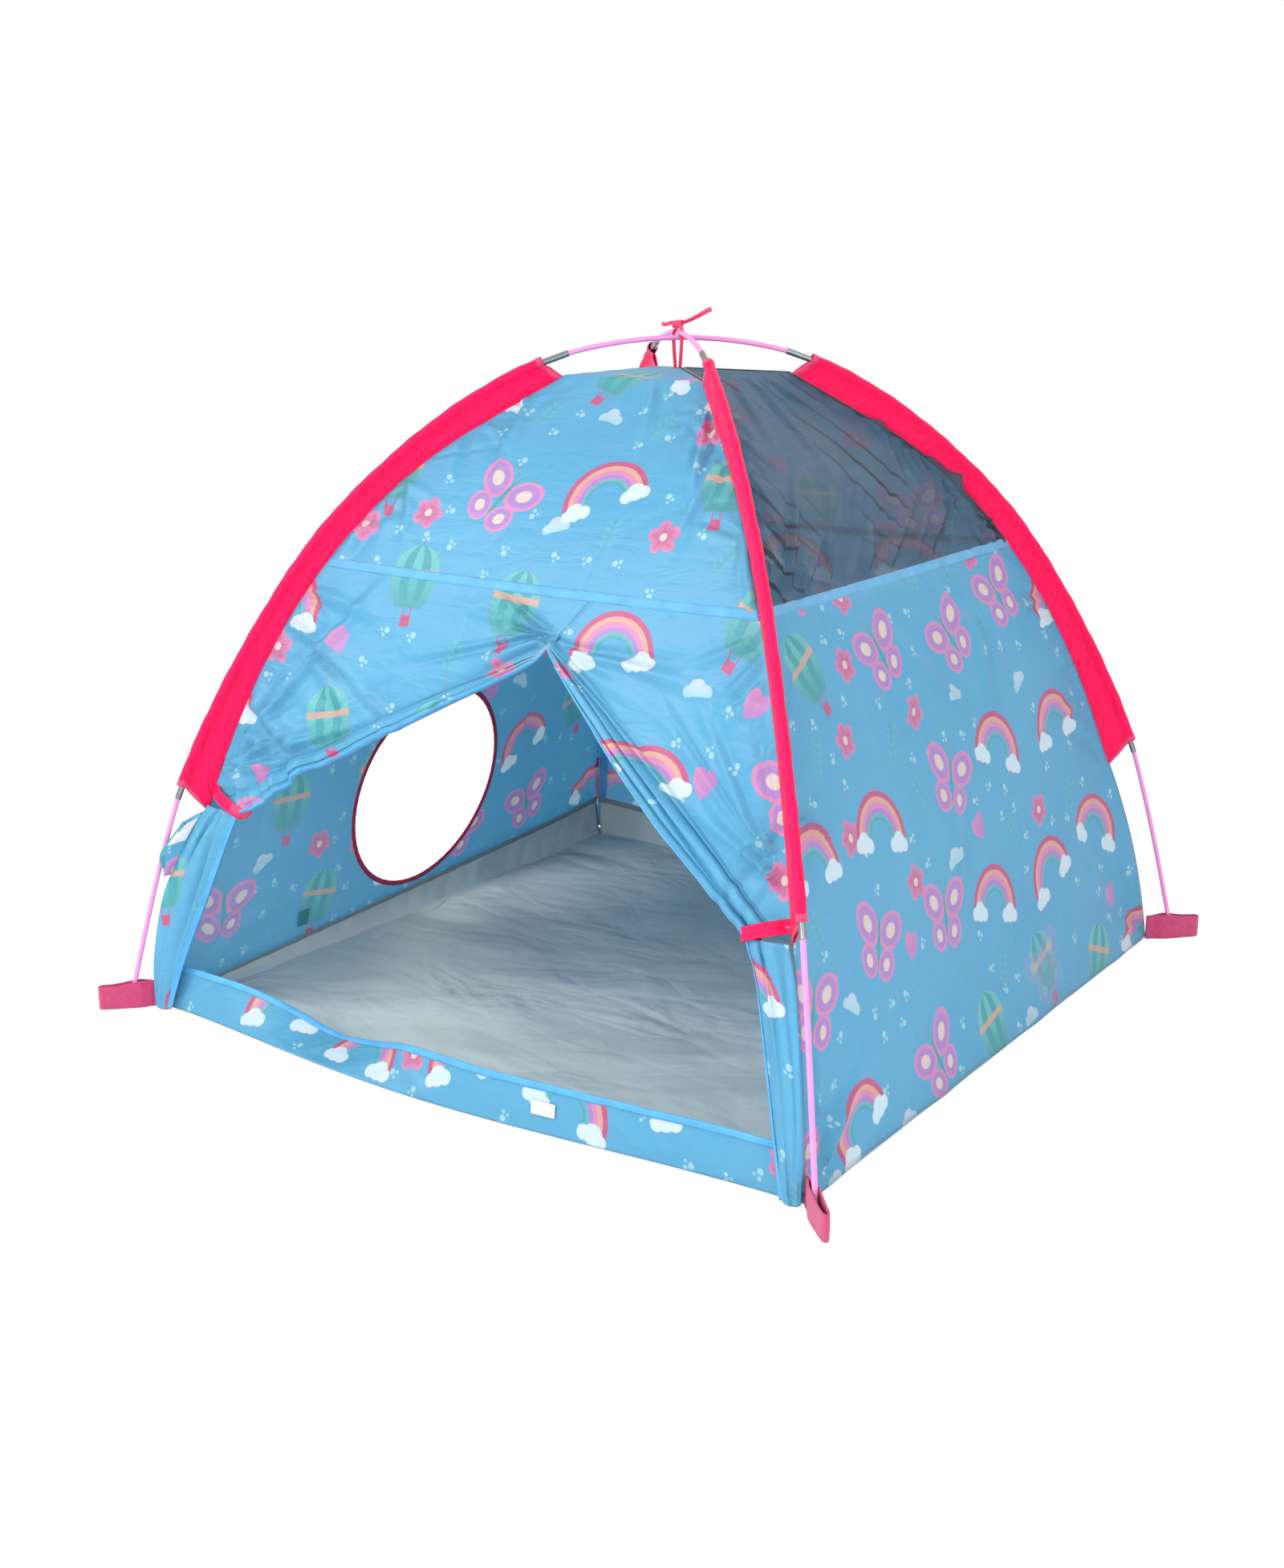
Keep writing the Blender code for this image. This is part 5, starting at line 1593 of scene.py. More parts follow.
class Door:
    """The plane of the slit's top and both ties, with the gathered flaps and the straps in it.

    In all its methods, hand is -1 on the left and 1 on the right.
    """

    def __init__(self, wall: Wall) -> None:
        """Find the plane from the wall."""
        self.wall = wall
        tie_height = (TIE_HEIGHTS[-1] + TIE_HEIGHTS[1]) / 2
        side, height = SLIT_TOP
        lean = math.atan2(float(wall.half_width(tie_height) - wall.half_width(height)), height - tie_height)
        self.down = wall.out * math.sin(lean) - UP * math.cos(lean)
        self.out = wall.out * math.cos(lean) + UP * math.sin(lean)
        self.right = wall.right
        self.top = wall.right * side + wall.out * float(wall.half_width(height)) + UP * height

    def place(self, across: float, below: float) -> Array:
        """A point right of and below the slit's top."""
        return self.top + self.right * across + self.down * below

    def tie(self, hand: int) -> Array:
        """Where a strap holds its flap."""
        height = TIE_HEIGHTS[hand]
        side = hand * (float(self.wall.half_width(height)) - TIE_INSET)
        return self.place(side - SLIT_TOP[0], (SLIT_TOP[1] - height) / -self.down[2])

    def flap(self, hand: int) -> tuple[Array, Array, Array, float]:
        """A flap's pivot, its way along, its upper side and its length."""
        pivot, tie = self.place(hand * FLAP_PIVOT_SPREAD, FLAP_PIVOT_DROP), self.tie(hand)
        along = unit(tie - pivot)
        return pivot, along, np.cross(self.out, along) * hand, float(np.linalg.norm(tie - pivot)) - FLAP_END_CLEARANCE

    @staticmethod
    def half_width(share: Array) -> Array:
        """A gathered flap is narrow at the slit's top, widest in its middle and drawn in by its strap."""
        full = mix(0.34, 0.98, np.sin(np.pi / 2 * np.minimum(share / 0.62, 1.0)))
        return FLAP_HALF_WIDTH * mix(full, 0.72, np.maximum(share - 0.62, 0.0) / 0.38)

    def foot(self, hand: int, count: int) -> tuple[Array, ...]:
        """The lower edge of a front panel from the corner seam to the slit's top.

        Args:
            hand: -1 on the left, 1 on the right.
            count: Number of places.

        Returns:
            Side and height on the wall, the flap's share and its half width at each place.
        """
        pivot, along, upper, length = self.flap(hand)
        share = np.concatenate([[1 + FLAP_END_CLEARANCE / length], np.linspace(1, 0, 60)])
        reach = self.half_width(np.minimum(share, 1)) + SEAT_GAP
        edge = pivot + along * (length * share)[:, None] + upper * reach[:, None]
        edge = np.concatenate([edge, self.top[None]])
        side = edge @ self.right
        below = (edge - self.top) @ self.down
        height = SLIT_TOP[1] + below * self.down[2]
        for _ in range(8):
            shown = (self.wall.at_side(side, height) - self.top) @ self.down
            height = height + (below - shown) * self.down[2]
        side = np.concatenate([[hand * float(self.wall.half_width(height[0]))], side])
        height = np.concatenate([height[:1], height])
        share = np.concatenate([[PAST_TIE], share, [-0.05]])
        reach = np.concatenate([[0.004], reach, [0.001]])
        run = np.concatenate([[0], np.cumsum(np.hypot(np.diff(side), np.diff(height)))])
        mark = np.linspace(0, run[-1], count)
        return tuple(np.interp(mark, run, line) for line in (side, height, share, reach))


# Where the tails and the free corner are cut from the printed cloth
TAIL_CUTS = {-1: (4.4, 0.3), 1: (4.4, 2.3)}
FREE_CORNER_CUT = (2.2, 0.7)
# The middle, width, depth and drift of each hollow between gathered folds
BUNDLE_HOLLOWS = {-1: ((0.50, 0.26, 0.50, 0.30), (-0.46, 0.20, 0.35, -0.35)),
                  1: ((0.62, 0.15, 1.00, 0.35), (0.0, 0.13, 0.80, -0.40), (-0.52, 0.13, 0.70, 0.30))}
TAIL_HOLLOWS = {-1: ((0.30, 0.085, 1.0, 0.34), (0.70, 0.075, 1.1, -0.26)),
                1: ((0.22, 0.09, 0.75, 0.30), (0.52, 0.09, 0.85, -0.26), (0.82, 0.07, 0.7, 0.18))}
TAIL_REACH = {-1: (0.034, 0.044, 0.060, 0.062), 1: (0.030, 0.040, 0.050, 0.056)}
STRAP_BOW = ((0.010, 0.0118), (0.024, 0.0150), (0.040, 0.0156), (0.055, 0.0132), (0.0645, 0.0070), (0.0672, 0.0),
             (0.0648, -0.0068), (0.056, -0.0105), (0.044, -0.0118))
STRAP_END = ((0.0500, 0.0152), (0.0600, 0.0136), (0.0672, 0.0088), (0.0715, 0.0010), (0.0738, -0.0072))


@dataclass
class DoorCloth:
    """Both halves of the slit front wall, each gathered into a flap, tied back and hanging down to its corner.

    In all its methods, hand is -1 on the left and 1 on the right.
    """

    shop: Workshop
    canopy: Canopy
    columns: int = 150
    panel_rows: int = 56
    bundle_rows: int = 72

    def __post_init__(self) -> None:
        """Find the door's plane."""
        self.wall = self.canopy.walls[Side.FRONT]
        self.door = Door(self.wall)

    @staticmethod
    def hollows(places: tuple, along: Array, across: Array) -> Array:
        """The level of gathered folds.

        Args:
            places: For each hollow, its middle, width, depth and drift.
            along: The share of the way along the folds.
            across: The place across them.

        Returns:
            1 on the crests and down to below 0 in the hollows between them.
        """
        level = np.ones(np.broadcast_shapes(np.shape(along), np.shape(across)))
        for i, (middle, width, deep, drift) in enumerate(places):
            line = middle + drift * (along - 0.5) + 0.035 * np.sin(along * 9 + i * 2.3)
            size = width * (1 + 0.35 * np.sin(along * 5.3 + i * 1.7))
            level = level - deep * np.exp(-np.abs((across - line) / size) ** 1.6)
        return np.maximum(level, -0.35)

    def folds(self, hand: int) -> Folds:
        """The folds of a flat half, which run from the corner seam and from the slit's top."""
        folds = Folds(np.random.default_rng(SEED + 70 + hand))
        seam = self.wall.seam_line(hand, 0.40, 0.70)
        if hand < 0:
            folds.along(seam, -24.0, 18.0, 20, (0.12, 0.42), 0.011, 0.0072)
            folds.fan((-0.53, 0.41), (12, 62), 11, (0.12, 0.5), 0.011, 0.0080)
            folds.fan((0.06, 0.69), (150, 215), 9, (0.08, 0.34), 0.009, 0.0068)
        else:
            folds.along(seam, -150.0, 26.0, 12, (0.05, 0.2), 0.009, 0.0056)
            folds.fan((0.06, 0.69), (-55, 5), 8, (0.1, 0.34), 0.009, 0.0066)
            folds.fan((0.52, 0.40), (112, 165), 9, (0.1, 0.42), 0.010, 0.0070)
        return folds

    def panel(self, hand: int, side: Array, height: Array) -> tuple[Array, Array]:
        """The flat part of a half, from its foot up to the panel seam.

        Args:
            hand: -1 on the left, 1 on the right.
            side: How far right each place of the foot is.
            height: Its height.

        Returns:
            The grid of points and its places on the flat cloth.
        """
        wall = self.wall
        share = np.linspace(0, 1, self.columns)
        v = np.linspace(0, 1, self.panel_rows)[:, None]
        corner = hand * wall.half_width(mix(height[0], SEAM_HEIGHT, v))
        top_corner = hand * float(wall.half_width(SEAM_HEIGHT))
        z = mix(height[None], SEAM_HEIGHT, v)
        run = (side - side[0]) / (side[-1] - side[0])
        top_side = mix(top_corner, SLIT_TOP[0] + SLIT_SEAM_SHIFT, run)[None]
        x = mix(side[None], top_side, v) + (corner - mix(side[0], top_corner, v)) * (1 - share[None]) ** 2
        across = np.clip(x / wall.half_width(z), -1, 1)
        cloth = wall.cloth(across, z)
        top_rise = (wall.seam.developed(SEAM_HEIGHT) - cloth[..., 1]) / 0.03
        keep = smooth_step((1 - np.abs(across)) * wall.half_width(z) / 0.02) * smooth_step(top_rise)
        lift = self.folds(hand).lift(cloth[..., 0], cloth[..., 1]) * keep
        return wall.over(across, z, lift), cloth

    def bundle(self, hand: int, share: Array, reach: Array, edge: Array) -> Array:
        """The gathered flap, which hangs from the foot of the flat part.

        Args:
            hand: -1 on the left, 1 on the right.
            share: The share of the flap's length at each place of the foot.
            reach: The flap's half width there.
            edge: The foot's points.

        Returns:
            The grid of points, from the free edge to the foot.
        """
        upper = self.door.flap(hand)[2]
        t = np.linspace(-1, 1, self.bundle_rows, endpoint=False)[:, None]
        width = reach * smooth_step(np.clip((PAST_TIE - share) / 0.1, 0.08, 1))
        depth = mix(0.0105, 0.013, np.sin(np.pi * np.clip(share, 0, 1)))[None] * (1 - t**6) ** 0.5
        depth = depth * self.hollows(BUNDLE_HOLLOWS[hand], share[None], t)
        depth = depth * smooth_step(np.clip((share + 0.05) / 0.08, 0, 1))[None]
        depth = depth * smooth_step(np.clip((PAST_TIE - share) / 0.08, 0, 1))[None]
        overlap = 0.0016 * np.sin(np.pi * 3.2 * (1 - t) + share[None] * 2) * (1 - t**4)
        hang = mix(0.62, 1.0, smooth_step((share - 0.72) / 0.28)) if hand < 0 else np.ones(self.columns)
        return (edge[None] - upper * ((width * hang)[None] * (1 - t) + overlap)[..., None]
                + self.door.out * depth[..., None])

    def half(self, hand: int, name: str) -> None:
        """One half of the front: the flat panel and its gathered flap as one sheet, hemmed along its free edge.

        Args:
            hand: -1 on the left, 1 on the right.
            name: What its pieces' names begin with.
        """
        pivot, along, upper, length = self.door.flap(hand)
        side, height, share, reach = self.door.foot(hand, self.columns)
        panel, cloth = self.panel(hand, side, height)
        bundle = self.bundle(hand, share, reach, panel[0])
        fall = np.linalg.norm(np.diff(np.concatenate([bundle, panel[:1]]), axis=0), axis=2)
        fall = np.cumsum(fall[::-1], axis=0)[::-1]
        hung = np.stack([np.broadcast_to(cloth[:1, :, 0], fall.shape), cloth[:1, :, 1] - fall], axis=-1)
        points, cloth = np.concatenate([bundle, panel]), np.concatenate([hung, cloth])
        if hand > 0:
            points, cloth = points[:, ::-1], cloth[:, ::-1]
        made = self.shop.sheet(f"{name}_door_cloth", points, cloth + np.array(DOOR_CUT), Finish.PRINT_OUT,
                               Finish.PRINT_IN)
        middle = pivot + along * (length * 0.6)
        ends = middle + upper * 0.026, middle - upper * 0.026
        self.shop.bend(made, name, *ends, f"front_{name}_panel", f"{name}_flap")
        first = 3 if hand > 0 else 6
        hem = points[:HEM_COLUMNS, first:first - HEM_COLUMNS] + grid_normals(points)[:HEM_COLUMNS, 3:-6] * HEM_PROUD
        made = self.shop.sheet(f"{name}_door_hem", hem, cloth[:HEM_COLUMNS, :-HEM_COLUMNS], Finish.SKY_TAPE,
                               thickness=THIN_TAPE)
        self.shop.bend(made, name, *ends)

    def beside(self, side: float, height: float, away: float = 0.006) -> Array:
        """A point in front of the wall at a place right of its middle and a height."""
        return self.wall.at_side(np.array(side), np.array(height)) + self.wall.out * away

    def tail_edges(self, hand: int, count: int) -> tuple[Array, Array]:
        """The edges of a tail, from the floor's corner up to under the strap.

        Args:
            hand: -1 on the left, 1 on the right.
            count: Number of points of an edge.

        Returns:
            The edge at the corner and the one at the door.
        """
        _, along, upper, _ = self.door.flap(hand)
        tie = self.door.tie(hand)
        corner = (Corner.FRONT_LEFT if hand < 0 else Corner.FRONT_RIGHT).out
        half = [float(self.wall.half_width(z)) for z in (0.004, 0.09, 0.2, 0.29)]
        outer = [self.beside(hand * (half[0] - 0.002), 0.006, 0.012) + corner * 0.003,
                 self.beside(hand * half[1], 0.09, 0.010) + corner * 0.013,
                 self.beside(hand * half[2], 0.2, 0.009) + corner * 0.018,
                 self.beside(hand * half[3], 0.29) + corner * 0.006,
                 self.beside(hand * (float(self.wall.half_width(tie[2])) - 0.004), tie[2] - 0.004, 0.005)]
        low = ((0.006, 0.014), (0.09, 0.011), (0.2, 0.009), (0.28, 0.006))
        inner = [self.beside(hand * (wide - reach), *place) for wide, reach, place in zip(half, TAIL_REACH[hand], low)]
        inner.append(tie - upper * 0.0185 - along * 0.006 + self.door.out * 0.002)
        return smooth_line(outer, count), smooth_line(inner, count)

    def tail(self, hand: int, name: str) -> None:
        """The rest of a flap: gathered cloth that hangs from its strap down to the floor's corner.

        Args:
            hand: -1 on the left, 1 on the right.
            name: What its pieces' names begin with.
        """
        outer, inner = self.tail_edges(hand, 110)
        left, right = (outer, inner) if hand < 0 else (inner, outer)
        g, f = np.meshgrid(np.linspace(0, 1, 90), np.linspace(0, 1, len(outer)))
        points = mix(left[:, None], right[:, None], g[..., None])
        bulge = np.sin(np.pi * g)
        depth = mix(0.0040, 0.0085, f) * (1 + 0.2 * np.sin(f * 9 + g * 4))
        wave = depth * self.hollows(TAIL_HOLLOWS[hand], f, g) * bulge**0.4 + 0.009 * bulge * (0.6 + 0.4 * f)
        wave = wave * mix(1.0, 0.6, smooth_step((f - 0.9) / 0.1)) * mix(0.45, 1, smooth_step(f / 0.08))
        sway = 0.0024 * np.sin(2 * np.pi * 2.5 * g + f * 3 + 1.2) * bulge
        points = points + self.door.out * wave[..., None] + self.wall.right * sway[..., None]
        points[..., 2] = np.maximum(points[..., 2] - 0.005 * (1 - f) * bulge, 0.0012)
        across = np.cumsum(np.linalg.norm(np.diff(points, axis=1), axis=2), axis=1)
        across = np.insert(across, 0, 0.0, axis=1)
        up = run_length(outer)
        cloth = np.stack([across, np.broadcast_to(up[:, None], across.shape)], axis=-1)
        made = self.shop.sheet(f"{name}_tail_cloth", points, cloth + np.array(TAIL_CUTS[hand]),
                               Finish.PRINT_OUT, Finish.PRINT_IN)
        ends = outer[0], self.door.tie(hand)
        self.shop.bend(made, name, *ends, f"{name}_flap_tail")
        edge = slice(-HEM_COLUMNS, None) if hand < 0 else slice(0, HEM_COLUMNS)
        band, out = points[:, edge], grid_normals(points)[:, edge]
        hem = strip(band[:, 4] + out[:, 4] * 0.0009, np.gradient(band, axis=1)[:, 4], 0.0085, 5, 0.0007)
        if np.dot(np.cross(hem[0, 60] - hem[0, 59], hem[1, 60] - hem[0, 60]), self.door.out) < 0:
            hem = hem[::-1]
        made = self.shop.sheet(f"{name}_tail_hem", hem, flat_places(up, np.linspace(0, 0.0085, 5)), Finish.SKY_TAPE,
                               thickness=THIN_TAPE)
        self.shop.bend(made, name, *ends)

    def free_corner(self) -> None:
        """The left flap's free corner, with its patch and its teal edge, which sticks out past the pole."""
        wall, corner = self.wall, Corner.FRONT_LEFT.out
        u, v = np.meshgrid(np.linspace(0, 1, 26), np.linspace(0, 1, 30))
        seam = self.tail_edges(-1, 80)[0]
        base = on_line(mix(0.228, 0.334, v), seam[:, 2], seam)
        reach = 0.026 * smooth_step((v + 0.12) / 0.62) ** 1.1 * (1 - 0.10 * v)
        droop = -0.014 * u * (v - 0.1) - 0.004 * u**2
        curl = 0.006 * np.sin(np.pi * u * 0.9) + 0.0022 * np.sin(v * 9 + u * 4) * u
        points = (base + corner * (reach * u - 0.008 * (1 - u))[..., None]
                  + wall.out * (0.004 + 0.010 * u + curl)[..., None] + UP * droop[..., None])[:, ::-1]
        cloth = np.stack([u * 0.034, v * 0.11], axis=-1)
        out = grid_normals(points)
        tape = strip(points[5:, 0] + out[5:, 0] * 0.0006, wall.right, 0.0062, 5, 0.0006)[::-1]
        places = flat_places(np.linspace(0, 0.09, tape.shape[1]), np.linspace(0, 0.006, 5))
        patch = slice(16, 27), slice(3, 21)
        for made in (self.shop.sheet("left_flap_corner", points, cloth + np.array(FREE_CORNER_CUT), Finish.PRINT_OUT,
                                     Finish.PRINT_IN),
                     self.shop.sheet("left_flap_corner_edge", tape, places, Finish.TEAL_TAPE, thickness=0.0008),
                     self.shop.sheet("left_flap_corner_patch", points[patch] + out[patch] * 0.0016, cloth[patch],
                                     Finish.HOOK_PILE, thickness=0.0012)):
            self.shop.bend(made, "left", seam[0], self.door.tie(-1))

    def strap(self, hand: int, name: str) -> None:
        """The strap that holds a flap back: sewn in at the corner seam, bowed over the gathered cloth, turned under.

        Args:
            hand: -1 on the left, 1 on the right.
            name: What its pieces' names begin with.
        """
        wall, door = self.wall, self.door
        upper, tie = door.flap(hand)[2], door.tie(hand)
        corner_side = hand * (float(wall.half_width(tie[2])) - TIE_ROOT_INSET)
        way = unit(-upper * math.sin(TIE_SLOPE) - door.right * (hand * math.cos(TIE_SLOPE)))
        way = unit(way - door.out * (way @ door.out))
        root = tie - way * ((tie @ door.right - corner_side) / (way @ door.right))
        rise = float((wall.at_side(np.array(corner_side), root[2]) - root) @ door.out)
        spots = ((-0.012, rise + 0.0014), (-0.002, rise + 0.0022), *STRAP_BOW)
        line = smooth_line([root + way * r + door.out * o for r, o in spots], 130)
        broad = np.cross(door.out, way)
        band = strip(line, broad, 0.0195, 9, 0.0)
        ripple = 0.0005 * np.sin(np.linspace(0, 31, 130))[None, :] * np.linspace(-1, 1, 9)[:, None] ** 3
        band = band + door.out * ripple[..., None]
        body, slot = f"{name}_tie", "sleeve_cloth"
        trim = Trim(self.shop)
        trim.band(f"{name}_strap", band, Finish.HOT_PINK, slot, 0.0014, f"{name}_tie", body=body)
        normal = grid_normals(band)[:, 14:100]
        for label, row in (("upper", 1), ("lower", -2)):
            made = self.shop.stitches(f"{name}_strap_stitches_{label}", band[row, 14:100] + normal[row] * 0.0001,
                                      normal[row], Finish.THREAD_PINK, pitch=0.0036, long=0.0025)
            self.shop.hand_over(made, slot, body=body)
        if hand < 0:
            line = smooth_line([root + way * r + door.out * o + broad * 0.002 for r, o in STRAP_END], 40)
            band = strip(line, broad + way * 0.35, np.linspace(0.0150, 0.0185, 40), 9, 0.0012)
            trim.band("left_strap_end", band, Finish.PINK_LINING, slot, 0.0012, body=body)

    def build(self) -> None:
        """Make both halves, their tails and their straps."""
        for hand, name in ((-1, "left"), (1, "right")):
            self.half(hand, name)
            self.tail(hand, name)
            self.strap(hand, name)
        self.free_corner()


# Floor, rim and sill
FLOOR_SHRINK = 0.9975
RIM_INSIDE = 0.0082
RIM_HEM = 0.0115
RIM_HEM_INSIDE = 0.0094
SILL_PATCH_AT = 0.33
SILL_CUT = (7.12, 0.22)


def front_edge(share: Array) -> tuple[Array, Array]:
    """The loose front edge of the floor, bowed out between its corners; share runs from -1 to 1."""
    bow = FRONT_BOW * (1 - share * share) ** 2 * (1 - BOW_SKEW * share)
    return share * HALF_FLOOR, -HALF_FLOOR - bow


def turned(x: Array, y: Array, turn: float) -> tuple[Array, Array]:
    """Places as seen from axes that are turned by an angle."""
    return x * math.cos(turn) + y * math.sin(turn), -x * math.sin(turn) + y * math.cos(turn)


@dataclass
class Floor:
    """The grey floor sheet with its turned-up rim, and the printed sill along the door's foot."""

    shop: Workshop
    canopy: Canopy
    columns: int = 190

    def creases(self, x: Array, y: Array) -> Array:
        """Height of the crumpled sheet: broad lens-shaped swells that meet in sharp creases.

        Args:
            x: Places to the right.
            y: Places to the back.

        Returns:
            The height at each place.
        """
        rng = np.random.default_rng(SEED + 5)
        height = np.zeros_like(x)
        for count, high, edge in ((24, 0.0085, 0.16), (52, 0.0030, 0.09)):
            seeds = rng.uniform(-0.68, 0.68, (count, 2))
            turn = rng.uniform(-0.5, 0.9)
            (wide, long), (seeds_wide, seeds_long) = turned(x, y, turn), turned(*seeds.T, turn)
            away = np.hypot((wide[..., None] - seeds_wide) * 0.62, (long[..., None] - seeds_long) * 1.25)
            near = np.sort(away, axis=-1)[..., :2]
            height = height + high * (1 - np.exp(-(near[..., 1] - near[..., 0]) / edge)) * (0.4 + near[..., 0] * 4)
        return height + 0.0016 * np.sin(x * 21 + np.sin(y * 9) * 2.2) * np.sin(y * 13 + x * 4)

    def sheet(self) -> None:
        """The floor itself."""
        u, v = np.meshgrid(np.linspace(-1, 1, self.columns), np.linspace(-1, 1, self.columns))
        x, front = front_edge(u)
        y = mix(front, HALF_FLOOR, (v + 1) / 2)
        edge = smooth_step(np.minimum(1 - np.abs(u), 1 - np.abs(v)) / 0.14)
        z = 0.0013 + np.clip(self.creases(x, y), 0, 0.02) * edge
        points = np.stack([x * FLOOR_SHRINK, y * FLOOR_SHRINK, z], axis=-1)
        made = self.shop.sheet("ground_sheet_cloth", points, np.stack([x, y], axis=-1), Finish.FLOOR)
        self.shop.hand_over(made, "floor_cloth", "ground_sheet")

    def rim(self, side: Side) -> None:
        """The turned-up edge inside a wall, with its folded hem.

        Args:
            side: The wall.
        """
        wall = self.canopy.walls[side]
        across, f = np.meshgrid(np.linspace(-0.997, 0.997, 150), np.linspace(0, 1, 26))
        top = np.maximum(wall.rim(across), 0.004)
        reach = (0.055 + 0.012 * np.sin(across * 7) + 0.006 * np.sin(across * 19 + 1)) * (1 - f) ** 2 + RIM_INSIDE
        rise = np.minimum(top * f**1.6 + 0.0032 * np.sin(np.pi * np.minimum(1.0, f * 1.1)) ** 0.5, top)
        slack = 0.0022 * np.sin(across * 31 + f * 3) * np.sin(np.pi * f)
        rim = wall.at(across, rise + 0.0022 * (1 - f), reach + np.abs(slack))
        rim[..., 2] = np.maximum(rim[..., 2], FLOOR_SHEET + 0.0004 + 0.0008 * f)
        f = np.linspace(0, 1, 6)[:, None]
        hem = wall.at(across[:1], np.maximum(top[:1] - 0.009 + RIM_HEM * f, 0.0015 + 0.001 * f),
                      RIM_HEM_INSIDE + 0.0009 * np.sin(np.pi * f))
        for label, points, up, shift, finish, thickness in (
                ("rim", rim, run_length(rim[:, 75]), 3.0, Finish.FLOOR, CLOTH),
                ("rim_hem", hem, RIM_HEM * f[:, 0], 0.0, Finish.HEM_GREY, THIN_TAPE)):
            cloth = flat_places(across[0] * HALF_FLOOR, up)[:, ::-1] + shift
            made = self.shop.sheet(f"{side.name.lower()}_{label}", points[:, ::-1], cloth, finish, thickness=thickness)
            self.shop.hand_over(made, "floor_cloth")

    def sill_place(self, share: Array, rise: Array, depth: Many) -> Array:
        """Points of the sill, which is upright at its ends and fallen in left of its middle.

        Args:
            share: Places along it, from -1 to 1.
            rise: Places up it.
            depth: How far inside its outer face.

        Returns:
            The points.
        """
        wall = self.canopy.walls[Side.FRONT]
        fallen = np.exp(-((share - SILL_FALLEN_AT) / SILL_FALLEN_REACH) ** 2)
        lean = mix(float(wall.lean(0.0)), SILL_FALLEN_LEAN, fallen)
        height = FLOOR_SHEET + 2 * SEAT_GAP + rise * np.cos(lean) + (0.0016 - depth) * np.sin(lean)
        half = wall.half_width(height) - 2 * FLOOR_SHEET
        return np.stack([share * half, front_edge(share)[1] + rise * np.sin(lean) + depth * np.cos(lean), height],
                        axis=-1)

    def sill(self) -> None:
        """The sill, its folded top hem and a row of stitches."""
        rng = np.random.default_rng(SEED + 8)
        share, rise = np.meshgrid(np.linspace(-1, 1, 260), np.linspace(0, SILL_HEIGHT, 22))
        slack = np.zeros_like(share)
        for _ in range(34):
            middle, wide = rng.uniform(-1, 1), rng.uniform(0.012, 0.05)
            high, slope = rng.uniform(-0.0022, 0.0026), rng.uniform(-3, 3)
            slack += high * np.exp(-((share - middle - (rise - 0.035) * slope) / wide) ** 2)
        free = smooth_step((1 - np.abs(share)) / 0.03) * smooth_step(rise / 0.012)
        points = self.sill_place(share, rise, -slack * free)
        points[..., 2] = np.maximum(points[..., 2], 0.0012)
        cloth = np.stack([share * HALF_FLOOR, rise], axis=-1)
        made = self.shop.sheet("sill_cloth", points, cloth + np.array(SILL_CUT), Finish.PRINT_OUT, Finish.PRINT_IN)
        self.shop.hand_over(made, "printed_cloth", "door_sill")
        top, out = points[-4:], grid_normals(points)[-4:]
        hem = [top[i] + out[i] * away for i, away in (
            (0, 0.0007), (1, 0.0012), (2, 0.0012), (3, 0.0009), (3, -0.0016), (2, -0.0018), (1, -0.0018), (0, -0.0013))]
        hem.insert(4, top[3] + unit(top[3] - top[2]) * 0.0012)
        made = self.shop.sheet("sill_hem", np.array(hem), flat_places(cloth[0, :, 0], np.linspace(0, 0.024, len(hem))),
                               Finish.SKY_TAPE, thickness=0.0004)
        self.shop.hand_over(made, "printed_cloth")
        row = self.shop.stitches("sill_stitches", top[0] + out[0] * 0.0011, out[0], Finish.THREAD_BLUE)
        self.shop.hand_over(row, "printed_cloth")

    def patch(self) -> None:
        """A small white hook-and-loop patch sewn on the sill's outer face."""
        share, rise = np.meshgrid(np.linspace(-0.033, 0.033, 15) + SILL_PATCH_AT, np.linspace(0.025, 0.045, 9))
        edge = np.minimum(np.minimum(share - share.min(), share.max() - share) * HALF_FLOOR,
                          np.minimum(rise - rise.min(), rise.max() - rise))
        depth = -0.0022 - 0.0009 * smooth_step(edge / 0.0015)
        made = self.shop.sheet("sill_patch_tape", self.sill_place(share, rise, depth),
                               np.stack([share * HALF_FLOOR, rise], axis=-1), Finish.HOOK_PILE, thickness=0.0016)
        self.shop.hand_over(made, "hook_and_loop", "sill_patch")

    def build(self) -> None:
        """Make the floor, its rims and the sill."""
        self.sheet()
        for side in (Side.LEFT, Side.BACK, Side.RIGHT):
            self.rim(side)
        self.sill()
        self.patch()


# Corner pockets and the ribbon
def strip(line: Array, broad: Array, width: Many, rows: int = 5, cup: float = 0.0) -> Array:
    """A flat band along a line of points.

    Args:
        line: Points by 3.
        broad: The direction across the band, one or one for each point.
        width: Its width, one number or one for each point.
        rows: Places across it.
        cup: How far its middle stands up.

    Returns:
        Rows by points by 3, its right along the line and up along broad.
    """
    way = unit(np.gradient(line, axis=0))
    broad = np.broadcast_to(broad, line.shape)
    broad = unit(broad - way * (way * broad).sum(1)[:, None])
    out = np.cross(way, broad)
    across = np.linspace(-0.5, 0.5, rows)[:, None, None]
    width = np.broadcast_to(np.asarray(width, float), (len(line),))[None, :, None]
    return line[None] + broad[None] * across * width + out[None] * cup * (1 - (2 * across) ** 2)


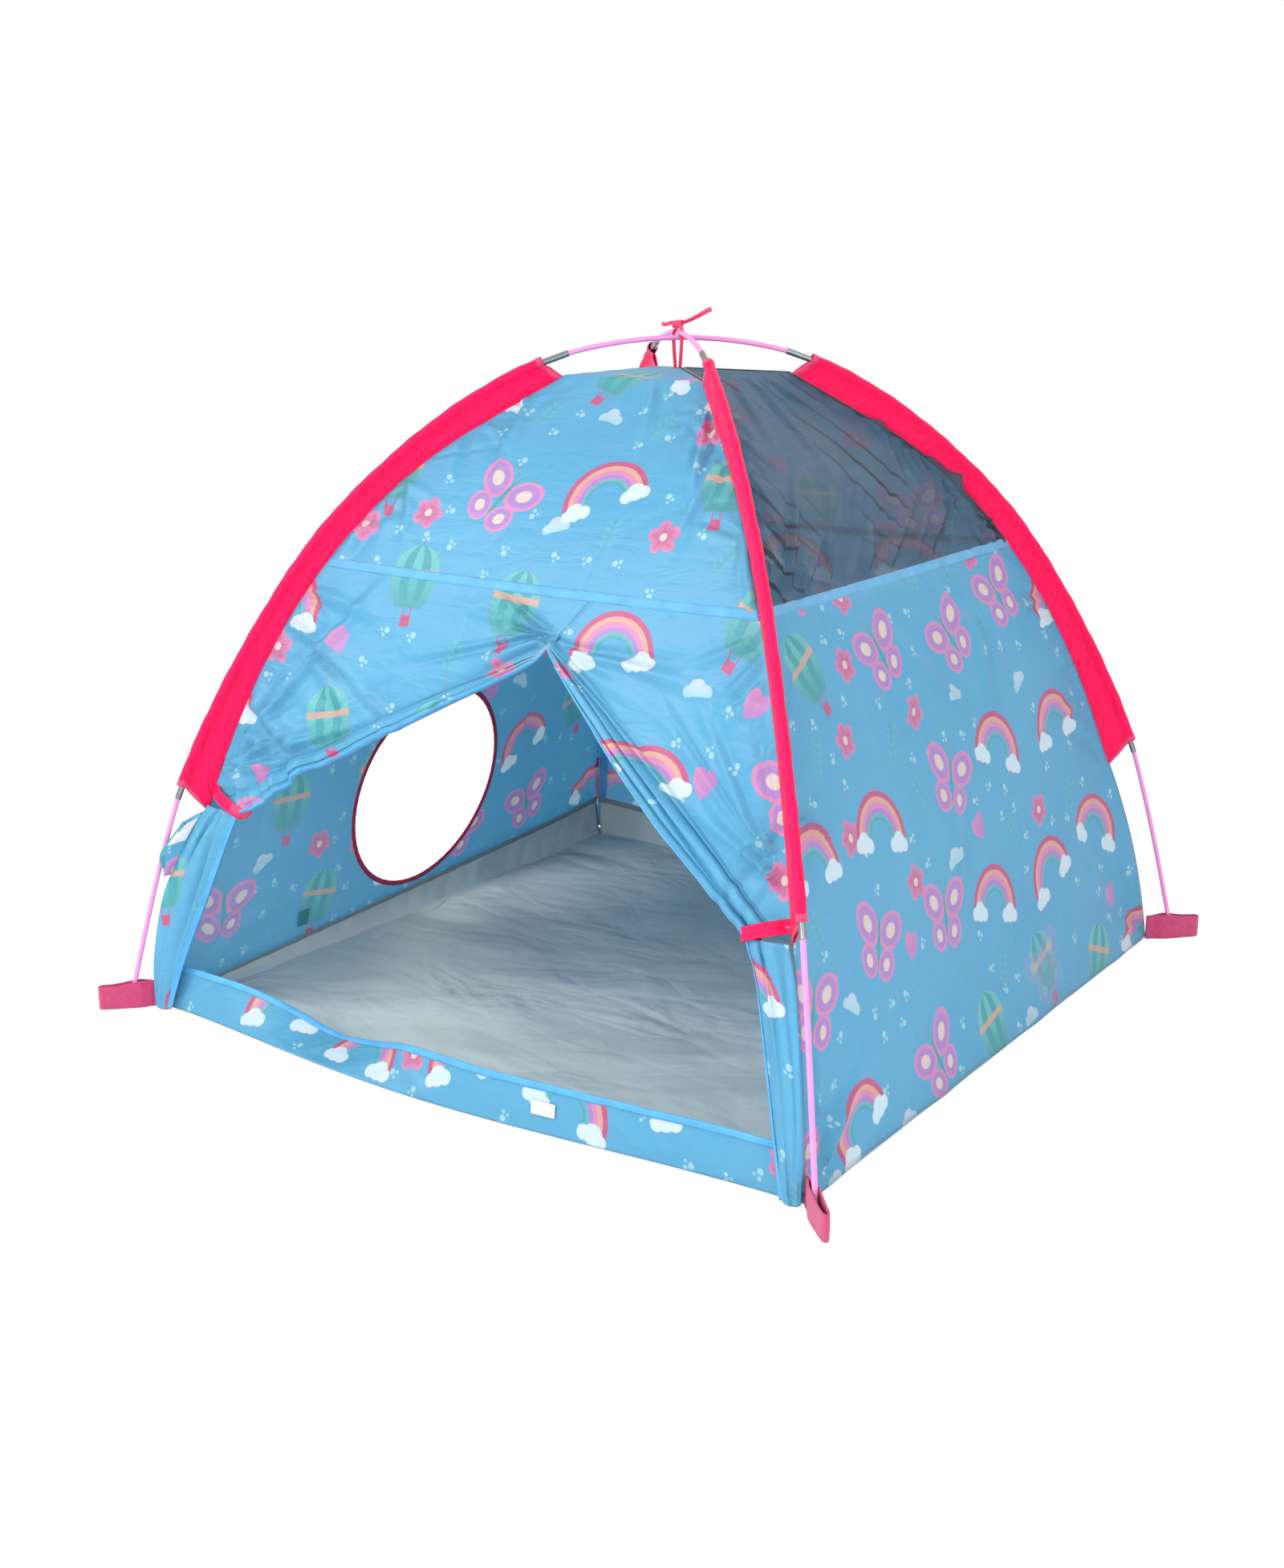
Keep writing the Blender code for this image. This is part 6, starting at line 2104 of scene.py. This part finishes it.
def smooth_line(points: list | tuple, count: int) -> Array:
    """A smooth line through a few points.

    Args:
        points: The points.
        count: How many places the line gets.

    Returns:
        The places by 3.
    """
    points = np.array(points, float)
    ghost = np.concatenate([[2 * points[0] - points[1]], points, [2 * points[-1] - points[-2]]])
    spot = np.linspace(0, len(points) - 1 - 1e-9, count)
    i = spot.astype(int)
    f = (spot - i)[:, None]
    a, b, c, d = ghost[i], ghost[i + 1], ghost[i + 2], ghost[i + 3]
    return 0.5 * (2 * b + (c - a) * f + (2 * a - 5 * b + 4 * c - d) * f**2 + (3 * b - a - 3 * c + d) * f**3)


@dataclass
class Trim:
    """The webbing pockets and the ribbon at the crossing."""

    shop: Workshop

    def band(self, name: str, points: Array, finish: Finish, slot: str, thickness: float, *nodes: str,
             body: str = "root") -> Piece:
        """Dress a band and hand it over.

        Args:
            name: The piece's name.
            points: Its grid, from strip.
            finish: Its finish.
            slot: Its slot in the frame.
            thickness: Its thickness.
            nodes: The CAD nodes that it stands for.
            body: The body that it rides on.

        Returns:
            The piece.
        """
        cloth = flat_places(run_length(points[0]), run_length(points[:, 0]))
        made = self.shop.sheet(name, points, cloth, finish, thickness=thickness)
        return self.shop.hand_over(made, slot, *nodes, body=body)

    def pocket(self, corner: Corner) -> None:
        """A folded loop of webbing on edge that the pole's tip stands in.

        Args:
            corner: Its corner.
        """
        out, side = corner.out, np.cross(UP, corner.out)
        start, full = CORNER_RADIUS + SEAT_GAP, POLE_RADIUS + SEAT_GAP + 0.0022
        end = start + POCKET_LENGTH
        half = ((start, 0.0022), (start + 0.014, 0.0030), (start + 0.032, full + 0.0002),
                (start + 0.052, full + 0.0008), (start + 0.074, full), (end - 0.008, full * 0.86),
                (end - 0.0022, full * 0.5))
        line = smooth_line([(r, -w, 0) for r, w in half] + [(end, 0, 0)] + [(r, w, 0) for r, w in reversed(half)], 150)
        run = (line[:, 0] - start) / POCKET_LENGTH
        f = np.linspace(0, 1, 15)[:, None]
        high = POCKET_HEIGHT - 0.007 * run**2 - 0.0012 * np.cos(run * 9)
        z = 0.0006 + (high - 0.0006) * f
        bulge = 0.0007 * np.sin(np.pi * f) * np.sign(line[:, 1]) * smooth_step(run / 0.2)
        points = out * line[:, :1] + side * (line[:, 1] + bulge)[..., None] + UP * z[..., None]
        name = f"{corner.label}_pocket"
        self.band(f"{name}_webbing", points, Finish.WEBBING, "webbing", 0.0019, name)
        normal = grid_normals(points)[1:-1]
        for label, column in (("near", 12), ("far", -13)):
            row = self.shop.stitches(f"{name}_stitches_{label}", points[1:-1, column] + normal[:, column] * 0.0002,
                                     normal[:, column], Finish.THREAD_PINK, pitch=0.0036, long=0.0026, wide=0.0009)
            self.shop.hand_over(row, "webbing")

    def ribbon_part(self, name: str, points: Array, thickness: float, *nodes: str) -> None:
        """Make one of the ribbon's bands."""
        self.band(f"apex_{name}", points, Finish.RIBBON, "sleeve_cloth", thickness, *nodes)

    def ribbon(self, over: float) -> None:
        """Two strands from the cloth's apex over the crossing, with a knot on top.

        Args:
            over: The height of the strands' middle line where they cross the poles.
        """
        top = APEX_HEIGHT - 0.006
        loop = ((-0.0045, -0.002, top), (-0.0055, -0.003, mix(top, over, 0.3)), (-0.0078, -0.003, over - 0.012),
                (-0.0070, -0.001, over - 0.003), (-0.003, 0, over), (0.003, 0, over), (0.0070, 0.001, over - 0.003),
                (0.0082, -0.003, over - 0.012), (0.0066, -0.004, mix(top, over, 0.3)), (0.0042, -0.003, top))
        broad = np.array((0.25, 1.0, 0.0)) + 0.5 * np.sin(np.linspace(0, 9, 120))[:, None] * np.array((1.0, 0, 0))
        strands = strip(smooth_line(loop, 120), broad, 0.0058, 5, 0.0004)
        self.ribbon_part("ribbon_strands", strands, 0.0008, "apex_ribbon_loop")
        middle = over + 0.0068
        turn = np.linspace(0, 2 * math.pi * 2.2, 150)
        grow = 1 - 0.16 * np.cos(turn * 0.9)
        knot = np.stack([0.0040 * np.sin(turn * 0.45 + 0.4), 0.0062 * np.cos(turn) * grow,
                         middle + 0.0058 * np.sin(turn) * grow], axis=1)
        self.ribbon_part("knot_wrap", strip(knot, np.array((1.0, 0.12, 0.1)), 0.0084, 7, 0.0009), 0.0010,
                         "apex_ribbon_knot")
        core = smooth_line(((-0.0065, 0, middle - 0.001), (-0.002, 0.0005, middle), (0.003, -0.0005, middle),
                            (0.007, 0, middle + 0.001)), 24)
        made = self.shop.tube("apex_knot_core", core, 0.0045 * np.sin(np.linspace(0.5, 2.6, 24)), Finish.RIBBON)
        self.shop.hand_over(made, "sleeve_cloth")

    def ribbon_tails(self, over: float) -> None:
        """The long and the short tail of the ribbon's knot, and the one that hangs.

        Args:
            over: The height of the strands' middle line where they cross the poles.
        """
        lift = over + 0.008
        twist = np.array((0.2, -0.5, 1.0)) + np.linspace(0, 1.0, 60)[:, None] * np.array((0.3, 0.9, -0.2))
        tail = smooth_line(((0.004, 0.001, lift), (0.014, 0.006, lift + 0.004), (0.027, 0.013, lift + 0.011),
                            (0.040, 0.019, lift + 0.019), (0.047, 0.022, lift + 0.022)), 60)
        self.ribbon_part("long_tail", strip(tail, twist, np.linspace(0.0058, 0.0074, 60), 5, 0.0006), 0.0009,
                         "apex_ribbon_long_tail")
        tail = smooth_line(((-0.004, 0, lift), (-0.011, -0.004, lift + 0.0005), (-0.019, -0.007, lift - 0.002),
                            (-0.026, -0.009, lift - 0.001)), 40)
        self.ribbon_part("short_tail", strip(tail, np.array((0.1, 0.4, 1.0)), 0.0062, 5, 0.0005), 0.0009,
                         "apex_ribbon_short_tail")
        tail = smooth_line(((0.005, -0.006, over + 0.006), (0.011, -0.010, over + 0.001),
                            (0.017, -0.012, over - 0.008), (0.020, -0.013, over - 0.015)), 40)
        self.ribbon_part("third_tail", strip(tail, np.array((0.6, 0.2, 0.6)), 0.0060, 5, 0.0005), 0.0009)

    def build(self, crown: float) -> None:
        """Make all pockets and the ribbon."""
        for corner in Corner:
            self.pocket(corner)
        self.ribbon(crown + 0.0016)
        self.ribbon_tails(crown + 0.0016)


# Poles and sleeves
TIP_ROUNDING = np.array([[0.0022, 1.0], [0.0009, 0.86], [0.0, 0.45]])
FERRULE_SHAPE = np.array([[0.0, 0.93], [0.0004, 0.985], [0.0011, 1.0], [0.0022, 1.0], [0.33, 1.0], [0.345, 0.992],
                          [0.352, 0.965], [0.359, 0.992], [0.374, 1.0], [0.5, 1.0]])
SLEEVE_LOW_SHARE = 1 / 13


@dataclass
class Pole:
    """One sprung arch: its rods, the steel tubes that join them and the two sleeves that hold it."""

    shop: Workshop
    label: str
    arch: PoleArch
    out: Array

    @property
    def side(self) -> Array:
        """Square to the arch's plane."""
        return np.cross(UP, self.out)

    def places(self) -> list[float]:
        """Lengths from the first foot to each ferrule's middle."""
        near = [share * self.arch.half_length for share in FERRULE_SHARES]
        return near + [2 * self.arch.half_length - s for s in reversed(near)]

    def ends(self, place: float) -> Array:
        """The two ends of a ferrule."""
        half = FERRULE_LENGTH / 2
        return self.arch.point(self.out, np.array([place - half, place + half]))

    def rod(self, i: int) -> None:
        """A rod: straight inside its ferrules, bent between them, with softly rounded tips.

        Args:
            i: Its number along the pole.
        """
        places, half = self.places(), FERRULE_LENGTH / 2
        low = places[i - 1] + half if i else 0.0006
        high = places[i] - half if i < len(places) else 2 * self.arch.half_length - 0.0006
        line = self.arch.point(self.out, np.linspace(low, high, 42))
        radius = np.full(len(line), POLE_RADIUS)
        for end, ferrule in ((0, i - 1), (-1, i)):
            if 0 <= ferrule < len(places):
                near, far = self.ends(places[ferrule])
                tip = (near + far) / 2 + unit(far - near) * (SEAT_GAP if end == 0 else -SEAT_GAP)
                rings, sizes = tip[None], np.array([POLE_RADIUS])
            else:
                way = unit(line[end] - line[1 if end == 0 else -2])
                rings, sizes = line[end] - way * TIP_ROUNDING[:, :1], TIP_ROUNDING[:, 1] * POLE_RADIUS
                line, radius = (line[1:], radius[1:]) if end == 0 else (line[:-1], radius[:-1])
            if end == 0:
                line, radius = np.concatenate([rings[::-1], line]), np.concatenate([sizes[::-1], radius])
            else:
                line, radius = np.concatenate([line, rings]), np.concatenate([radius, sizes])
        name = f"{self.label}_rod_{i + 1}"
        made = self.shop.tube(f"{name}_bar", line, radius, Finish.POLE, sides=20, side=self.side)
        self.shop.hand_over(made, "pole", name)

    def ferrule(self, i: int) -> None:
        """A steel tube with rolled ends and a pressed ring that stops the rods at its middle.

        Args:
            i: Its number along the pole.
        """
        near, far = self.ends(self.places()[i])
        length = float(np.linalg.norm(far - near))
        marks, shape = FERRULE_SHAPE.T
        reach = np.where(marks > 0.01, marks * length, marks)
        reach = np.concatenate([reach, length - reach[-2::-1]])
        shape = np.concatenate([shape, shape[-2::-1]])
        line = near + (far - near) * (reach / length)[:, None]
        name = f"{self.label}_ferrule_{i + 1}"
        made = self.shop.tube(f"{name}_tube", line, FERRULE_RADIUS * shape, Finish.STEEL, sides=24,
                              side=self.side, bore=POLE_RADIUS + 0.0003)
        self.shop.hand_over(made, "ferrule", name)

    def build(self) -> None:
        """Make every rod and ferrule."""
        count = len(self.places())
        for i in range(count + 1):
            self.rod(i)
        for i in range(count):
            self.ferrule(i)


@dataclass
class Sleeve:
    """A sleeve of pink cloth: a loop round the pole, a flat double web in to the seam and a lined lower end."""

    shop: Workshop
    corner: Corner
    arch: PoleArch
    seam: CornerSeam
    stations: int = 170

    def frame(self, share: Array) -> tuple[Array, Array, Array]:
        """The pole's line, the seam's line and the arch's inward direction at shares of the sleeve.

        Args:
            share: Shares of the sleeve's length, from its lower end.

        Returns:
            Each as one vector for each share.
        """
        low = float(self.seam.heights[1]) - 0.03
        line = np.stack([self.seam.radii[1:-1], self.seam.heights[1:-1]], axis=1)
        line = np.concatenate([[[float(self.seam.radius(low)), low]], line])
        run = run_length(line)
        marks = np.where(share < SLEEVE_LOW_SHARE, share / SLEEVE_LOW_SHARE * run[1],
                         mix(run[1], run[-1] - 0.004, (share - SLEEVE_LOW_SHARE) / (1 - SLEEVE_LOW_SHARE)))
        inner = on_line(marks, run, line)
        length = mix(SLEEVE_FOOT_SHARE, SLEEVE_TOP_SHARE + 0.028, share) * self.arch.half_length
        out = self.corner.out
        pole = self.arch.point(out, length)
        near = out * inner[:, :1] + UP * inner[:, 1:]
        near = near - unit(pole - near) * 0.0022
        slope = self.arch.at(length)[2][:, None]
        return pole, near, out * -np.sin(slope) - UP * np.cos(slope)

    def section(self, share: Array, round_steps: int = 9, web_steps: int = 15) -> Array:
        """The sleeve's outline at each share: down one face, round the pole and back up the other.

        Args:
            share: Shares of the sleeve's length.
            round_steps: Steps half way round the pole.
            web_steps: Places along the flat web.

        Returns:
            Places round by shares by 3.
        """
        pole, near, inward_way = self.frame(share)
        side = np.cross(UP, self.corner.out)
        phase = np.random.default_rng(SEED + list(Corner).index(self.corner)).uniform(0, 6.28, 6)
        bore = (FERRULE_RADIUS + 0.0012) / math.cos(math.pi / 8) + 0.0008
        ease = bore * (1 + 0.05 * np.sin(share * 60 + phase[0]) + 0.04 * np.sin(share * 143 + phase[1]))
        web, reach = unit(near - pole), np.linalg.norm(near - pole, axis=1)
        f = np.linspace(0, 1, web_steps)[:, None]
        turn = np.radians(np.linspace(48, 180, round_steps + 1))[:, None, None]
        faces = []
        for hand in (1, -1):
            pucker = 0.0011 * np.sin(share * 96 + phase[2] + hand) * (1 - f) ** 1.4
            drag = 0.0009 * np.sin(share * 34 + f * 5 + phase[3] + hand) + 0.0006 * np.sin(share * 71 - f * 9)
            swell = (0.0015 * np.sin(np.pi * f) + drag * f + pucker * (f > 0)) * np.minimum(1.0, f * 4)
            swell = hand * np.maximum(0.0011 + swell, 0.0006)
            flat = pole + web * mix(reach, 2.0 * bore, f)[..., None] + side * swell[..., None]
            loop = pole + (inward_way * np.cos(turn) + side * (hand * np.sin(turn))) * ease[:, None]
            faces.append(np.concatenate([flat, loop]))
        return np.concatenate([faces[0], faces[1][-2::-1]])

    def build(self) -> None:
        """Make the sleeve and its hems."""
        label = self.corner.label
        points = self.section(np.linspace(0, 1, self.stations))
        cloth = flat_places(run_length(points[len(points) // 2]), run_length(points[:, 60]))
        made = self.shop.sheet(f"{label}_sleeve_cloth", points, cloth, Finish.HOT_PINK, Finish.PINK_LINING)
        self.shop.hand_over(made, "sleeve_cloth", f"{label}_sleeve")
        out = grid_normals(points)
        for end, part in (("lower", slice(0, 3)), ("upper", slice(-3, None))):
            hem = points[:, part] + out[:, part] * HEM_PROUD
            made = self.shop.sheet(f"{label}_sleeve_hem_{end}", hem, cloth[:, part], Finish.PINK_LINING,
                                   thickness=0.0006)
            self.shop.hand_over(made, "sleeve_cloth")


# How each cloth is held: its name, the way, what it hangs from or lies on, and what is sewn to it
CLOTHS = (
    *((f"{corner.label}_sleeve_cloth", "folded", (f"{arch}_arch_rod_{low}_bar", f"{arch}_arch_rod_{high}_bar"),
       (f"{corner.label}_sleeve_hem",))
      for corner, arch, low, high in ((Corner.FRONT_LEFT, "lower", 1, 3), (Corner.BACK_RIGHT, "lower", 5, 7),
                                      (Corner.FRONT_RIGHT, "upper", 1, 3), (Corner.BACK_LEFT, "upper", 5, 7))),
    ("back_lower_panel_cloth", "stretched", ("back_left_sleeve_cloth", "back_right_sleeve_cloth"),
     ("back_seam_band", "corner_tape")),
    ("right_lower_panel_cloth", "stretched", ("front_right_sleeve_cloth", "back_right_sleeve_cloth"),
     ("right_seam_band",)),
    ("left_lower_panel_cloth", "stretched", ("front_left_sleeve_cloth", "back_left_sleeve_cloth"),
     ("left_seam_band", "port_", "corner_tab", "left_wall_patch")),
    ("front_upper_panel_cloth", "stretched", ("front_left_sleeve_cloth", "front_right_sleeve_cloth"),
     ("front_seam_band", "slit_seam")),
    ("left_upper_panel_cloth", "stretched", ("front_left_sleeve_cloth", "back_left_sleeve_cloth")),
    ("back_upper_panel_cloth", "stretched", ("back_left_sleeve_cloth", "back_right_sleeve_cloth")),
    ("mesh_window_cloth", "stretched", ("front_right_sleeve_cloth", "back_right_sleeve_cloth"),
     ("mesh_window_tape",)),
    ("left_door_cloth", "gathered", ("front_left_sleeve_cloth", "front_upper_panel_cloth", "left_strap"),
     ("left_door_hem",)),
    ("right_door_cloth", "gathered", ("front_right_sleeve_cloth", "front_upper_panel_cloth", "right_strap"),
     ("right_door_hem",)),
    ("left_tail_cloth", "gathered", ("left_strap",), ("left_tail_hem", "left_flap_corner_")),
    ("right_tail_cloth", "gathered", ("right_strap",), ("right_tail_hem",)),
    ("left_flap_corner", "hung", ("left_tail_cloth",)),
    ("ground_sheet_cloth", "laid", ()),
    *((f"{name}_rim", "stretched", (f"{name}_lower_panel_cloth",), (f"{name}_rim_hem",))
      for name in ("back", "right", "left")),
    ("sill_cloth", "hung", ("ground_sheet_cloth",), ("sill_hem", "sill_stitches")),
)


# Floor, light and camera
# The name, place, size and power of each light
LIGHTS = (("key", (-1.8, -3.0, 2.9), 2.0, 104.0), ("fill", (3.2, -1.4, 2.0), 2.2, 36.0),
          ("front", (1.0, -3.8, 1.3), 1.6, 40.0), ("back", (0.5, 3.0, 2.8), 2.4, 34.0))


@dataclass(frozen=True)
class Studio:
    """A pale floor, plain soft light and the photograph's camera."""

    place: Triple = (1.7483, -2.6408, 1.2281)
    look: Triple = (-0.5458, 0.7926, -0.2717)
    lens: float = 45.0

    def build(self) -> None:
        """Set up the whole studio."""
        scene = bpy.context.scene
        camera = bpy.data.objects.new("camera", bpy.data.cameras.new("camera"))
        scene.collection.objects.link(camera)
        camera.data.lens, camera.data.sensor_width = self.lens, 36.0
        camera.location = self.place
        camera.rotation_mode = "QUATERNION"
        camera.rotation_quaternion = Vector(self.look).to_track_quat("-Z", "Y")
        scene.camera = camera
        scene.view_settings.view_transform = "Standard"
        self._world()
        self._floor()
        for name, place, size, power in LIGHTS:
            lamp = bpy.data.lights.new(name, "AREA")
            lamp.energy, lamp.size = power, size
            light = bpy.data.objects.new(name, lamp)
            light.location = place
            aim = Vector((0, 0, 0.4)) - Vector(place)
            light.rotation_mode = "QUATERNION"
            light.rotation_quaternion = aim.to_track_quat("-Z", "Y")
            scene.collection.objects.link(light)

    def _world(self) -> None:
        """A white background that lights the tent a little less than it shows."""
        sky = Sketch("studio", world=True)
        sky.set(Color=(0.96, 0.98, 1.0), Strength=1.0)
        sky.mix_in(sky.seen(), sky.node("Background", Color=WHITE).outputs[0])
        bpy.context.scene.world = sky.material

    def _floor(self) -> None:
        """A wide white floor that takes the tent's soft shadow."""
        deselect()
        bpy.ops.mesh.primitive_circle_add(vertices=96, radius=9.0, fill_type="NGON", location=(0, 0, -0.0015))
        floor = bpy.context.active_object
        floor.name = "studio_floor"
        k = Sketch("studio_floor")
        k.set(Base_Color=(0.93, 0.93, 0.93), Roughness=0.9, Specular_IOR_Level=0.0)
        k.mix_in(k.seen() * 0.62, k.node("Emission", Strength=1.3).outputs[0])
        floor.data.materials.append(k.material)


def main() -> None:
    """Build the tent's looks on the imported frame."""
    logging.basicConfig(level=logging.INFO, format="%(message)s")
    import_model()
    Studio().build()
    shop = Workshop()
    seam = CornerSeam(PoleArch(FOOT_RADIUS, ARCH_HEIGHT))
    lower = PoleArch(FOOT_RADIUS, ARCH_HEIGHT, SLEEVE_DRAW)
    upper = PoleArch(FOOT_RADIUS, ARCH_HEIGHT + 2 * POLE_RADIUS + SEAT_GAP, SLEEVE_DRAW)
    Pole(shop, "lower_arch", lower, Corner.FRONT_LEFT.out).build()
    Pole(shop, "upper_arch", upper, Corner.FRONT_RIGHT.out).build()
    for corner in Corner:
        arch = lower if corner in (Corner.FRONT_LEFT, Corner.BACK_RIGHT) else upper
        Sleeve(shop, corner, arch, seam).build()
    canopy = Canopy(shop, seam)
    canopy.build()
    DoorCloth(shop, canopy).build()
    Floor(shop, canopy).build()
    Trim(shop).build(upper.height[-1] + POLE_RADIUS)
    for row in CLOTHS:
        shop.declare(*row)


if __name__ == "__main__":
    main()
